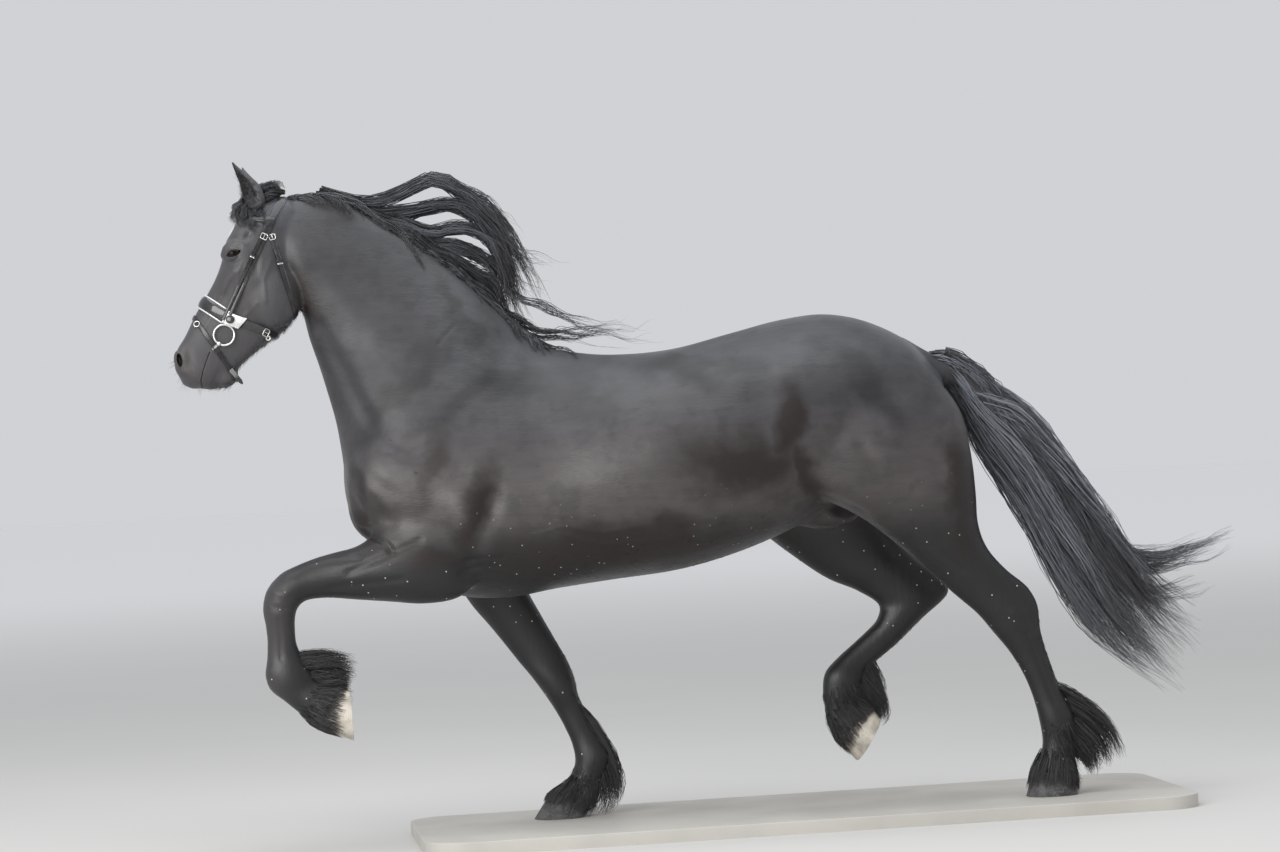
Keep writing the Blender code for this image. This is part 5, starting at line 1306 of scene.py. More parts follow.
def bundle(points, rng, count, spread, thick, wave, length, width, begin=(0, 0.05), ends=(0.86, 1.0)):
    """Clumps that run together along a path of (x, y, height).

    They spread in the side view as the pairs (share of the path, half width) say, and swing in waves.
    """
    points = np.array(points, float)
    at = lengths_along(points)
    together = rng.uniform(0, 2 * math.pi)
    clumps = []
    for _ in range(count):
        share = np.linspace(rng.uniform(*begin), rng.uniform(*ends), CLUMP_STEPS)
        path = read_curve(points, at, share * at[-1]) + np.array([0, 0, GROUND])
        run = np.gradient(path, axis=0)
        flat = unit(np.stack([-run[:, 2], 0 * run[:, 0], run[:, 0]], axis=1))
        half = np.interp(share, *zip(*spread))
        side, deep = rng.uniform(-1, 1), rng.uniform(-1, 1)
        turn = 2 * math.pi * share * at[-1] / length * rng.uniform(0.85, 1.2)
        turn = turn + together + rng.uniform(-0.9, 0.9)
        swing = wave * np.sin(turn) * np.minimum(1, 5 * (share - share[0]))
        path += flat * (side * half + swing)[:, None]
        path[:, 1] += deep * thick * np.minimum(1, 0.4 + 2 * share) + 0.6 * wave * np.cos(turn)
        clumps.append((path, width, width * 0.55))
    return clumps


def keep_out(clumps, room=0.004):
    """Clumps that would run inside the skin are laid on it."""
    for path, _, _ in clumps:
        for k, point in enumerate(path):
            near, out, _, _ = skin_surface.find_nearest(Vector(point))
            if (Vector(point) - near).dot(out) < room:
                path[k] = near + out * room
    return clumps


# %% Strands that fill the clumps
STRAND_TIP = 0.12
PATCH_WIDTH, PATCH_LENGTH = 0.0012, 0.003


def across_of(path):
    """Two unit vectors across a path at each of its points."""
    run = unit(np.gradient(path, axis=0))
    flat = unit(np.cross(run, np.array([0.0, 1.0, 0.0])))
    return flat, np.cross(run, flat)


def strands_of(clumps, rng, per_clump, width, gather=0.75, frizz=0.0028, ragged=0.12, steps=None):
    """The strands of all clumps as arrays: (strand, step, corner, 3), and each strand's tone."""
    chance = np.random.default_rng(rng.randrange(1 << 30))
    grids, tones = [], []
    for path, clump_width, clump_thick in clumps:
        if steps:
            pick = np.linspace(0, len(path) - 1, steps)
            path = np.stack([np.interp(pick, np.arange(len(path)), path[:, i]) for i in range(3)], axis=1)
        count, length = per_clump, len(path)
        flat, out = across_of(path)
        share = np.linspace(0, 1, length)
        around = chance.uniform(0, 2 * math.pi, count)
        far = np.sqrt(chance.uniform(0, 1, count))
        swell = np.minimum(1, 0.55 + 3 * share) * (1 - gather * share**1.6)
        a = (far * np.cos(around))[:, None] * swell * clump_width / 2
        b = (far * np.sin(around))[:, None] * swell * clump_thick / 2
        phase = chance.uniform(0, 2 * math.pi, (count, 2))
        waves = chance.uniform(1.5, 4.5, (count, 2))
        fly = frizz * (0.4 + 1.6 * share) * np.minimum(1, share * 5)
        a = a + fly * np.sin(waves[:, :1] * 2 * math.pi * share + phase[:, :1])
        b = b + fly * np.sin(waves[:, 1:] * 2 * math.pi * share + phase[:, 1:])
        centre = path + a[:, :, None] * flat + b[:, :, None] * out
        cut_at = 1 - ragged * chance.uniform(0, 1, count) ** 1.5
        reach = share[None, :] * cut_at[:, None] * (length - 1)
        low = np.clip(reach.astype(int), 0, length - 2)
        part = (reach - low)[:, :, None]
        rows_in = np.arange(count)[:, None]
        centre = centre[rows_in, low] * (1 - part) + centre[rows_in, low + 1] * part
        turn = chance.uniform(-0.9, 0.9, count)[:, None, None]
        wide = np.cos(turn) * flat + np.sin(turn) * out
        high = np.cos(turn) * out - np.sin(turn) * flat
        size = width * chance.uniform(0.7, 1.3, count)[:, None] * np.minimum(1, 0.6 + 4 * share)
        size = (size * (STRAND_TIP + (1 - STRAND_TIP) * (1 - share**2.2)))[:, :, None]
        wide, high = wide * size, high * size * 0.8
        grids.append(np.stack([centre + wide, centre + high, centre - wide], axis=2))
        tones.append(np.clip(chance.normal(0.45, 0.2) + chance.normal(0, 0.18, count), 0, 1))
    return np.concatenate(grids), np.concatenate(tones)


def strand_piece(name, slot, material, nodes, *parts):
    """One finished piece from batches of strands, with its attributes and its share of the skin's map."""
    points, corners, totals, tones, alongs, uvs = [], [], [], [], [], []
    first = 0
    for grid, tone in parts:
        count, length = grid.shape[:2]
        index = first + np.arange(count * length * 3).reshape(count, length, 3)
        low, high = index[:, :-1], index[:, 1:]
        ahead = [1, 2, 0]
        quads = np.stack([low, low[:, :, ahead], high[:, :, ahead], high], axis=3).reshape(-1, 4)
        caps = np.concatenate([index[:, 0, ::-1], index[:, -1]]).reshape(-1, 3)
        corners += [quads.ravel(), caps.ravel()]
        totals += [np.full(len(quads), 4), np.full(len(caps), 3)]
        points.append(grid.reshape(-1, 3))
        tones.append(np.repeat(tone, length * 3))
        share = np.broadcast_to(np.linspace(0, 1, length)[None, :, None], index.shape)
        alongs.append(share.reshape(-1))
        roots = np.array([skin_uv[skin_tree.find(root)[1]] for root in grid[:, 0].mean(axis=1)])
        wide, long = (np.arange(3) - 1)[None, None, :] * PATCH_WIDTH, (share - 0.5) * PATCH_LENGTH
        patch = np.stack(np.broadcast_arrays(wide, long), axis=-1)
        uvs.append((roots[:, None, None, :] + patch).reshape(-1, 2))
        first += count * length * 3
    points, corners, totals = np.concatenate(points), np.concatenate(corners), np.concatenate(totals)
    mesh = bpy.data.meshes.new(name)
    mesh.vertices.add(len(points))
    mesh.vertices.foreach_set("co", points.ravel())
    mesh.loops.add(len(corners))
    mesh.loops.foreach_set("vertex_index", corners)
    mesh.polygons.add(len(totals))
    mesh.polygons.foreach_set("loop_start", np.concatenate([[0], np.cumsum(totals)[:-1]]))
    for label, values in (("tone", tones), ("along", alongs)):
        mesh.attributes.new(label, "FLOAT", "POINT").data.foreach_set("value", np.concatenate(values))
    mesh.uv_layers.new(name="OFBake").data.foreach_set("uv", np.concatenate(uvs)[corners].ravel())
    mesh.update(calc_edges=True)
    mesh.validate()
    mesh.shade_smooth()
    piece = linked(name, mesh)
    wear(piece, material)
    place(piece, slot, *nodes)


def crest_at(x):
    """The height of the skin's upper edge at this x, above the hooves' plane."""
    return skin_surface.ray_cast(Vector((x, 0, 3)), Vector((0, 0, -1)))[0].z - GROUND


# %% Mane: streams of locks that the trot lifts off the crest
STREAMS = (
    (
        line_of(
            -1405, 1940, -1370, 1972, -1300, 1940, -1199, 1922, -1119, 1957, -1008, 1990,
            -947, 1956, -871, 1893, -819, 1836, -784, 1748, -742, 1651, -722, 1548,
        ),
        20,
        ((0, 0.004), (0.3, 0.012), (0.55, 0.016), (0.8, 0.03), (1, 0.045)),
    ),
    (
        line_of(
            -1370, 1930, -1330, 1952, -1239, 1908, -1146, 1886, -1059, 1906, -965, 1912,
            -888, 1874, -837, 1797, -802, 1717, -783, 1614, -756, 1534,
        ),
        18,
        ((0, 0.004), (0.3, 0.014), (0.5, 0.012), (0.8, 0.026), (1, 0.04)),
    ),
    (
        line_of(
            -1320, 1945, -1239, 1900, -1124, 1858, -1032, 1826, -921, 1841, -860, 1806,
            -816, 1734, -805, 1647, -779, 1551,
        ),
        16,
        ((0, 0.004), (0.35, 0.014), (0.6, 0.016), (1, 0.036)),
    ),
    (
        line_of(
            -1230, 1898, -1124, 1842, -1064, 1800, -965, 1781, -885, 1748, -834, 1695,
            -811, 1615, -787, 1530,
        ),
        13,
        ((0, 0.004), (0.4, 0.013), (0.6, 0.016), (1, 0.032)),
    ),
    (
        line_of(
            -1120, 1838, -1042, 1776, -974, 1733, -912, 1703, -859, 1660, -828, 1577,
            -770, 1511,
        ),
        13,
        ((0, 0.016), (0.5, 0.015), (1, 0.03)),
    ),
    (
        line_of(-1010, 1740, -931, 1655, -871, 1600, -815, 1552, -750, 1510, -700, 1490),
        13,
        ((0, 0.018), (0.6, 0.018), (1, 0.026)),
    ),
)
STREAM_DRIFT = ((0.0, 0.01), (0.35, 0.05), (0.7, 0.072), (1.0, 0.085))
FLYAWAYS = lines_of(
    (-850, 1690, -760, 1600, -698, 1580, -583, 1520, -472, 1506, -359, 1534, -300, 1545),
    (-850, 1600, -760, 1520, -655, 1492, -536, 1505, -418, 1482, -291, 1470),
    (-830, 1570, -720, 1505, -600, 1488, -480, 1470, -370, 1462),
    (-950, 1930, -850, 1830, -753, 1738, -676, 1703, -614, 1685, -550, 1672),
    (-930, 1880, -840, 1770, -780, 1690, -720, 1640, -650, 1620),
    (-1000, 1985, -920, 1950, -850, 1900, -790, 1820, -760, 1740),
)


def drifting(path):
    """A path of (x, height) with its y, which goes over to the far side along it."""
    share = np.linspace(0, 1, len(path))
    return [(x, float(y), z) for (x, z), y in zip(path, np.interp(share, *zip(*STREAM_DRIFT)))]


rng = random.Random("mane")
stream_clumps = []
for path, count, spread in STREAMS:
    points = drifting(path)
    stream_clumps += bundle(points, rng, count, spread, 0.03, 0.007, 0.17, 0.026, (0, 0.24), (0.8, 1.02))
fly_clumps = []
fly_spread = ((0, 0.01), (0.5, 0.018), (1, 0.035))
for path in FLYAWAYS:
    points = [(x, 0.06 - 0.03 * k / len(path), z) for k, (x, z) in enumerate(path)]
    fly_clumps += bundle(points, rng, 9, fly_spread, 0.018, 0.006, 0.15, 0.01, (0, 0.2), (0.5, 1.0))
strand_piece(
    "mane_streams",
    "long_hair",
    mane_finish,
    ("mane",),
    strands_of(keep_out(stream_clumps), rng, 17, 0.0014, gather=0.6, ragged=0.24, steps=14),
    strands_of(keep_out(fly_clumps, 0.006), rng, 4, 0.0009, gather=0.3, ragged=0.5),
)

# %% Mane: the hair that lies along the crest
CREST_FROM, CREST_TO = -1.48, -0.76


def crest_clumps(count, sides, lengths, lift, drop, far):
    """Short locks rooted along the crest: they rise a little, run back along it and fall to one side."""
    clumps = []
    for k in range(count):
        x = CREST_FROM + (CREST_TO - CREST_FROM) * (k + rng.uniform(0, 1)) / count
        z = crest_at(x)
        run = np.array([0.06, 0.0, crest_at(x + 0.06) - z])
        run /= np.linalg.norm(run)
        side = rng.choice(sides)
        length = rng.uniform(*lengths)
        share = np.linspace(0, 1, CLUMP_STEPS)[:, None]
        up = np.array([-run[2], 0, run[0]])
        root = np.array([x, rng.uniform(-0.01, 0.012), z + GROUND - 0.004])
        path = root + run * length * share + up * (lift * 4 * share * (1 - share) - drop * share**2 * length)
        path[:, 1] += (side * far * share**1.3)[:, 0] + 0.004 * np.sin(9 * share[:, 0] + 6 * k)
        clumps.append((path, 0.024, 0.011))
    return clumps


def root_x(clump):
    return clump[0][0][0]


rng = random.Random("crest")
crest = crest_clumps(100, (1, 1, 1, 1, -0.12), (0.12, 0.26), 0.02, 0.32, 0.09)
crest = [c for c in crest if root_x(c) > -1.4]
crest += crest_clumps(16, (1, 0.4, -0.4), (0.07, 0.12), 0.008, 0.1, 0.02)
near_crest = crest_clumps(60, (-1,), (0.06, 0.12), 0.012, 0.4, 0.05)
near_crest = [c for c in near_crest if not -1.335 <= root_x(c) <= -0.86]
poll_hair = crest_clumps(320, (-1, -0.4, 0.4, 1), (0.03, 0.055), 0.006, 0.2, 0.03)
poll_hair = [c for c in poll_hair if root_x(c) < -1.385]
strand_piece(
    "mane_crest",
    "long_hair",
    mane_finish,
    ("mane",),
    strands_of(keep_out(crest), rng, 12, 0.0016, steps=12, ragged=0.2),
    strands_of(keep_out(near_crest), rng, 12, 0.0013, steps=9, ragged=0.2),
    strands_of(keep_out(poll_hair, 0.001), rng, 12, 0.0008, gather=0.3, frizz=0.001, steps=6, ragged=0.4),
)

# %% Tail
rng = random.Random("tail")
tail_clumps = clumps_of(TAIL, rng, 3.2, 50, scatter=0.16, late=(-0.16, 0.05))
TAIL_ADDED = lines_of(
    (700, 1150, 850, 960, 985, 770, 1110, 610, 1215, 500, 1300, 440),
    (720, 1200, 865, 1000, 990, 815, 1090, 690, 1180, 600, 1265, 545),
    (650, 1100, 790, 890, 930, 700, 1060, 540, 1150, 420, 1225, 335),
)
added_spread = ((0, 0.02), (0.5, 0.035), (1, 0.045))
for path in TAIL_ADDED:
    points = [(x, rng.uniform(-0.02, 0.02), z) for x, z in path]
    tail_clumps += bundle(points, rng, 10, added_spread, 0.06, 0.006, 0.19, 0.04, (0, 0.2), (0.8, 1.02))
DOCK_HAIR = lines_of(
    (452, 1362, 520, 1362, 590, 1322, 660, 1235, 715, 1130),
    (462, 1376, 530, 1376, 605, 1335, 690, 1240, 760, 1140),
    (480, 1330, 520, 1310, 560, 1255, 600, 1170, 650, 1080),
    (470, 1350, 525, 1338, 575, 1285, 635, 1190, 690, 1095),
)
for path in DOCK_HAIR:
    points = [(x, 0.0, z) for x, z in path]
    spread = ((0, 0.012), (1, 0.03))
    tail_clumps += bundle(points, rng, 9, spread, 0.044, 0.004, 0.2, 0.03, (0, 0.25), (0.75, 1.02))
half = len(tail_clumps) // 2
rng.shuffle(tail_clumps)
for name, clumps in (("tail_hair_a", tail_clumps[:half]), ("tail_hair_b", tail_clumps[half:])):
    strands = strands_of(clumps, rng, 17, 0.0015, gather=0.45, frizz=0.0045, ragged=0.25, steps=14)
    strand_piece(name, "long_hair", tail_finish, ("tail", "tail_wisps"), strands)
TAIL_BLOWN = lines_of(
    (790, 980, 900, 850, 990, 760, 1090, 722, 1200, 716, 1320, 745, 1450, 790),
    (830, 930, 930, 800, 1020, 715, 1110, 680, 1220, 680, 1330, 705, 1420, 745),
    (870, 840, 970, 700, 1060, 625, 1150, 590, 1250, 592, 1350, 625),
)
blown = []
for path in TAIL_BLOWN:
    points = [(x, 0.03 - 0.02 * k / len(path), z) for k, (x, z) in enumerate(path)]
    spread = ((0, 0.02), (0.4, 0.022), (0.7, 0.024), (1, 0.034))
    blown += bundle(points, rng, 13, spread, 0.03, 0.006, 0.16, 0.02, (0, 0.25), (0.62, 1.02))
wisps = strands_of(blown, rng, 15, 0.0011, gather=0.3, ragged=0.4, steps=14)
strand_piece("tail_blown", "long_hair", tail_finish, ("tail_wisps",), wisps)

# %% Forelock and the tuft at the poll
rng = random.Random("forelock")
forelock_clumps = clumps_of(FORELOCK, rng, 4.0, 10)
POLL = lines_of(
    (-1580, 1965, -1555, 1985, -1520, 1992, -1492, 1978),
    (-1560, 1960, -1535, 1988, -1505, 1990, -1482, 1970),
    (-1550, 1955, -1570, 1975, -1600, 1955, -1630, 1915),
)
for path in POLL:
    points = [(x, 0.0, z) for x, z in path]
    forelock_clumps += bundle(points, rng, 6, ((0, 0.008), (1, 0.012)), 0.03, 0.003, 0.08, 0.016)
SIDE_LOCKS = lines_of(
    (-1600, 1948, -1628, 1922, -1640, 1895, -1634, 1872),
    (-1588, 1940, -1612, 1912, -1616, 1880, -1602, 1856),
    (-1578, 1932, -1596, 1902, -1594, 1872, -1576, 1850),
    (-1570, 1924, -1580, 1898, -1572, 1874, -1556, 1858),
    (-1566, 1930, -1562, 1900, -1548, 1870, -1530, 1846),
    (-1580, 1936, -1590, 1896, -1588, 1862, -1574, 1836),
)
side_clumps = []
for side, count in ((NEAR, 8), (FAR, 5)):
    for path in SIDE_LOCKS:
        points = [(x, side * (0.035 + 0.016 * k), z) for k, (x, z) in enumerate(path)]
        spread = ((0, 0.008), (1, 0.014))
        side_clumps += bundle(points, rng, count, spread, 0.01, 0.005, 0.045, 0.012, (0, 0.1), (0.7, 1.02))
strand_piece(
    "forelock_hair",
    "long_hair",
    mane_finish,
    ("forelock",),
    strands_of(keep_out(forelock_clumps), rng, 12, 0.0011, steps=12),
    strands_of(keep_out(side_clumps, 0.003), rng, 10, 0.0008, gather=0.6, frizz=0.0012, ragged=0.3, steps=10),
)

# %% Feather on each lower leg
# For each leg its y, then the lines of the hair's roots, bends and tips in the side view, in millimetres.
FEATHER_LINES = {
    "foreleg_near_lower": (
        -160,
        (-1513, 567, -1496, 539, -1468, 510, -1434, 478, -1399, 449),
        (-1434, 577, -1421, 543, -1408, 509, -1394, 482, -1384, 454),
        (-1360, 558, -1344, 530, -1348, 497, -1365, 471, -1376, 432),
    ),
    "foreleg_far_lower": (
        140,
        (-640, 335, -624, 278, -621, 218, -630, 172, -651, 127, -684, 98),
        (-540, 175, -525, 109, -569, 91, -607, 71, -643, 52, -693, 46),
        (-548, 43, -570, 4, -602, 3, -640, 3, -677, 3, -705, 5),
    ),
    "hindleg_near_lower": (
        -144,
        (830, 326, 852, 278, 863, 237, 861, 194, 855, 157, 848, 133),
        (940, 263, 953, 213, 938, 165, 914, 138, 900, 99, 874, 95),
        (1011, 117, 991, 90, 955, 80, 927, 85, 899, 37, 889, 81),
    ),
    "hindleg_far_lower": (
        153,
        (272, 446, 262, 395, 255, 350, 240, 326, 220, 319, 200, 314),
        (312, 372, 322, 305, 309, 272, 287, 277, 256, 295, 228, 297),
        (319, 282, 308, 239, 284, 221, 269, 241, 258, 264, 239, 277),
    ),
}
FEATHER_CLUMPS = 70
FEATHER_HALF = 0.036
FEATHER_ROOT = 0.03


def place_on(line, share):
    """The place at this share of a line."""
    at = min(1, max(0, share)) * (len(line) - 1)
    return np.array([np.interp(at, range(len(line)), line[:, i]) for i in (0, 1)])


def swept(y, roots, bends, tips, rng):
    """Clumps that leave the leg along a line of roots and pass a line of bends to a line of tips."""
    clumps = []
    lines = [np.array(line_of(*line)) for line in (roots, bends, tips)]
    lines[0] = lines[0] + unit(lines[0] - lines[1]) * FEATHER_ROOT
    for k in range(FEATHER_CLUMPS):
        share = (k + rng.uniform(0, 1)) / FEATHER_CLUMPS
        across = rng.uniform(-1, 1)
        jitters = (0, rng.uniform(-0.03, 0.03), rng.uniform(-0.07, 0.07))
        a, b, c = (place_on(line, share + jitter) for line, jitter in zip(lines, jitters))
        t = np.linspace(0, rng.uniform(0.76, 1.06), CLUMP_STEPS)[:, None]
        flatter = rng.uniform(0, 0.6) ** 1.2
        b = b * (1 - flatter) + (a + c) / 2 * flatter
        flat = (1 - t) ** 2 * a + 2 * t * (1 - t) * (2 * b - (a + c) / 2) + t**2 * c
        swing = 0.0025 * np.sin(7 * t[:, 0] + rng.uniform(0, 6.3)) * t[:, 0]
        wide = FEATHER_HALF * across * (0.45 + 0.75 * t[:, 0] - 0.35 * t[:, 0] ** 2)
        path = np.stack([flat[:, 0] + swing, y / MILLIMETRES + wide, flat[:, 1] + swing + GROUND], axis=1)
        path[:, 2] = np.maximum(path[:, 2], FLOOR_TOP + 0.003)
        clumps.append((path, 0.028, 0.013))
    return clumps


for leg, lines in FEATHER_LINES.items():
    rng = random.Random(leg)
    strands = strands_of(swept(*lines, rng), rng, 15, 0.001, gather=0.35, frizz=0.003, steps=10, ragged=0.5)
    strand_piece("feather_" + leg.removesuffix("_lower"), "coat", feather_finish, (leg,), strands)

# %% [markdown]
# ## The bridle
#
# A strap under tension lies on the head's high places and bridges its hollows. So the head is cut by the
# strap's plane, by rays, and the taut line is the cut's convex outline. Every strap, cord, keeper and
# buckle of the bridle is then set out by its angle round the head, where 0 is the strap's fore point.

# %% The taut line of a strap
STRAP_ANGLES = 360
STRAP_FAR = 0.4
STRAP_LIFT = 0.0012
FREE_RADIUS = 0.02
HEAD_CLOSE = 0.012

solid_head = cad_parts["head"]
head_surface = BVHTree.FromPolygons(
    [tuple(solid_head.matrix_world @ v.co) for v in solid_head.data.vertices],
    [list(face.vertices) for face in solid_head.data.polygons],
)


def hull_radii(angles, radii):
    """Radii of the convex outline round points that are given by angle and radius."""
    points = np.stack([radii * np.cos(angles), radii * np.sin(angles)], axis=1)
    order = np.lexsort((points[:, 1], points[:, 0]))
    hull = []
    for sweep in (order, order[::-1]):
        chain = []
        for k in sweep:
            while len(chain) > 1:
                a, b = points[chain[-2]], points[chain[-1]]
                if (b[0] - a[0]) * (points[k][1] - a[1]) - (b[1] - a[1]) * (points[k][0] - a[0]) > 0:
                    break
                chain.pop()
            chain.append(k)
        hull += chain[:-1]
    hull = np.array(sorted(set(hull)))
    around = np.concatenate([angles[hull], [angles[hull[0]] + 2 * math.pi]])
    size = np.concatenate([radii[hull], [radii[hull[0]]]])
    at = np.where(angles < around[0], angles + 2 * math.pi, angles)
    index = np.clip(np.searchsorted(around, at, side="right") - 1, 0, len(hull) - 1)
    first, last, near, far = around[index], around[index + 1], size[index], size[index + 1]
    return near * far * np.sin(last - first) / (near * np.sin(at - first) + far * np.sin(last - at))


class Strap:
    """A plane round the head, on which bands, cords and fittings are placed."""

    def __init__(self, fore, hind, width, droop=0.0):
        fore, hind = Vector((fore[0], 0, fore[1] + GROUND)), Vector((hind[0], 0, hind[1] + GROUND))
        self.middle, self.out = (fore + hind) / 2, (fore - hind).normalized()
        self.across = self.out.cross(Vector((0, 1, 0)))
        self.width, self.droop = width, droop
        self.angles = np.linspace(0, 2 * math.pi, STRAP_ANGLES, endpoint=False)
        low, mid, high = (self.cut(u) for u in (-0.5, 0.0, 0.5))
        self.low, self.high = low, high
        self.swell = np.maximum(0, mid - (low + high) / 2)

    def ray(self, angle):
        return self.out * math.cos(angle) + Vector((0, 1, 0)) * math.sin(angle)

    def shift(self, angle, u):
        return self.across * (self.width * u - self.droop * max(0.0, -math.cos(angle)) ** 2)

    def cut(self, u):
        """The taut outline at u across: the skin's, but the solid head's where an ear is in the way."""
        radii = []
        for angle in self.angles:
            ray = self.ray(angle)
            start = self.middle + self.shift(angle, u) + ray * STRAP_FAR
            hits = [surface.ray_cast(start, -ray, STRAP_FAR) for surface in (skin_surface, head_surface)]
            skin_radius, head_radius = (STRAP_FAR - hit[3] if hit[0] else FREE_RADIUS for hit in hits)
            radii.append(skin_radius if abs(skin_radius - head_radius) < HEAD_CLOSE else head_radius)
        return hull_radii(self.angles, np.array(radii))

    def at(self, degrees, u=0.0, v=0.0):
        """The place at this angle, at u across the strap's width (-0.5 to 0.5) and v above the skin."""
        angle = math.radians(degrees) % (2 * math.pi)
        tables = (self.low, self.high, self.swell)
        low, high, swell = (np.interp(angle, self.angles, table, period=2 * math.pi) for table in tables)
        radius = low + (high - low) * (u + 0.5) + swell + STRAP_LIFT + v
        return self.middle + self.shift(angle, u) + self.ray(angle) * float(radius)

    def turns(self, start, end, step=0.004):
        """Angles from start to end, set at even steps along the strap."""
        fine = np.linspace(start, end, 200)
        places = np.array([self.at(a) for a in fine])
        at = lengths_along(places)
        return np.interp(np.linspace(0, at[-1], max(3, round(at[-1] / step))), at, fine)

    def axes(self, degrees):
        run = (self.at(degrees + 0.8) - self.at(degrees - 0.8)).normalized()
        across = (self.across - self.across.dot(run) * run).normalized()
        out = run.cross(across)
        if out.dot(self.ray(math.radians(degrees))) < 0:
            out = -out
        return run, across, out


FLAT = ((-0.5, 0.15), (-0.485, 0.75), (-0.45, 0.97), (-0.4, 0.86), (-0.37, 0.97), (0.0, 1.0))
PADDED = ((-0.5, 0.2), (-0.48, 0.42), (-0.42, 0.62), (-0.32, 0.82), (-0.18, 0.95), (0.0, 1.0))


def outline_of(profile):
    """The whole cross-section of a band from its upper near half: its top, then its flat underside."""
    top = list(profile) + [(-u, v) for u, v in profile[-2::-1]]
    return top + [(0.44, 0.0), (0.15, 0.0), (-0.15, 0.0), (-0.44, 0.0)]


def band(strap, start, end, thick, profile=FLAT, size=1.0, centre=0.0, above=0.0, closed=False):
    """A band round part of the head, its width size times the strap's."""
    section = outline_of(profile)
    loops = [
        [tuple(strap.at(a, centre + u * size, above + v * thick)) for u, v in section]
        for a in strap.turns(start, end)
    ]
    return hooped(loops[:-1]) if closed else skinned(loops)


def mirrored(strap, start, end, *shape):
    """The same band on both sides of the head."""
    return [band(strap, side * start, side * end, *shape) for side in BOTH]


def hooped(loops):
    """Loops of as many points each, joined in turn and the last one to the first."""
    sides, count = len(loops[0]), len(loops)
    points = [p for loop in loops for p in loop]
    faces = []
    for i in range(count):
        j = (i + 1) % count
        for a in range(sides):
            b = (a + 1) % sides
            faces.append((sides * i + a, sides * i + b, sides * j + b, sides * j + a))
    return points, faces


def circle(middle, first, second, radius, count=32):
    """Points round a circle in the plane of two directions."""
    turns = (2 * math.pi * k / count for k in range(count))
    return [middle + (first * math.cos(a) + second * math.sin(a)) * radius for a in turns]


def tube(path, radius, sides=10, closed=False):
    """A round wire along a path of points."""
    path = [Vector(p) for p in path]
    loops, count = [], len(path)
    guide = None
    for k, point in enumerate(path):
        before = path[k - 1] if k or closed else path[0]
        after = path[(k + 1) % count] if closed or k < count - 1 else path[-1]
        run = (after - before).normalized()
        if guide is None:
            guide = run.orthogonal()
        guide = (guide - guide.dot(run) * run).normalized()
        loops.append(circle(point, guide, run.cross(guide), radius, sides))
    return hooped(loops) if closed else skinned(loops)


def cord(strap, start, end, u, v, radius):
    return tube([strap.at(a, u, v) for a in strap.turns(start, end)], radius)


def buckle(strap, degrees, along, wide, wire, height):
    """A rounded square frame round the strap at this angle, with a prong, as shapes to be joined."""
    run, across, out = strap.axes(degrees)
    middle = strap.at(degrees, 0, height)
    frame_path = []
    for k in range(40):
        a = 2 * math.pi * k / 40
        c, s = math.cos(a), math.sin(a)
        x, y = math.copysign(abs(c) ** 0.4, c) * along, math.copysign(abs(s) ** 0.4, s) * wide
        frame_path.append(middle + run * x + across * y)
    prong = [middle - run * along, middle + out * wire, middle + run * along]
    return [tube(frame_path, wire, closed=True), tube(prong, wire * 0.8)]


def fitting(name, slot, material, node, shapes):
    """One piece from several closed shapes."""
    piece = take(joined(name, [piece_of("shape", *shape) for shape in shapes]))
    bpy.ops.object.shade_smooth_by_angle(angle=math.radians(40))
    wear(piece, material)
    place(piece, slot, node)


# %% Leather and metal
def leather_material(name, gloss, gloss_roughness):
    material, tree, shader = material_of(name)
    coords = object_coords(tree)
    grain = add(tree, "ShaderNodeTexVoronoi", {"Vector": coords, "Scale": 900.0}).outputs["Distance"]
    cloud = noise(tree, coords, 45.0, 4.0)
    base = mixed(tree, ranged(tree, cloud, 0.35, 0.7), (0.006, 0.006, 0.0065), (0.02, 0.019, 0.02))
    rough = ranged(tree, cloud, 0.3, 0.7, 0.2, 0.36)
    plug(tree, shader, Base_Color=base, Roughness=rough, Normal=bump(tree, grain, 0.25, 0.0004))
    plug(tree, shader, Coat_Weight=gloss, Coat_Roughness=gloss_roughness)
    return material


def silver_material(name, colour, metallic, roughness):
    material, tree, shader = material_of(name)
    worn = noise(tree, object_coords(tree), 120.0, 5.0)
    base = mixed(tree, ranged(tree, worn, 0.42, 0.72), colour, tuple(c * 0.72 for c in colour))
    rough = ranged(tree, worn, 0.3, 0.7, roughness, roughness + 0.14)
    plug(tree, shader, Base_Color=base, Roughness=rough, Metallic=metallic)
    plug(tree, shader, Normal=bump(tree, worn, 0.08, 0.0004))
    return material


leather = leather_material("black bridle leather", 0.4, 0.16)
silver = silver_material("silver fittings", (0.82, 0.81, 0.79), 1.0, 0.16)
plate_silver = silver_material("brushed silver plate", (0.72, 0.72, 0.71), 0.9, 0.3)
patent = leather_material("patent leather", 0.9, 0.07)
piping = silver_material("pale piping", (0.74, 0.75, 0.77), 0.35, 0.26)

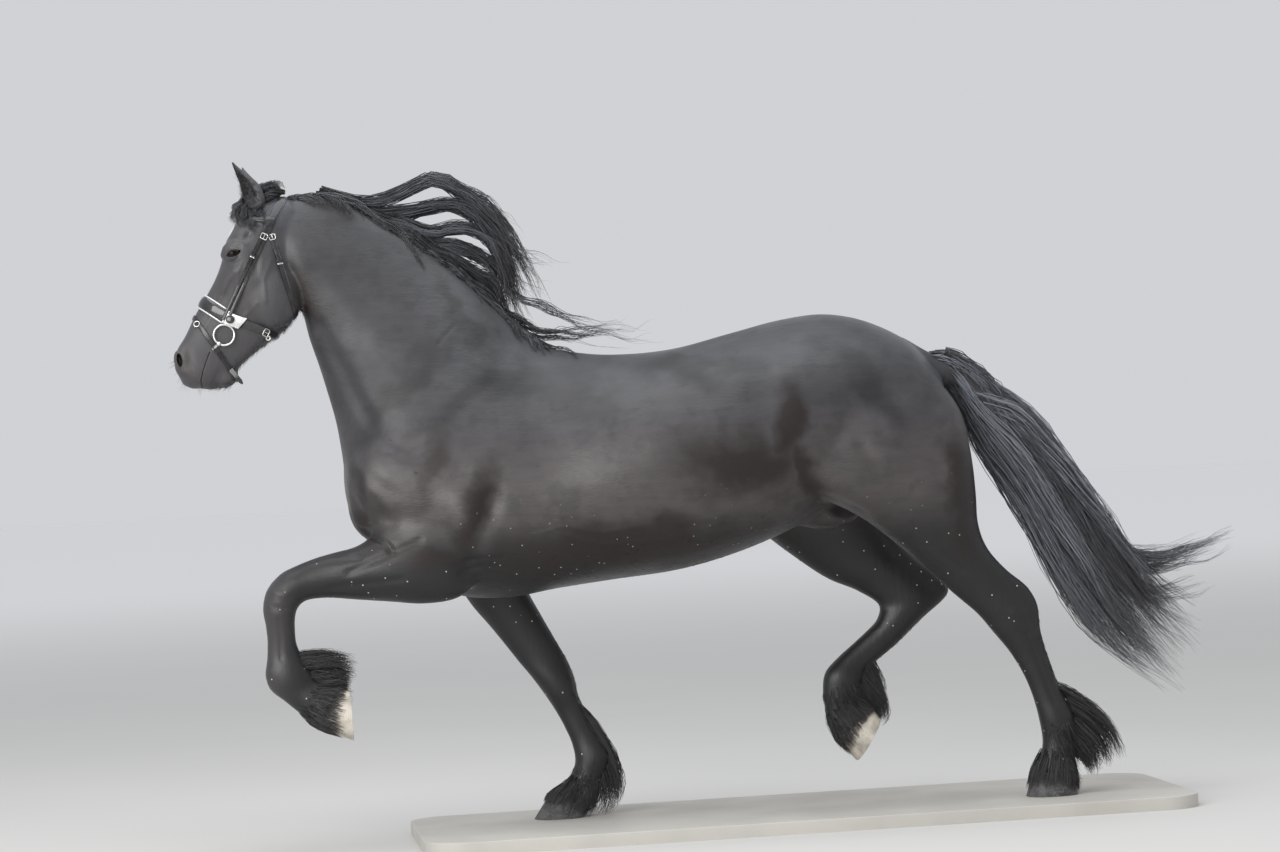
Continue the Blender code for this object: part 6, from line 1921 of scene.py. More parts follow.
# %% Noseband: a padded front with piping, a plate on each side and a strap behind the jaw
nose = Strap((-1.757, 1.652), (-1.596, 1.532), 0.042, droop=0.034)
PLATE_FROM, PLATE_TO = 86, 124
DISC_AT, DISC_RADIUS = 99, 0.0135
DISC_RINGS = ((0.35, 0.0035), (0.75, 0.0026), (0.96, 0.0008), (1.0, -0.003))
shapes = [band(nose, -PLATE_FROM, PLATE_FROM, 0.0092, PADDED, 0.94)]
shapes += [band(nose, PLATE_TO - 6, 360 - PLATE_TO + 6, 0.0075, PADDED, 0.56)]
shapes += mirrored(nose, 128, 150, 0.0035, FLAT, 0.66, 0.0, 0.006)
shapes += mirrored(nose, PLATE_FROM - 3, PLATE_TO + 2, 0.003, FLAT, 0.72)
for side in BOTH:
    run, across, out = nose.axes(side * DISC_AT)
    middle = nose.at(side * DISC_AT, 0, 0.013)
    shapes.append(skinned([circle(middle + out * h, run, across, DISC_RADIUS * r) for r, h in DISC_RINGS]))
fitting("noseband_leather", "leather", patent, "noseband", shapes)
shapes = [cord(nose, -PLATE_FROM, PLATE_FROM, u, 0.003, 0.0025) for u in (-0.5, 0.5)]
fitting("noseband_piping", "silver", piping, "noseband", shapes)
shapes = mirrored(nose, PLATE_FROM, PLATE_TO, 0.0035, FLAT, 0.96, 0.0, 0.0085)
shapes += mirrored(nose, PLATE_TO - 5, PLATE_TO, 0.0028, FLAT, 1.0, 0.0, 0.0112)
shapes += mirrored(nose, PLATE_FROM - 1, PLATE_FROM + 2, 0.0028, FLAT, 1.04, 0.0, 0.0112)
for side in BOTH:
    shapes += buckle(nose, side * 156, 0.009, 0.011, 0.0016, 0.008)
    for y in (0, 0.003):
        ball = nose.at(side * 163, 0.3, 0.01) + Vector((0, y, 0))
        shapes.append(tube(circle(ball, Vector((1, 0, 0)), Vector((0, 0, 1)), 0.0058, 24), 0.0024, 8, True))
    run, across, out = nose.axes(side * DISC_AT)
    ring = circle(nose.at(side * DISC_AT, 0, 0.0125), run, across, DISC_RADIUS + 0.001)
    shapes.append(tube(ring, 0.0016, 8, True))
fitting("noseband_silver", "silver", plate_silver, "noseband", shapes)

# %% Headpiece and cheekpieces
poll = Strap((-1.478, 1.972), (-1.672, 1.604), 0.02)
CHEEK_TOP = 58
CHEEK_END, REAR_END = (
    max(a for a in range(100, 176) if poll.at(a).z > height + GROUND) for height in (1.574, 1.606)
)
PIPED = 34
FRONT, REAR = 0.34, -0.3
shapes = [band(poll, -CHEEK_TOP - 3, CHEEK_TOP + 3, 0.006, PADDED, 1.4)]
shapes += mirrored(poll, CHEEK_TOP - 1, CHEEK_END, 0.0036, FLAT, 0.5, FRONT)
shapes += mirrored(poll, CHEEK_TOP + 2, REAR_END, 0.0036, FLAT, 0.54, REAR, 0.0008)
for keep in (68, 100, 128):
    shapes += mirrored(poll, keep, keep + 3.0 - keep / 80, 0.0018, FLAT, 0.64, FRONT, 0.003)
fitting("headstall_leather", "leather", leather, "headstall", shapes)
dull_piping = silver_material("dull piping", (0.13, 0.16, 0.22), 0.5, 0.26)
shapes = [cord(poll, -PIPED, PIPED, u, 0.0016, 0.0008) for u in (-0.7, 0.7)]
fitting("headstall_piping", "silver", dull_piping, "headstall", shapes)
shapes = mirrored(poll, 103, 105, 0.002, FLAT, 0.66, FRONT, 0.003)
for side in BOTH:
    shapes += buckle(poll, side * (CHEEK_TOP + 3), 0.0085, 0.01, 0.0015, 0.0055)
fitting("headstall_silver", "silver", silver, "headstall", shapes)

# %% Flash strap, throatlatch and browband
flash = Strap((-1.772, 1.592), (-1.672, 1.434), 0.014)
_, _, end_out = flash.axes(-163)
tongue_root = flash.at(-158, 0, 0.003)
TONGUE_RUN, TONGUE_STEPS = Vector((0.034, -0.004, -0.046)), 14
wide_way, thick_way = Vector((0.8, 0, 0.6)).normalized(), Vector((0, 1, 0)) * 0.0014
tongue = []
for t in np.linspace(0, 1, TONGUE_STEPS).tolist():
    centre = tongue_root + TONGUE_RUN * t + end_out * 0.004 * math.sin(math.pi * t)
    wide = wide_way * 0.0065 * (1 - max(0.0, t - 0.8) * 3)
    tongue.append([centre + wide * a + thick_way * b for a, b in ((-1, -1), (1, -1), (1, 1), (-1, 1))])
shapes = [band(flash, 0, 360, 0.004, FLAT, 1.0, closed=True), skinned(tongue)]
shapes += [band(flash, a, a + 5, 0.002, FLAT, 1.25, 0.0, 0.0032) for a in (-118, -128, -140)]
fitting("flash_leather", "leather", leather, "flash_strap", shapes)
shapes = []
for side in BOTH:
    run, across, _ = flash.axes(side * 26)
    shapes.append(tube(circle(flash.at(side * 26, 0.3, 0.005), run, across, 0.0088), 0.0018, 10, True))
fitting("flash_silver", "silver", silver, "flash_strap", shapes)

throat = Strap((-1.46, 1.56), (-1.536, 1.86), 0.014)
shapes = [band(throat, -150, 150, 0.0036, FLAT)]
for keep in (118, 136):
    shapes += mirrored(throat, keep, keep + 3, 0.0018, FLAT, 1.25, 0.0, 0.003)
fitting("throat_leather", "leather", leather, "throatlatch", shapes)
shapes = mirrored(throat, 113, 115.5, 0.002, FLAT, 1.25, 0.0, 0.003)
for side in BOTH:
    shapes += buckle(throat, side * 147, 0.008, 0.0095, 0.0014, 0.005)
fitting("throat_silver", "silver", silver, "throatlatch", shapes)

brow = Strap((-1.64, 1.9), (-1.414, 1.862), 0.02)
shapes = [band(brow, -96, 96, 0.0062, PADDED)]
shapes += mirrored(brow, 88, 97, 0.003, FLAT, 1.15, 0.0, 0.0045)
fitting("browband_leather", "leather", leather, "browband", shapes)

# %% The loose-ring bit
BIT_MIDDLE = (-1.688, 1.54)
BIT_RADIUS = 0.031
BIT_WIRE = 0.0035
BIT_LIFT = 0.01
BALL_TURN = math.radians(237)
BALL_RADIUS = 0.0078
MOUTHPIECE, MOUTHPIECE_IN = 0.0052, 0.012
LIP_CORNER = (-1.73, 1.494)


def skin_reach(x, z, side):
    hit = skin_surface.ray_cast(Vector((x, side * STRAP_FAR, z + GROUND)), Vector((0, -side, 0)))
    return abs(hit[0].y)


for name, side in (("bit_near", NEAR), ("bit_far", FAR)):
    x, z = BIT_MIDDLE
    away = skin_reach(x, z, side) + BIT_WIRE + BIT_LIFT
    bpy.ops.mesh.primitive_torus_add(
        location=sided((x, away, z), side),
        rotation=(math.pi / 2, 0, 0),
        major_radius=BIT_RADIUS,
        minor_radius=BIT_WIRE,
        major_segments=72,
        minor_segments=14,
    )
    ring = settle(bpy.context.object)
    start = sided((x + BIT_RADIUS * math.cos(BALL_TURN), away, z + BIT_RADIUS * math.sin(BALL_TURN)), side)
    bpy.ops.mesh.primitive_uv_sphere_add(location=start, radius=BALL_RADIUS, segments=24, ring_count=14)
    ball = settle(bpy.context.object)
    x, z = LIP_CORNER
    lip = Vector(sided((x, skin_reach(x, z, side) - MOUTHPIECE_IN, z), side))
    bar_path = [Vector(start).lerp(lip, share) for share in np.linspace(0, 1, 6)]
    bar = piece_of("bar", *tube(bar_path, MOUTHPIECE, 14))
    piece = joined(name + "_ring", [ring, ball, bar])
    piece.data.shade_smooth()
    wear(piece, silver)
    place(piece, "silver", name)

# %% [markdown]
# ## Eyes and the base
#
# A horse's eye is nearly all dark: a brown iris with a lying oval pupil, a blue-black shine, and dark
# brown round the iris. The base is a plain painted board, as a museum would use.

# %% Eyes
PUPIL_HALF = (0.0085, 0.005)
IRIS_RADIUS = 0.0165


def eye_material():
    material, tree, shader = material_of("wet dark eye")
    coords = object_coords(tree)
    across = maths(tree, "SUBTRACT", axis_of(tree, coords, "X"), EYE_MIDDLE[0])
    height = maths(tree, "SUBTRACT", axis_of(tree, coords, "Z"), EYE_MIDDLE[2] + GROUND)

    def oval(half_width, half_height):
        """How far out a place is in an oval round the eye's middle, squared: 1 on its edge."""
        x, z = times(tree, across, 1 / half_width), times(tree, height, 1 / half_height)
        return maths(tree, "ADD", times(tree, x, x), times(tree, z, z))

    pupil, iris = oval(*PUPIL_HALF), oval(IRIS_RADIUS, IRIS_RADIUS)
    fibres = noise(tree, coords, 420.0, 3.0)
    brown = mixed(tree, ranged(tree, fibres, 0.35, 0.65), (0.009, 0.0045, 0.003), (0.022, 0.011, 0.007))
    base = mixed(tree, ranged(tree, pupil, 0.85, 1.1), (0.0015, 0.0015, 0.0025), brown)
    base = mixed(tree, ranged(tree, iris, 0.85, 1.1), base, (0.022, 0.016, 0.014))
    plug(tree, shader, Base_Color=base, Roughness=ranged(tree, fibres, 0.3, 0.7, 0.03, 0.06))
    plug(tree, shader, Specular_IOR_Level=0.25, IOR=1.33)
    return material


wet_eye = eye_material()
for side in BOTH:
    bpy.ops.mesh.primitive_uv_sphere_add(
        location=sided(EYE_MIDDLE, side),
        rotation=(math.pi / 2, 0, 0),
        radius=EYE_RADIUS,
        segments=56,
        ring_count=32,
    )
    piece = settle(bpy.context.object)
    piece.name = "eyeball_near" if side < 0 else "eyeball_far"
    piece.data.shade_smooth()
    wear(piece, wet_eye)
    place(piece, "eyeball", "eye_near" if side < 0 else "eye_far")

# %% Base
BASE_SIZE = (2.36, 0.86, FLOOR_TOP)
BASE_CORNER = 0.12
BASE_EDGE = 0.003


def edges_where(piece, wanted):
    """Selects the edges of the active piece whose two ends are both as wanted."""
    bpy.ops.object.mode_set(mode="EDIT")
    bpy.ops.mesh.select_mode(type="EDGE")
    bpy.ops.mesh.select_all(action="DESELECT")
    mesh = bmesh.from_edit_mesh(piece.data)
    for edge in mesh.edges:
        edge.select = wanted(*(v.co for v in edge.verts))
    bmesh.update_edit_mesh(piece.data)


bpy.ops.mesh.primitive_cube_add(size=1, location=(0, 0, FLOOR_TOP / 2), scale=BASE_SIZE)
base = settle(bpy.context.object)
base.name = "base_board"
edges_where(base, lambda a, b: abs(a.z - b.z) > 0.01)
bpy.ops.mesh.bevel(offset=BASE_CORNER, segments=24, affect="EDGES")
bpy.ops.object.mode_set(mode="OBJECT")
edges_where(base, lambda a, b: min(a.z, b.z) > FLOOR_TOP - 1e-5)
bpy.ops.mesh.bevel(offset=BASE_EDGE, segments=4, affect="EDGES")
bpy.ops.object.mode_set(mode="OBJECT")
bpy.ops.object.shade_smooth_by_angle(angle=math.radians(30))

material, tree, shader = material_of("painted board")
coords = object_coords(tree)
cloud, grain = noise(tree, coords, 3.0, 6.0), noise(tree, coords, 260.0, 3.0)
base_colour = mixed(tree, ranged(tree, cloud, 0.35, 0.7), (0.5, 0.48, 0.44), (0.44, 0.42, 0.39))
base_colour = mixed(tree, ranged(tree, grain, 0.55, 0.75, 0.0, 0.25), base_colour, (0.3, 0.28, 0.25))
plug(tree, shader, Base_Color=base_colour, Roughness=ranged(tree, cloud, 0.3, 0.7, 0.55, 0.7))
plug(tree, shader, Normal=bump(tree, grain, 0.15, 0.0008))
wear(base, material)
place(base, "base", "stand_base")
left = [name for name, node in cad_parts.items() if not node.hide_render]
print("solids still shown:", left)

# %% [markdown]
# ## Hooves
#
# A hoof wall grows down from the coronet in fine rings that follow the coronet, not the ground. The raised
# feet show their soles, slightly hollow, with the wedge of the frog. On her the lifted hooves are pale
# horn, while the planted ones are grey with dust.

# %% Hoof tables and their shape
HOOF_TOPS = {
    "hoof_fore_near": sections(
        (-1366, 300, -1372, 452, 72, -160, 0.45, 2.2, 3.0),
        (-1457, 340, -1397, 460, 59, -160, 0.45, 2.2, 2.4),
    ),
    "hoof_fore_far": sections(
        (-806, 0, -652, 0, 72, 140, 0.45, 2.2, 3.0),
        (-756, 72.3, -632, 45, 59, 140, 0.45, 2.2, 2.4),
    ),
    "hoof_hind_near": sections(
        (690, 0, 846, 0, 69, -142, 0.45, 2.2, 3.0),
        (711, 72.2, 846, 50, 58, -142, 0.45, 2.2, 2.4),
    ),
    "hoof_hind_far": sections(
        (216, 118, 296, 244, 69, 152, 0.45, 2.2, 3.0),
        (160, 183, 276, 282.9, 57, 152, 0.45, 2.2, 2.4),
    ),
}
WALL_ROWS = 44
HOOF_SIDES = 96
WALL_SHARE = 0.9
SOLE_HOLLOW = 0.009
GROWTH_RINGS = 9


def hoof_piece(name, low, high, material):
    """The wall with its growth rings, the bearing edge, the hollow sole and the frog."""
    points, grow, under = [], [], []
    for k in range(WALL_ROWS + 4):
        t = k / (WALL_ROWS - 1)
        ripple = 0.0045 * math.sin(2 * math.pi * GROWTH_RINGS * t**0.9) * (1 - 0.5 * t)
        neck = 1 - 0.9 * max(0.0, t - 1)
        points += section_ring(low + (high - low) * t, HOOF_SIDES, (1 + ripple) * neck * 0.994)
        grow += [t] * HOOF_SIDES
        under += [0.0] * HOOF_SIDES
    middle_low = np.mean(section_ring(low, HOOF_SIDES), axis=0)
    middle_high = np.mean(section_ring(high, HOOF_SIDES), axis=0)
    up = (middle_high - middle_low) / np.linalg.norm(middle_high - middle_low)
    back = np.array([low[2] - low[0], 0, low[3] - low[1]])
    length = np.linalg.norm(back)
    back /= length
    sole_rings = []
    for shrink in (0.97, 0.95, 0.93, *np.linspace(WALL_SHARE, 0.06, 16)):
        ring = np.array(section_ring(low, HOOF_SIDES, shrink))
        along = (ring - middle_low) @ back / length
        across = (ring[:, 1] - middle_low[1]) / low[4]
        wedge = 0.06 + 0.4 * np.clip((along + 0.22) / 0.7, 0, 1)
        frog = np.clip((wedge - np.abs(across)) / 0.09, 0, 1) * np.clip((along + 0.26) / 0.1, 0, 1)
        cleft = np.clip(1 - np.abs(across) / 0.07, 0, 1) * np.clip((along + 0.05) / 0.2, 0, 1)
        if shrink <= WALL_SHARE:
            hollow = SOLE_HOLLOW * np.minimum(1, (WALL_SHARE + 0.02 - shrink) / 0.1)
            ring += up * (hollow * (1 - 0.8 * frog + 0.45 * cleft * frog))[:, None]
        sole_rings.append(ring)
        grow += [0.0] * HOOF_SIDES
        under += [1.0 if shrink <= 0.95 else 0.5] * HOOF_SIDES
    loops = [points[i : i + HOOF_SIDES] for i in range(0, len(points), HOOF_SIDES)]
    loops = [[tuple(p) for p in ring] for ring in sole_rings[::-1]] + loops
    order = grow[len(points) :][::-1] + grow[: len(points)]
    piece = piece_of(name, *skinned(loops))
    below = under[len(points) :][::-1] + under[: len(points)]
    count = len(piece.data.vertices)
    for label, values, last in (("grow", order, (0.0, 1.0)), ("under", below, (1.0, 0.0))):
        layer = piece.data.attributes.new(label, "FLOAT", "POINT")
        layer.data.foreach_set("value", np.array([*values, *last])[:count])
    piece.data.shade_smooth()
    wear(piece, material)
    return piece


# %% Horn
def horn_material(name, light, dark, dust, roughness):
    """Horn: fine rings that follow the coronet, a mottled wall that darkens towards the coronet, and dust or
    stains.
    """
    material, tree, shader = material_of(name)
    coords = object_coords(tree)
    grow, under = attribute(tree, "grow"), attribute(tree, "under")
    cloud, fine = noise(tree, coords, 22.0, 5.0), noise(tree, coords, 160.0, 3.0)
    rings = maths(tree, "SINE", times(tree, maths(tree, "ADD", grow, times(tree, cloud, 0.05)), 150.0))
    base = mixed(tree, ranged(tree, cloud, 0.35, 0.68), light, dark)
    base = mixed(tree, times(tree, ranged(tree, rings, -1.0, 1.0), 0.22), base, dark)
    base = mixed(tree, ranged(tree, grow, 0.55, 0.98, 0.0, 0.55), base, dark)
    base = mixed(tree, times(tree, under, ranged(tree, cloud, 0.4, 0.6, 0.15, 0.85)), base, dust)
    base = mixed(tree, times(tree, ranged(tree, fine, 0.56, 0.66), 0.5), base, dust)
    height = maths(tree, "ADD", times(tree, rings, 0.3), fine)
    plug(tree, shader, Base_Color=base, Roughness=ranged(tree, fine, 0.3, 0.7, roughness, roughness + 0.2))
    plug(tree, shader, Normal=bump(tree, height, 0.35, 0.0012))
    return material


pale_horn = horn_material("pale horn", (0.62, 0.57, 0.49), (0.3, 0.27, 0.23), (0.42, 0.38, 0.33), 0.42)
dark_horn = horn_material("dark horn", (0.085, 0.083, 0.085), (0.03, 0.029, 0.032), (0.17, 0.16, 0.15), 0.5)
for name, (sole, top) in HOOF_TOPS.items():
    lifted = name in ("hoof_fore_near", "hoof_hind_far")
    piece = hoof_piece(name + "_horn", sole, top, pale_horn if lifted else dark_horn)
    place(piece, "pale_horn" if lifted else "dark_horn", name)

# %% [markdown]
# ## Fur where it shows
#
# Most of her coat lies flat, and the bump in its finish draws it. Where it stands out against the light
# it needs real tufts: under the jaw and belly, behind the legs, round the coronets and in the ears. Their
# lie follows the middle lines of the forms that made the skin.

# %% The lie of the coat
FLOW_ROWS = 46


def flow_lines():
    """Middles, directions and sizes along every form."""
    tables = [(TRUNK, (1, 0, 0)), (NECK, (1, 0, -0.4)), (HEAD, (-0.4, 0, -1))]
    tables += [(leg, (0, 0, -1)) for leg in (NEAR_FORE, FAR_FORE, NEAR_HIND, FAR_HIND)]
    middles, runs, sizes = [], [], []
    for table, toward in tables:
        rows = smooth_rows(table, FLOW_ROWS)
        x, z = (rows[:, 0] + rows[:, 2]) / 2, (rows[:, 1] + rows[:, 3]) / 2
        line = np.stack([x, rows[:, 5], z + GROUND], axis=1)
        run = unit(np.gradient(line, axis=0))
        run *= np.sign((run @ np.array(toward)).sum())
        middles.append(line)
        runs.append(run)
        sizes.append(np.hypot(rows[:, 0] - rows[:, 2], rows[:, 1] - rows[:, 3]) / 2)
    return np.concatenate(middles), np.concatenate(runs), np.concatenate(sizes)


flow_middles, flow_runs, flow_sizes = flow_lines()


def flow_at(points):
    """The way that the coat lies at each point: along the nearest forms, and a little downwards."""
    flows = np.empty_like(points)
    for i in range(0, len(points), 2000):
        part = points[i : i + 2000]
        away = np.linalg.norm(part[:, None] - flow_middles, axis=2) / (flow_sizes + 0.02)
        weight = np.exp(-2.5 * away**2) + 1e-12
        flows[i : i + 2000] = (weight[:, :, None] * flow_runs).sum(axis=1)
    flows[:, 2] -= 0.25 * np.linalg.norm(flows, axis=1)
    return unit(flows)


def face_table():
    """The skin's triangles as corner indices, with their areas."""
    skin.data.calc_loop_triangles()
    corners = np.empty(len(skin.data.loop_triangles) * 3, np.int64)
    skin.data.loop_triangles.foreach_get("vertices", corners)
    corners = corners.reshape(-1, 3)
    a, b, c = (skin_points[corners[:, i]] for i in range(3))
    return corners, np.linalg.norm(np.cross(b - a, c - a), axis=1) / 2


skin_faces, skin_areas = face_table()


def roots_where(weight, count, chance):
    """Random places on the skin, as thick as weight says for each of its points, with their normals."""
    share = skin_areas * weight[skin_faces].mean(axis=1)
    picked = chance.choice(len(skin_faces), count, p=share / share.sum())
    mix = chance.dirichlet((1, 1, 1), count)[:, :, None]
    places = (skin_points[skin_faces[picked]] * mix).sum(axis=1)
    outs = (skin_normals[skin_faces[picked]] * mix).sum(axis=1)
    return places, unit(outs)


def tufts(places, outs, chance, length, width, lift, per=3, steps=4, loose=0.004, flows=None, curl=0.3):
    """Short tufts that lie along the coat: (strand, step, corner, 3), and each strand's tone."""
    flows = flow_at(places) if flows is None else flows
    flows = unit(flows - (flows * outs).sum(axis=1)[:, None] * outs)
    sides = np.cross(outs, flows)
    places, outs, flows, sides = (np.repeat(a, per, axis=0) for a in (places, outs, flows, sides))
    count = len(places)
    yaw = chance.normal(0, 0.18, count)[:, None]
    along = flows * np.cos(yaw) + sides * np.sin(yaw)
    size = np.repeat(np.broadcast_to(length, count // per), per)
    size = (size * chance.uniform(0.6, 1.25, count))[:, None, None]
    rise = lift * chance.uniform(0.4, 1.6, count)[:, None, None]
    share = np.linspace(0, 1, steps)[None, :, None]
    start = places + sides * (chance.uniform(-1, 1, count) * loose)[:, None] - outs * 0.0012
    path = start[:, None] + along[:, None] * size * share
    path = path + outs[:, None] * size * rise * (share - curl * share**2)
    thin = width * chance.uniform(0.7, 1.3, count)[:, None, None] * (1 - 0.9 * share**1.5)
    wide = np.cross(outs, along)[:, None] * thin
    grid = np.stack([path + wide, path + outs[:, None] * thin * 0.8, path - wide], axis=2)
    return grid, np.clip(chance.normal(0.4, 0.2, count), 0, 1)


# %% Which places have longer fur
def near_line(line, radius):
    """1 near a line of (x, height) in the side view, 0 beyond the radius."""
    seen = skin_points[:, [0, 2]] - np.array([0, GROUND])
    away, _, _ = distance_to_line(seen, line)
    return blend(radius - away, 0, radius * 0.5)


height = skin_points[:, 2] - GROUND
downward = blend(-skin_normals[:, 2], 0.25, 0.75)
face_part = on_head(skin_points).astype(float)
low_legs = blend(0.62 - height, 0, 0.15)
backward = blend(skin_normals[:, 0], 0.25, 0.75)
jaw = near_line(((-1.7, 1.42), (-1.64, 1.47), (-1.575, 1.52), (-1.48, 1.6)), 0.05) * downward
belly = (1 - face_part) * blend(height, 0.7, 0.76) * downward * blend(1.05 - height, 0, 0.15)
leg_backs = low_legs * backward
fur_seed = np.random.default_rng(7)
body_weight = 1 - 0.75 * face_part
short = tufts(*roots_where(body_weight, 4800, fur_seed), fur_seed, 0.013, 0.0007, 0.1, per=2, steps=3)
strand_piece("coat_tufts", "coat", coat_finish, ("torso",), short)
face_roots = roots_where(face_part, 1500, fur_seed)
face = tufts(*face_roots, fur_seed, 0.007, 0.0004, 0.1, per=2, steps=3, loose=0.002)
strand_piece("face_tufts", "coat", coat_finish, ("head",), face)
longer = [
    tufts(*roots_where(weight + 1e-9, count, fur_seed), fur_seed, *shape)
    for weight, count, shape in (
        (jaw, 360, (0.018, 0.0005, 0.55)),
        (belly, 900, (0.016, 0.0006, 0.13)),
        (leg_backs, 900, (0.017, 0.0006, 0.22)),
    )
]
strand_piece("coat_edges", "coat", coat_finish, ("torso",), *longer)

# %% The hair of the pasterns and the fringe over each hoof
# For each hoof: how far the pastern's long hair goes from the coronet, which way is rearward there as
# (x, z), and what share of the wall the fringe covers, in pairs of (share of the way back, share covered).
PASTERN_HAIR = {
    "hoof_fore_near": (0.115, (0.5, 0.1), ((0.0, 0.72), (0.4, 0.66), (0.8, 0.7), (1.0, 0.85))),
    "hoof_fore_far": (0.125, (0.5, -0.5), ((0.0, 0.34), (0.3, 0.45), (0.55, 0.85), (1.0, 0.98))),
    "hoof_hind_near": (0.185, (1.0, -0.2), ((0.0, 0.7), (0.4, 0.66), (0.75, 0.8), (1.0, 0.97))),
    "hoof_hind_far": (0.15, (0.4, -0.1), ((0.0, 0.74), (0.25, 0.62), (0.55, 0.18), (1.0, 0.22))),
}
FRINGE_COUNT = 180
CORONET_POINTS = 24


def fringe_of(shares, sole, top, chance):
    """Locks that leave the pastern and lie over the coronet and down the wall."""
    wall_low = np.array(section_ring(sole, FRINGE_COUNT))
    wall_top = np.array(section_ring(top, FRINGE_COUNT))
    middle = wall_top.mean(axis=0)
    up = middle - wall_low.mean(axis=0)
    up /= np.linalg.norm(up)
    back = wall_top[FRINGE_COUNT // 2] - wall_top[0]
    share_back = (wall_top - wall_top[0]) @ back / (back @ back)
    reach = np.interp(share_back, *zip(*shares)) * chance.uniform(0.72, 1.08, FRINGE_COUNT)
    clumps = []
    for k in range(FRINGE_COUNT):
        out = wall_top[k] - middle
        out /= np.linalg.norm(out)
        rise = 0.004 + 0.082 * chance.uniform(0, 1) ** 1.6
        root = middle + (wall_top[k] - middle) * np.interp(rise, (0, 0.086), (0.94, 0.6)) + up * rise
        near, normal, _, _ = skin_surface.find_nearest(Vector(root))
        root = np.array(near - normal * 0.003)
        over = wall_top[k] + out * 0.0022 + up * 0.002
        tip = wall_top[k] + (wall_low[k] - wall_top[k]) * reach[k] + out * chance.uniform(0.001, 0.004)
        knots = np.array([root, (root + over) / 2 + out * 0.003, over, tip])
        path = read_curve(knots, np.array([0, 1, 2, 4]), np.linspace(0, 4, 8))
        path[:, 2] = np.maximum(path[:, 2], FLOOR_TOP + 0.002)
        clumps.append((path, 0.013, 0.004))
    return keep_out(clumps, 0.0015)


for name, (sole, top) in HOOF_TOPS.items():
    rng = random.Random(name)
    chance = np.random.default_rng(rng.randrange(1 << 30))
    _, end, side_name = name.split("_")
    coronet = np.mean(section_ring(top, CORONET_POINTS), axis=0)
    reach, back, shares = PASTERN_HAIR[name]
    away = np.linalg.norm(skin_points - coronet, axis=1)
    rearward = np.array([back[0], 0, back[1]])
    close = blend(reach - away, 0, 0.03) * blend(skin_normals @ rearward, -0.9, 0.3)
    places, outs = roots_where(close + 1e-12, 640, chance)
    down = np.mean(section_ring(sole, CORONET_POINTS), axis=0) - coronet
    behind = np.clip(outs @ rearward + 0.4, 0, 1)
    flows = flow_at(places) + 0.5 * down / np.linalg.norm(down) + behind[:, None] * rearward
    length = 0.03 + 0.034 * behind * np.minimum(1, np.linalg.norm(places - coronet, axis=1) / 0.05)
    pastern = tufts(places, outs, chance, length, 0.0009, 0.24, steps=5, loose=0.005, flows=flows, curl=0.5)
    clumps = fringe_of(shares, sole, top, chance)
    fringe = strands_of(clumps, rng, 4, 0.0009, gather=0.5, frizz=0.0008, ragged=0.3)
    leg = f"{end}leg_{side_name}_lower"
    strand_piece(f"fringe_{end}_{side_name}", "coat", feather_finish, (leg,), pastern, fringe)


# %% Ear hair, lashes and whiskers
def bristles(starts, tips, chance, width, sag):
    """Single hairs from starts to tips that sag a little: (strand, step, corner, 3), and their tones."""
    share = np.linspace(0, 1, 6)[None, :, None]
    path = starts[:, None] + (tips - starts)[:, None] * share
    path[:, :, 2] -= (sag * share * (1 - share))[:, :, 0] * 4
    run = tips - starts
    wide = unit(np.cross(run, chance.normal(0, 1, run.shape)))
    high = unit(np.cross(run, wide))
    thin = width * (1 - 0.8 * share)
    grid = np.stack([path + way[:, None] * thin for way in (wide, high, -wide)], axis=2)
    return grid, chance.uniform(0.0, 0.4, len(starts))


LASHES = 46
fine_parts = []
for side in BOTH:
    ear_low, ear_high = np.array(sided(EAR_BASE, side)), np.array(sided(EAR_TIPS[side], side))
    ear_up = (ear_high - ear_low) / np.linalg.norm(ear_high - ear_low)
    rise = (skin_points - ear_low) @ ear_up
    beside = np.linalg.norm(skin_points - ear_low - rise[:, None] * ear_up, axis=1)
    facing = np.array([-math.cos(math.radians(EAR_FACING)), side * math.sin(math.radians(EAR_FACING)), 0])
    cup = (beside < 0.045) * (rise > 0.015) * (rise < 0.12) * blend(skin_normals @ facing, -0.1, 0.4)
    places, outs = roots_where(cup + 1e-12, 260, fur_seed)
    upward = np.repeat((ear_up + 0.5 * facing)[None], len(places), axis=0)
    fine_parts.append(tufts(places, outs, fur_seed, 0.019, 0.0005, 0.45, steps=5, loose=0.002, flows=upward))
    across = np.linspace(-0.95, 0.95, LASHES)
    lid = np.stack([
        EYE_MIDDLE[0] + 0.0205 * across,
        side * np.full(LASHES, 0.2),
        EYE_MIDDLE[2] + GROUND + 0.004 + 0.0085 * np.sqrt(1 - across**2),
    ], axis=1)
    lid = np.array([skin_surface.ray_cast(Vector(spot), Vector((0, -side, 0)))[0] for spot in lid])
    lash = np.stack([0.006 * across - 0.003, np.full(LASHES, side * 0.011), np.full(LASHES, -0.005)], axis=1)
    tips = lid + lash * fur_seed.uniform(0.7, 1.2, (LASHES, 1))
    fine_parts.append(bristles(lid, tips, fur_seed, 0.0004, 0.002))
lips = (skin_points[:, 0] < -1.735) * (height < 1.475) + (skin_points[:, 0] < -1.68) * (height < 1.41)
places, outs = roots_where((lips > 0) * (skin_normals[:, 2] < 0.5) + 1e-12, 90, fur_seed)
reach = fur_seed.uniform(0.008, 0.026, (len(places), 1))
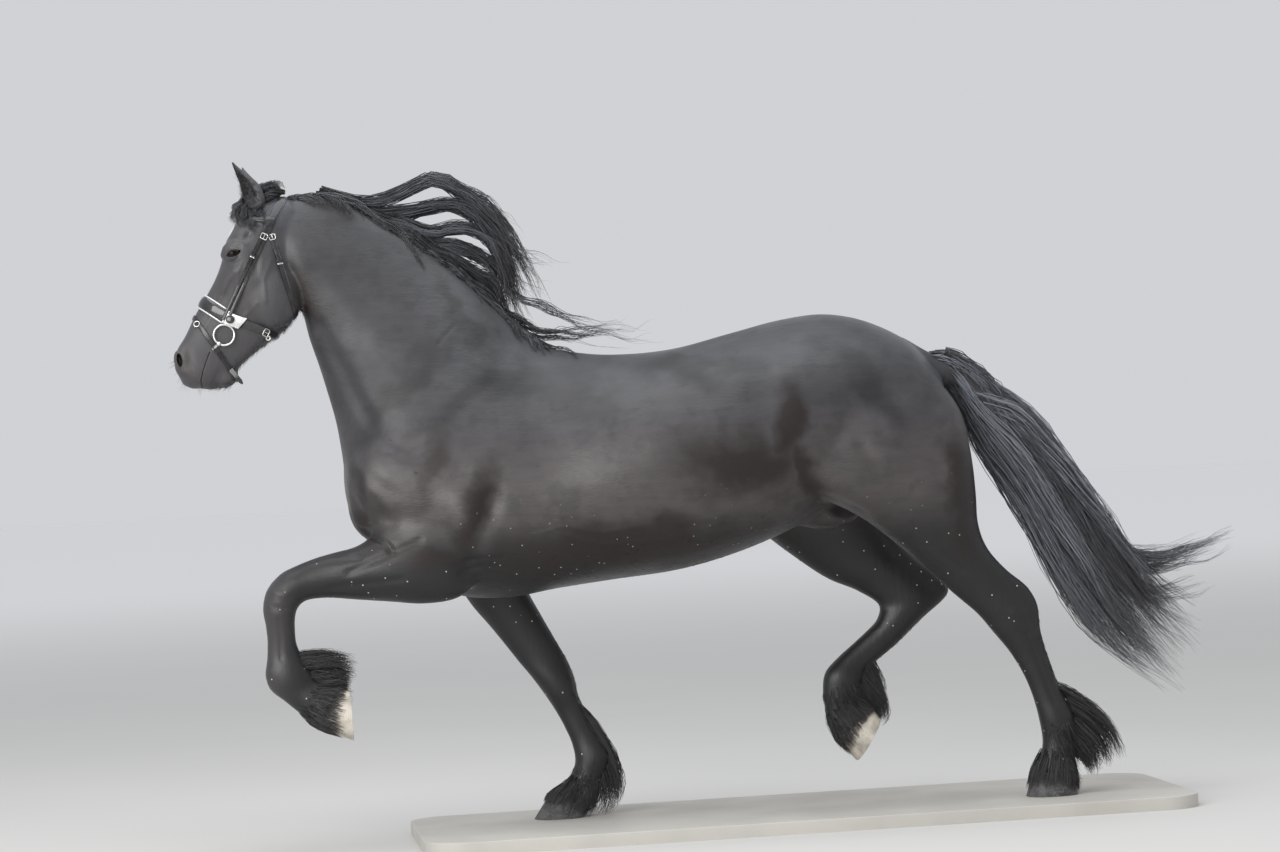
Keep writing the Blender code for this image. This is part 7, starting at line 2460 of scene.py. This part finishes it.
tips = places + (outs + np.array([0, 0, -0.35])) * reach
fine_parts.append(bristles(places, tips, fur_seed, 0.00032, 0.003))
strand_piece("ear_and_face_hair", "coat", coat_finish, ("head",), *fine_parts)

# %% [markdown]
# ## Floor and light
#
# A plain pale floor that runs out to a pale sky, one broad light from above for the sheen along the back,
# and a softer one from the front. With no wall behind her she can be looked at from every side.

# %% Floor and lights
bpy.ops.mesh.primitive_circle_add(vertices=96, radius=60, fill_type="NGON", location=(0, 0, 0))
floor = settle(bpy.context.object)
floor.name = "floor"
floor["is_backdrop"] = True


def make_light(name, place_at, aim, size, power, colour):
    data = bpy.data.lights.new(name, "AREA")
    data.shape = "RECTANGLE"
    data.size, data.size_y = size
    data.energy = power
    data.color = colour
    light = linked(name, data)
    light.location = place_at
    light.rotation_mode = "QUATERNION"
    light.rotation_quaternion = (Vector(aim) - Vector(place_at)).to_track_quat("-Z", "Y")


material, tree, shader = material_of("pale floor")
coords = object_coords(tree)
away = vector_maths(tree, "LENGTH", {0: coords})
near_floor = mixed(tree, noise(tree, coords, 0.8, 4.0), (0.6, 0.59, 0.575), (0.56, 0.55, 0.535))
floor_colour = mixed(tree, ranged(tree, away, 3.0, 24.0), near_floor, (0.99, 0.99, 0.99))
plug(tree, shader, Base_Color=floor_colour, Roughness=0.9)
wear(floor, material)
make_light("sky above", (-0.6, -1.0, 6.0), (-0.3, 0, 1.2), (7.0, 5.0), 235, (0.96, 0.98, 1.0))
make_light("front light", (-5.0, -6.5, 3.2), (-0.4, 0, 1.2), (6.0, 4.5), 450, (1.0, 0.99, 0.97))

world = bpy.data.worlds.new("pale sky")
world.use_nodes = True
plug(world.node_tree, world.node_tree.nodes["Background"], Color=(0.9, 0.92, 0.95, 1.0), Strength=0.7)
bpy.context.scene.world = world
bpy.context.scene.view_settings.view_transform = "Standard"

# %% Sizes, then finish
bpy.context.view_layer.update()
total = sum(faces_of(piece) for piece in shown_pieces() if piece.type == "MESH")
print("triangles in all:", total)
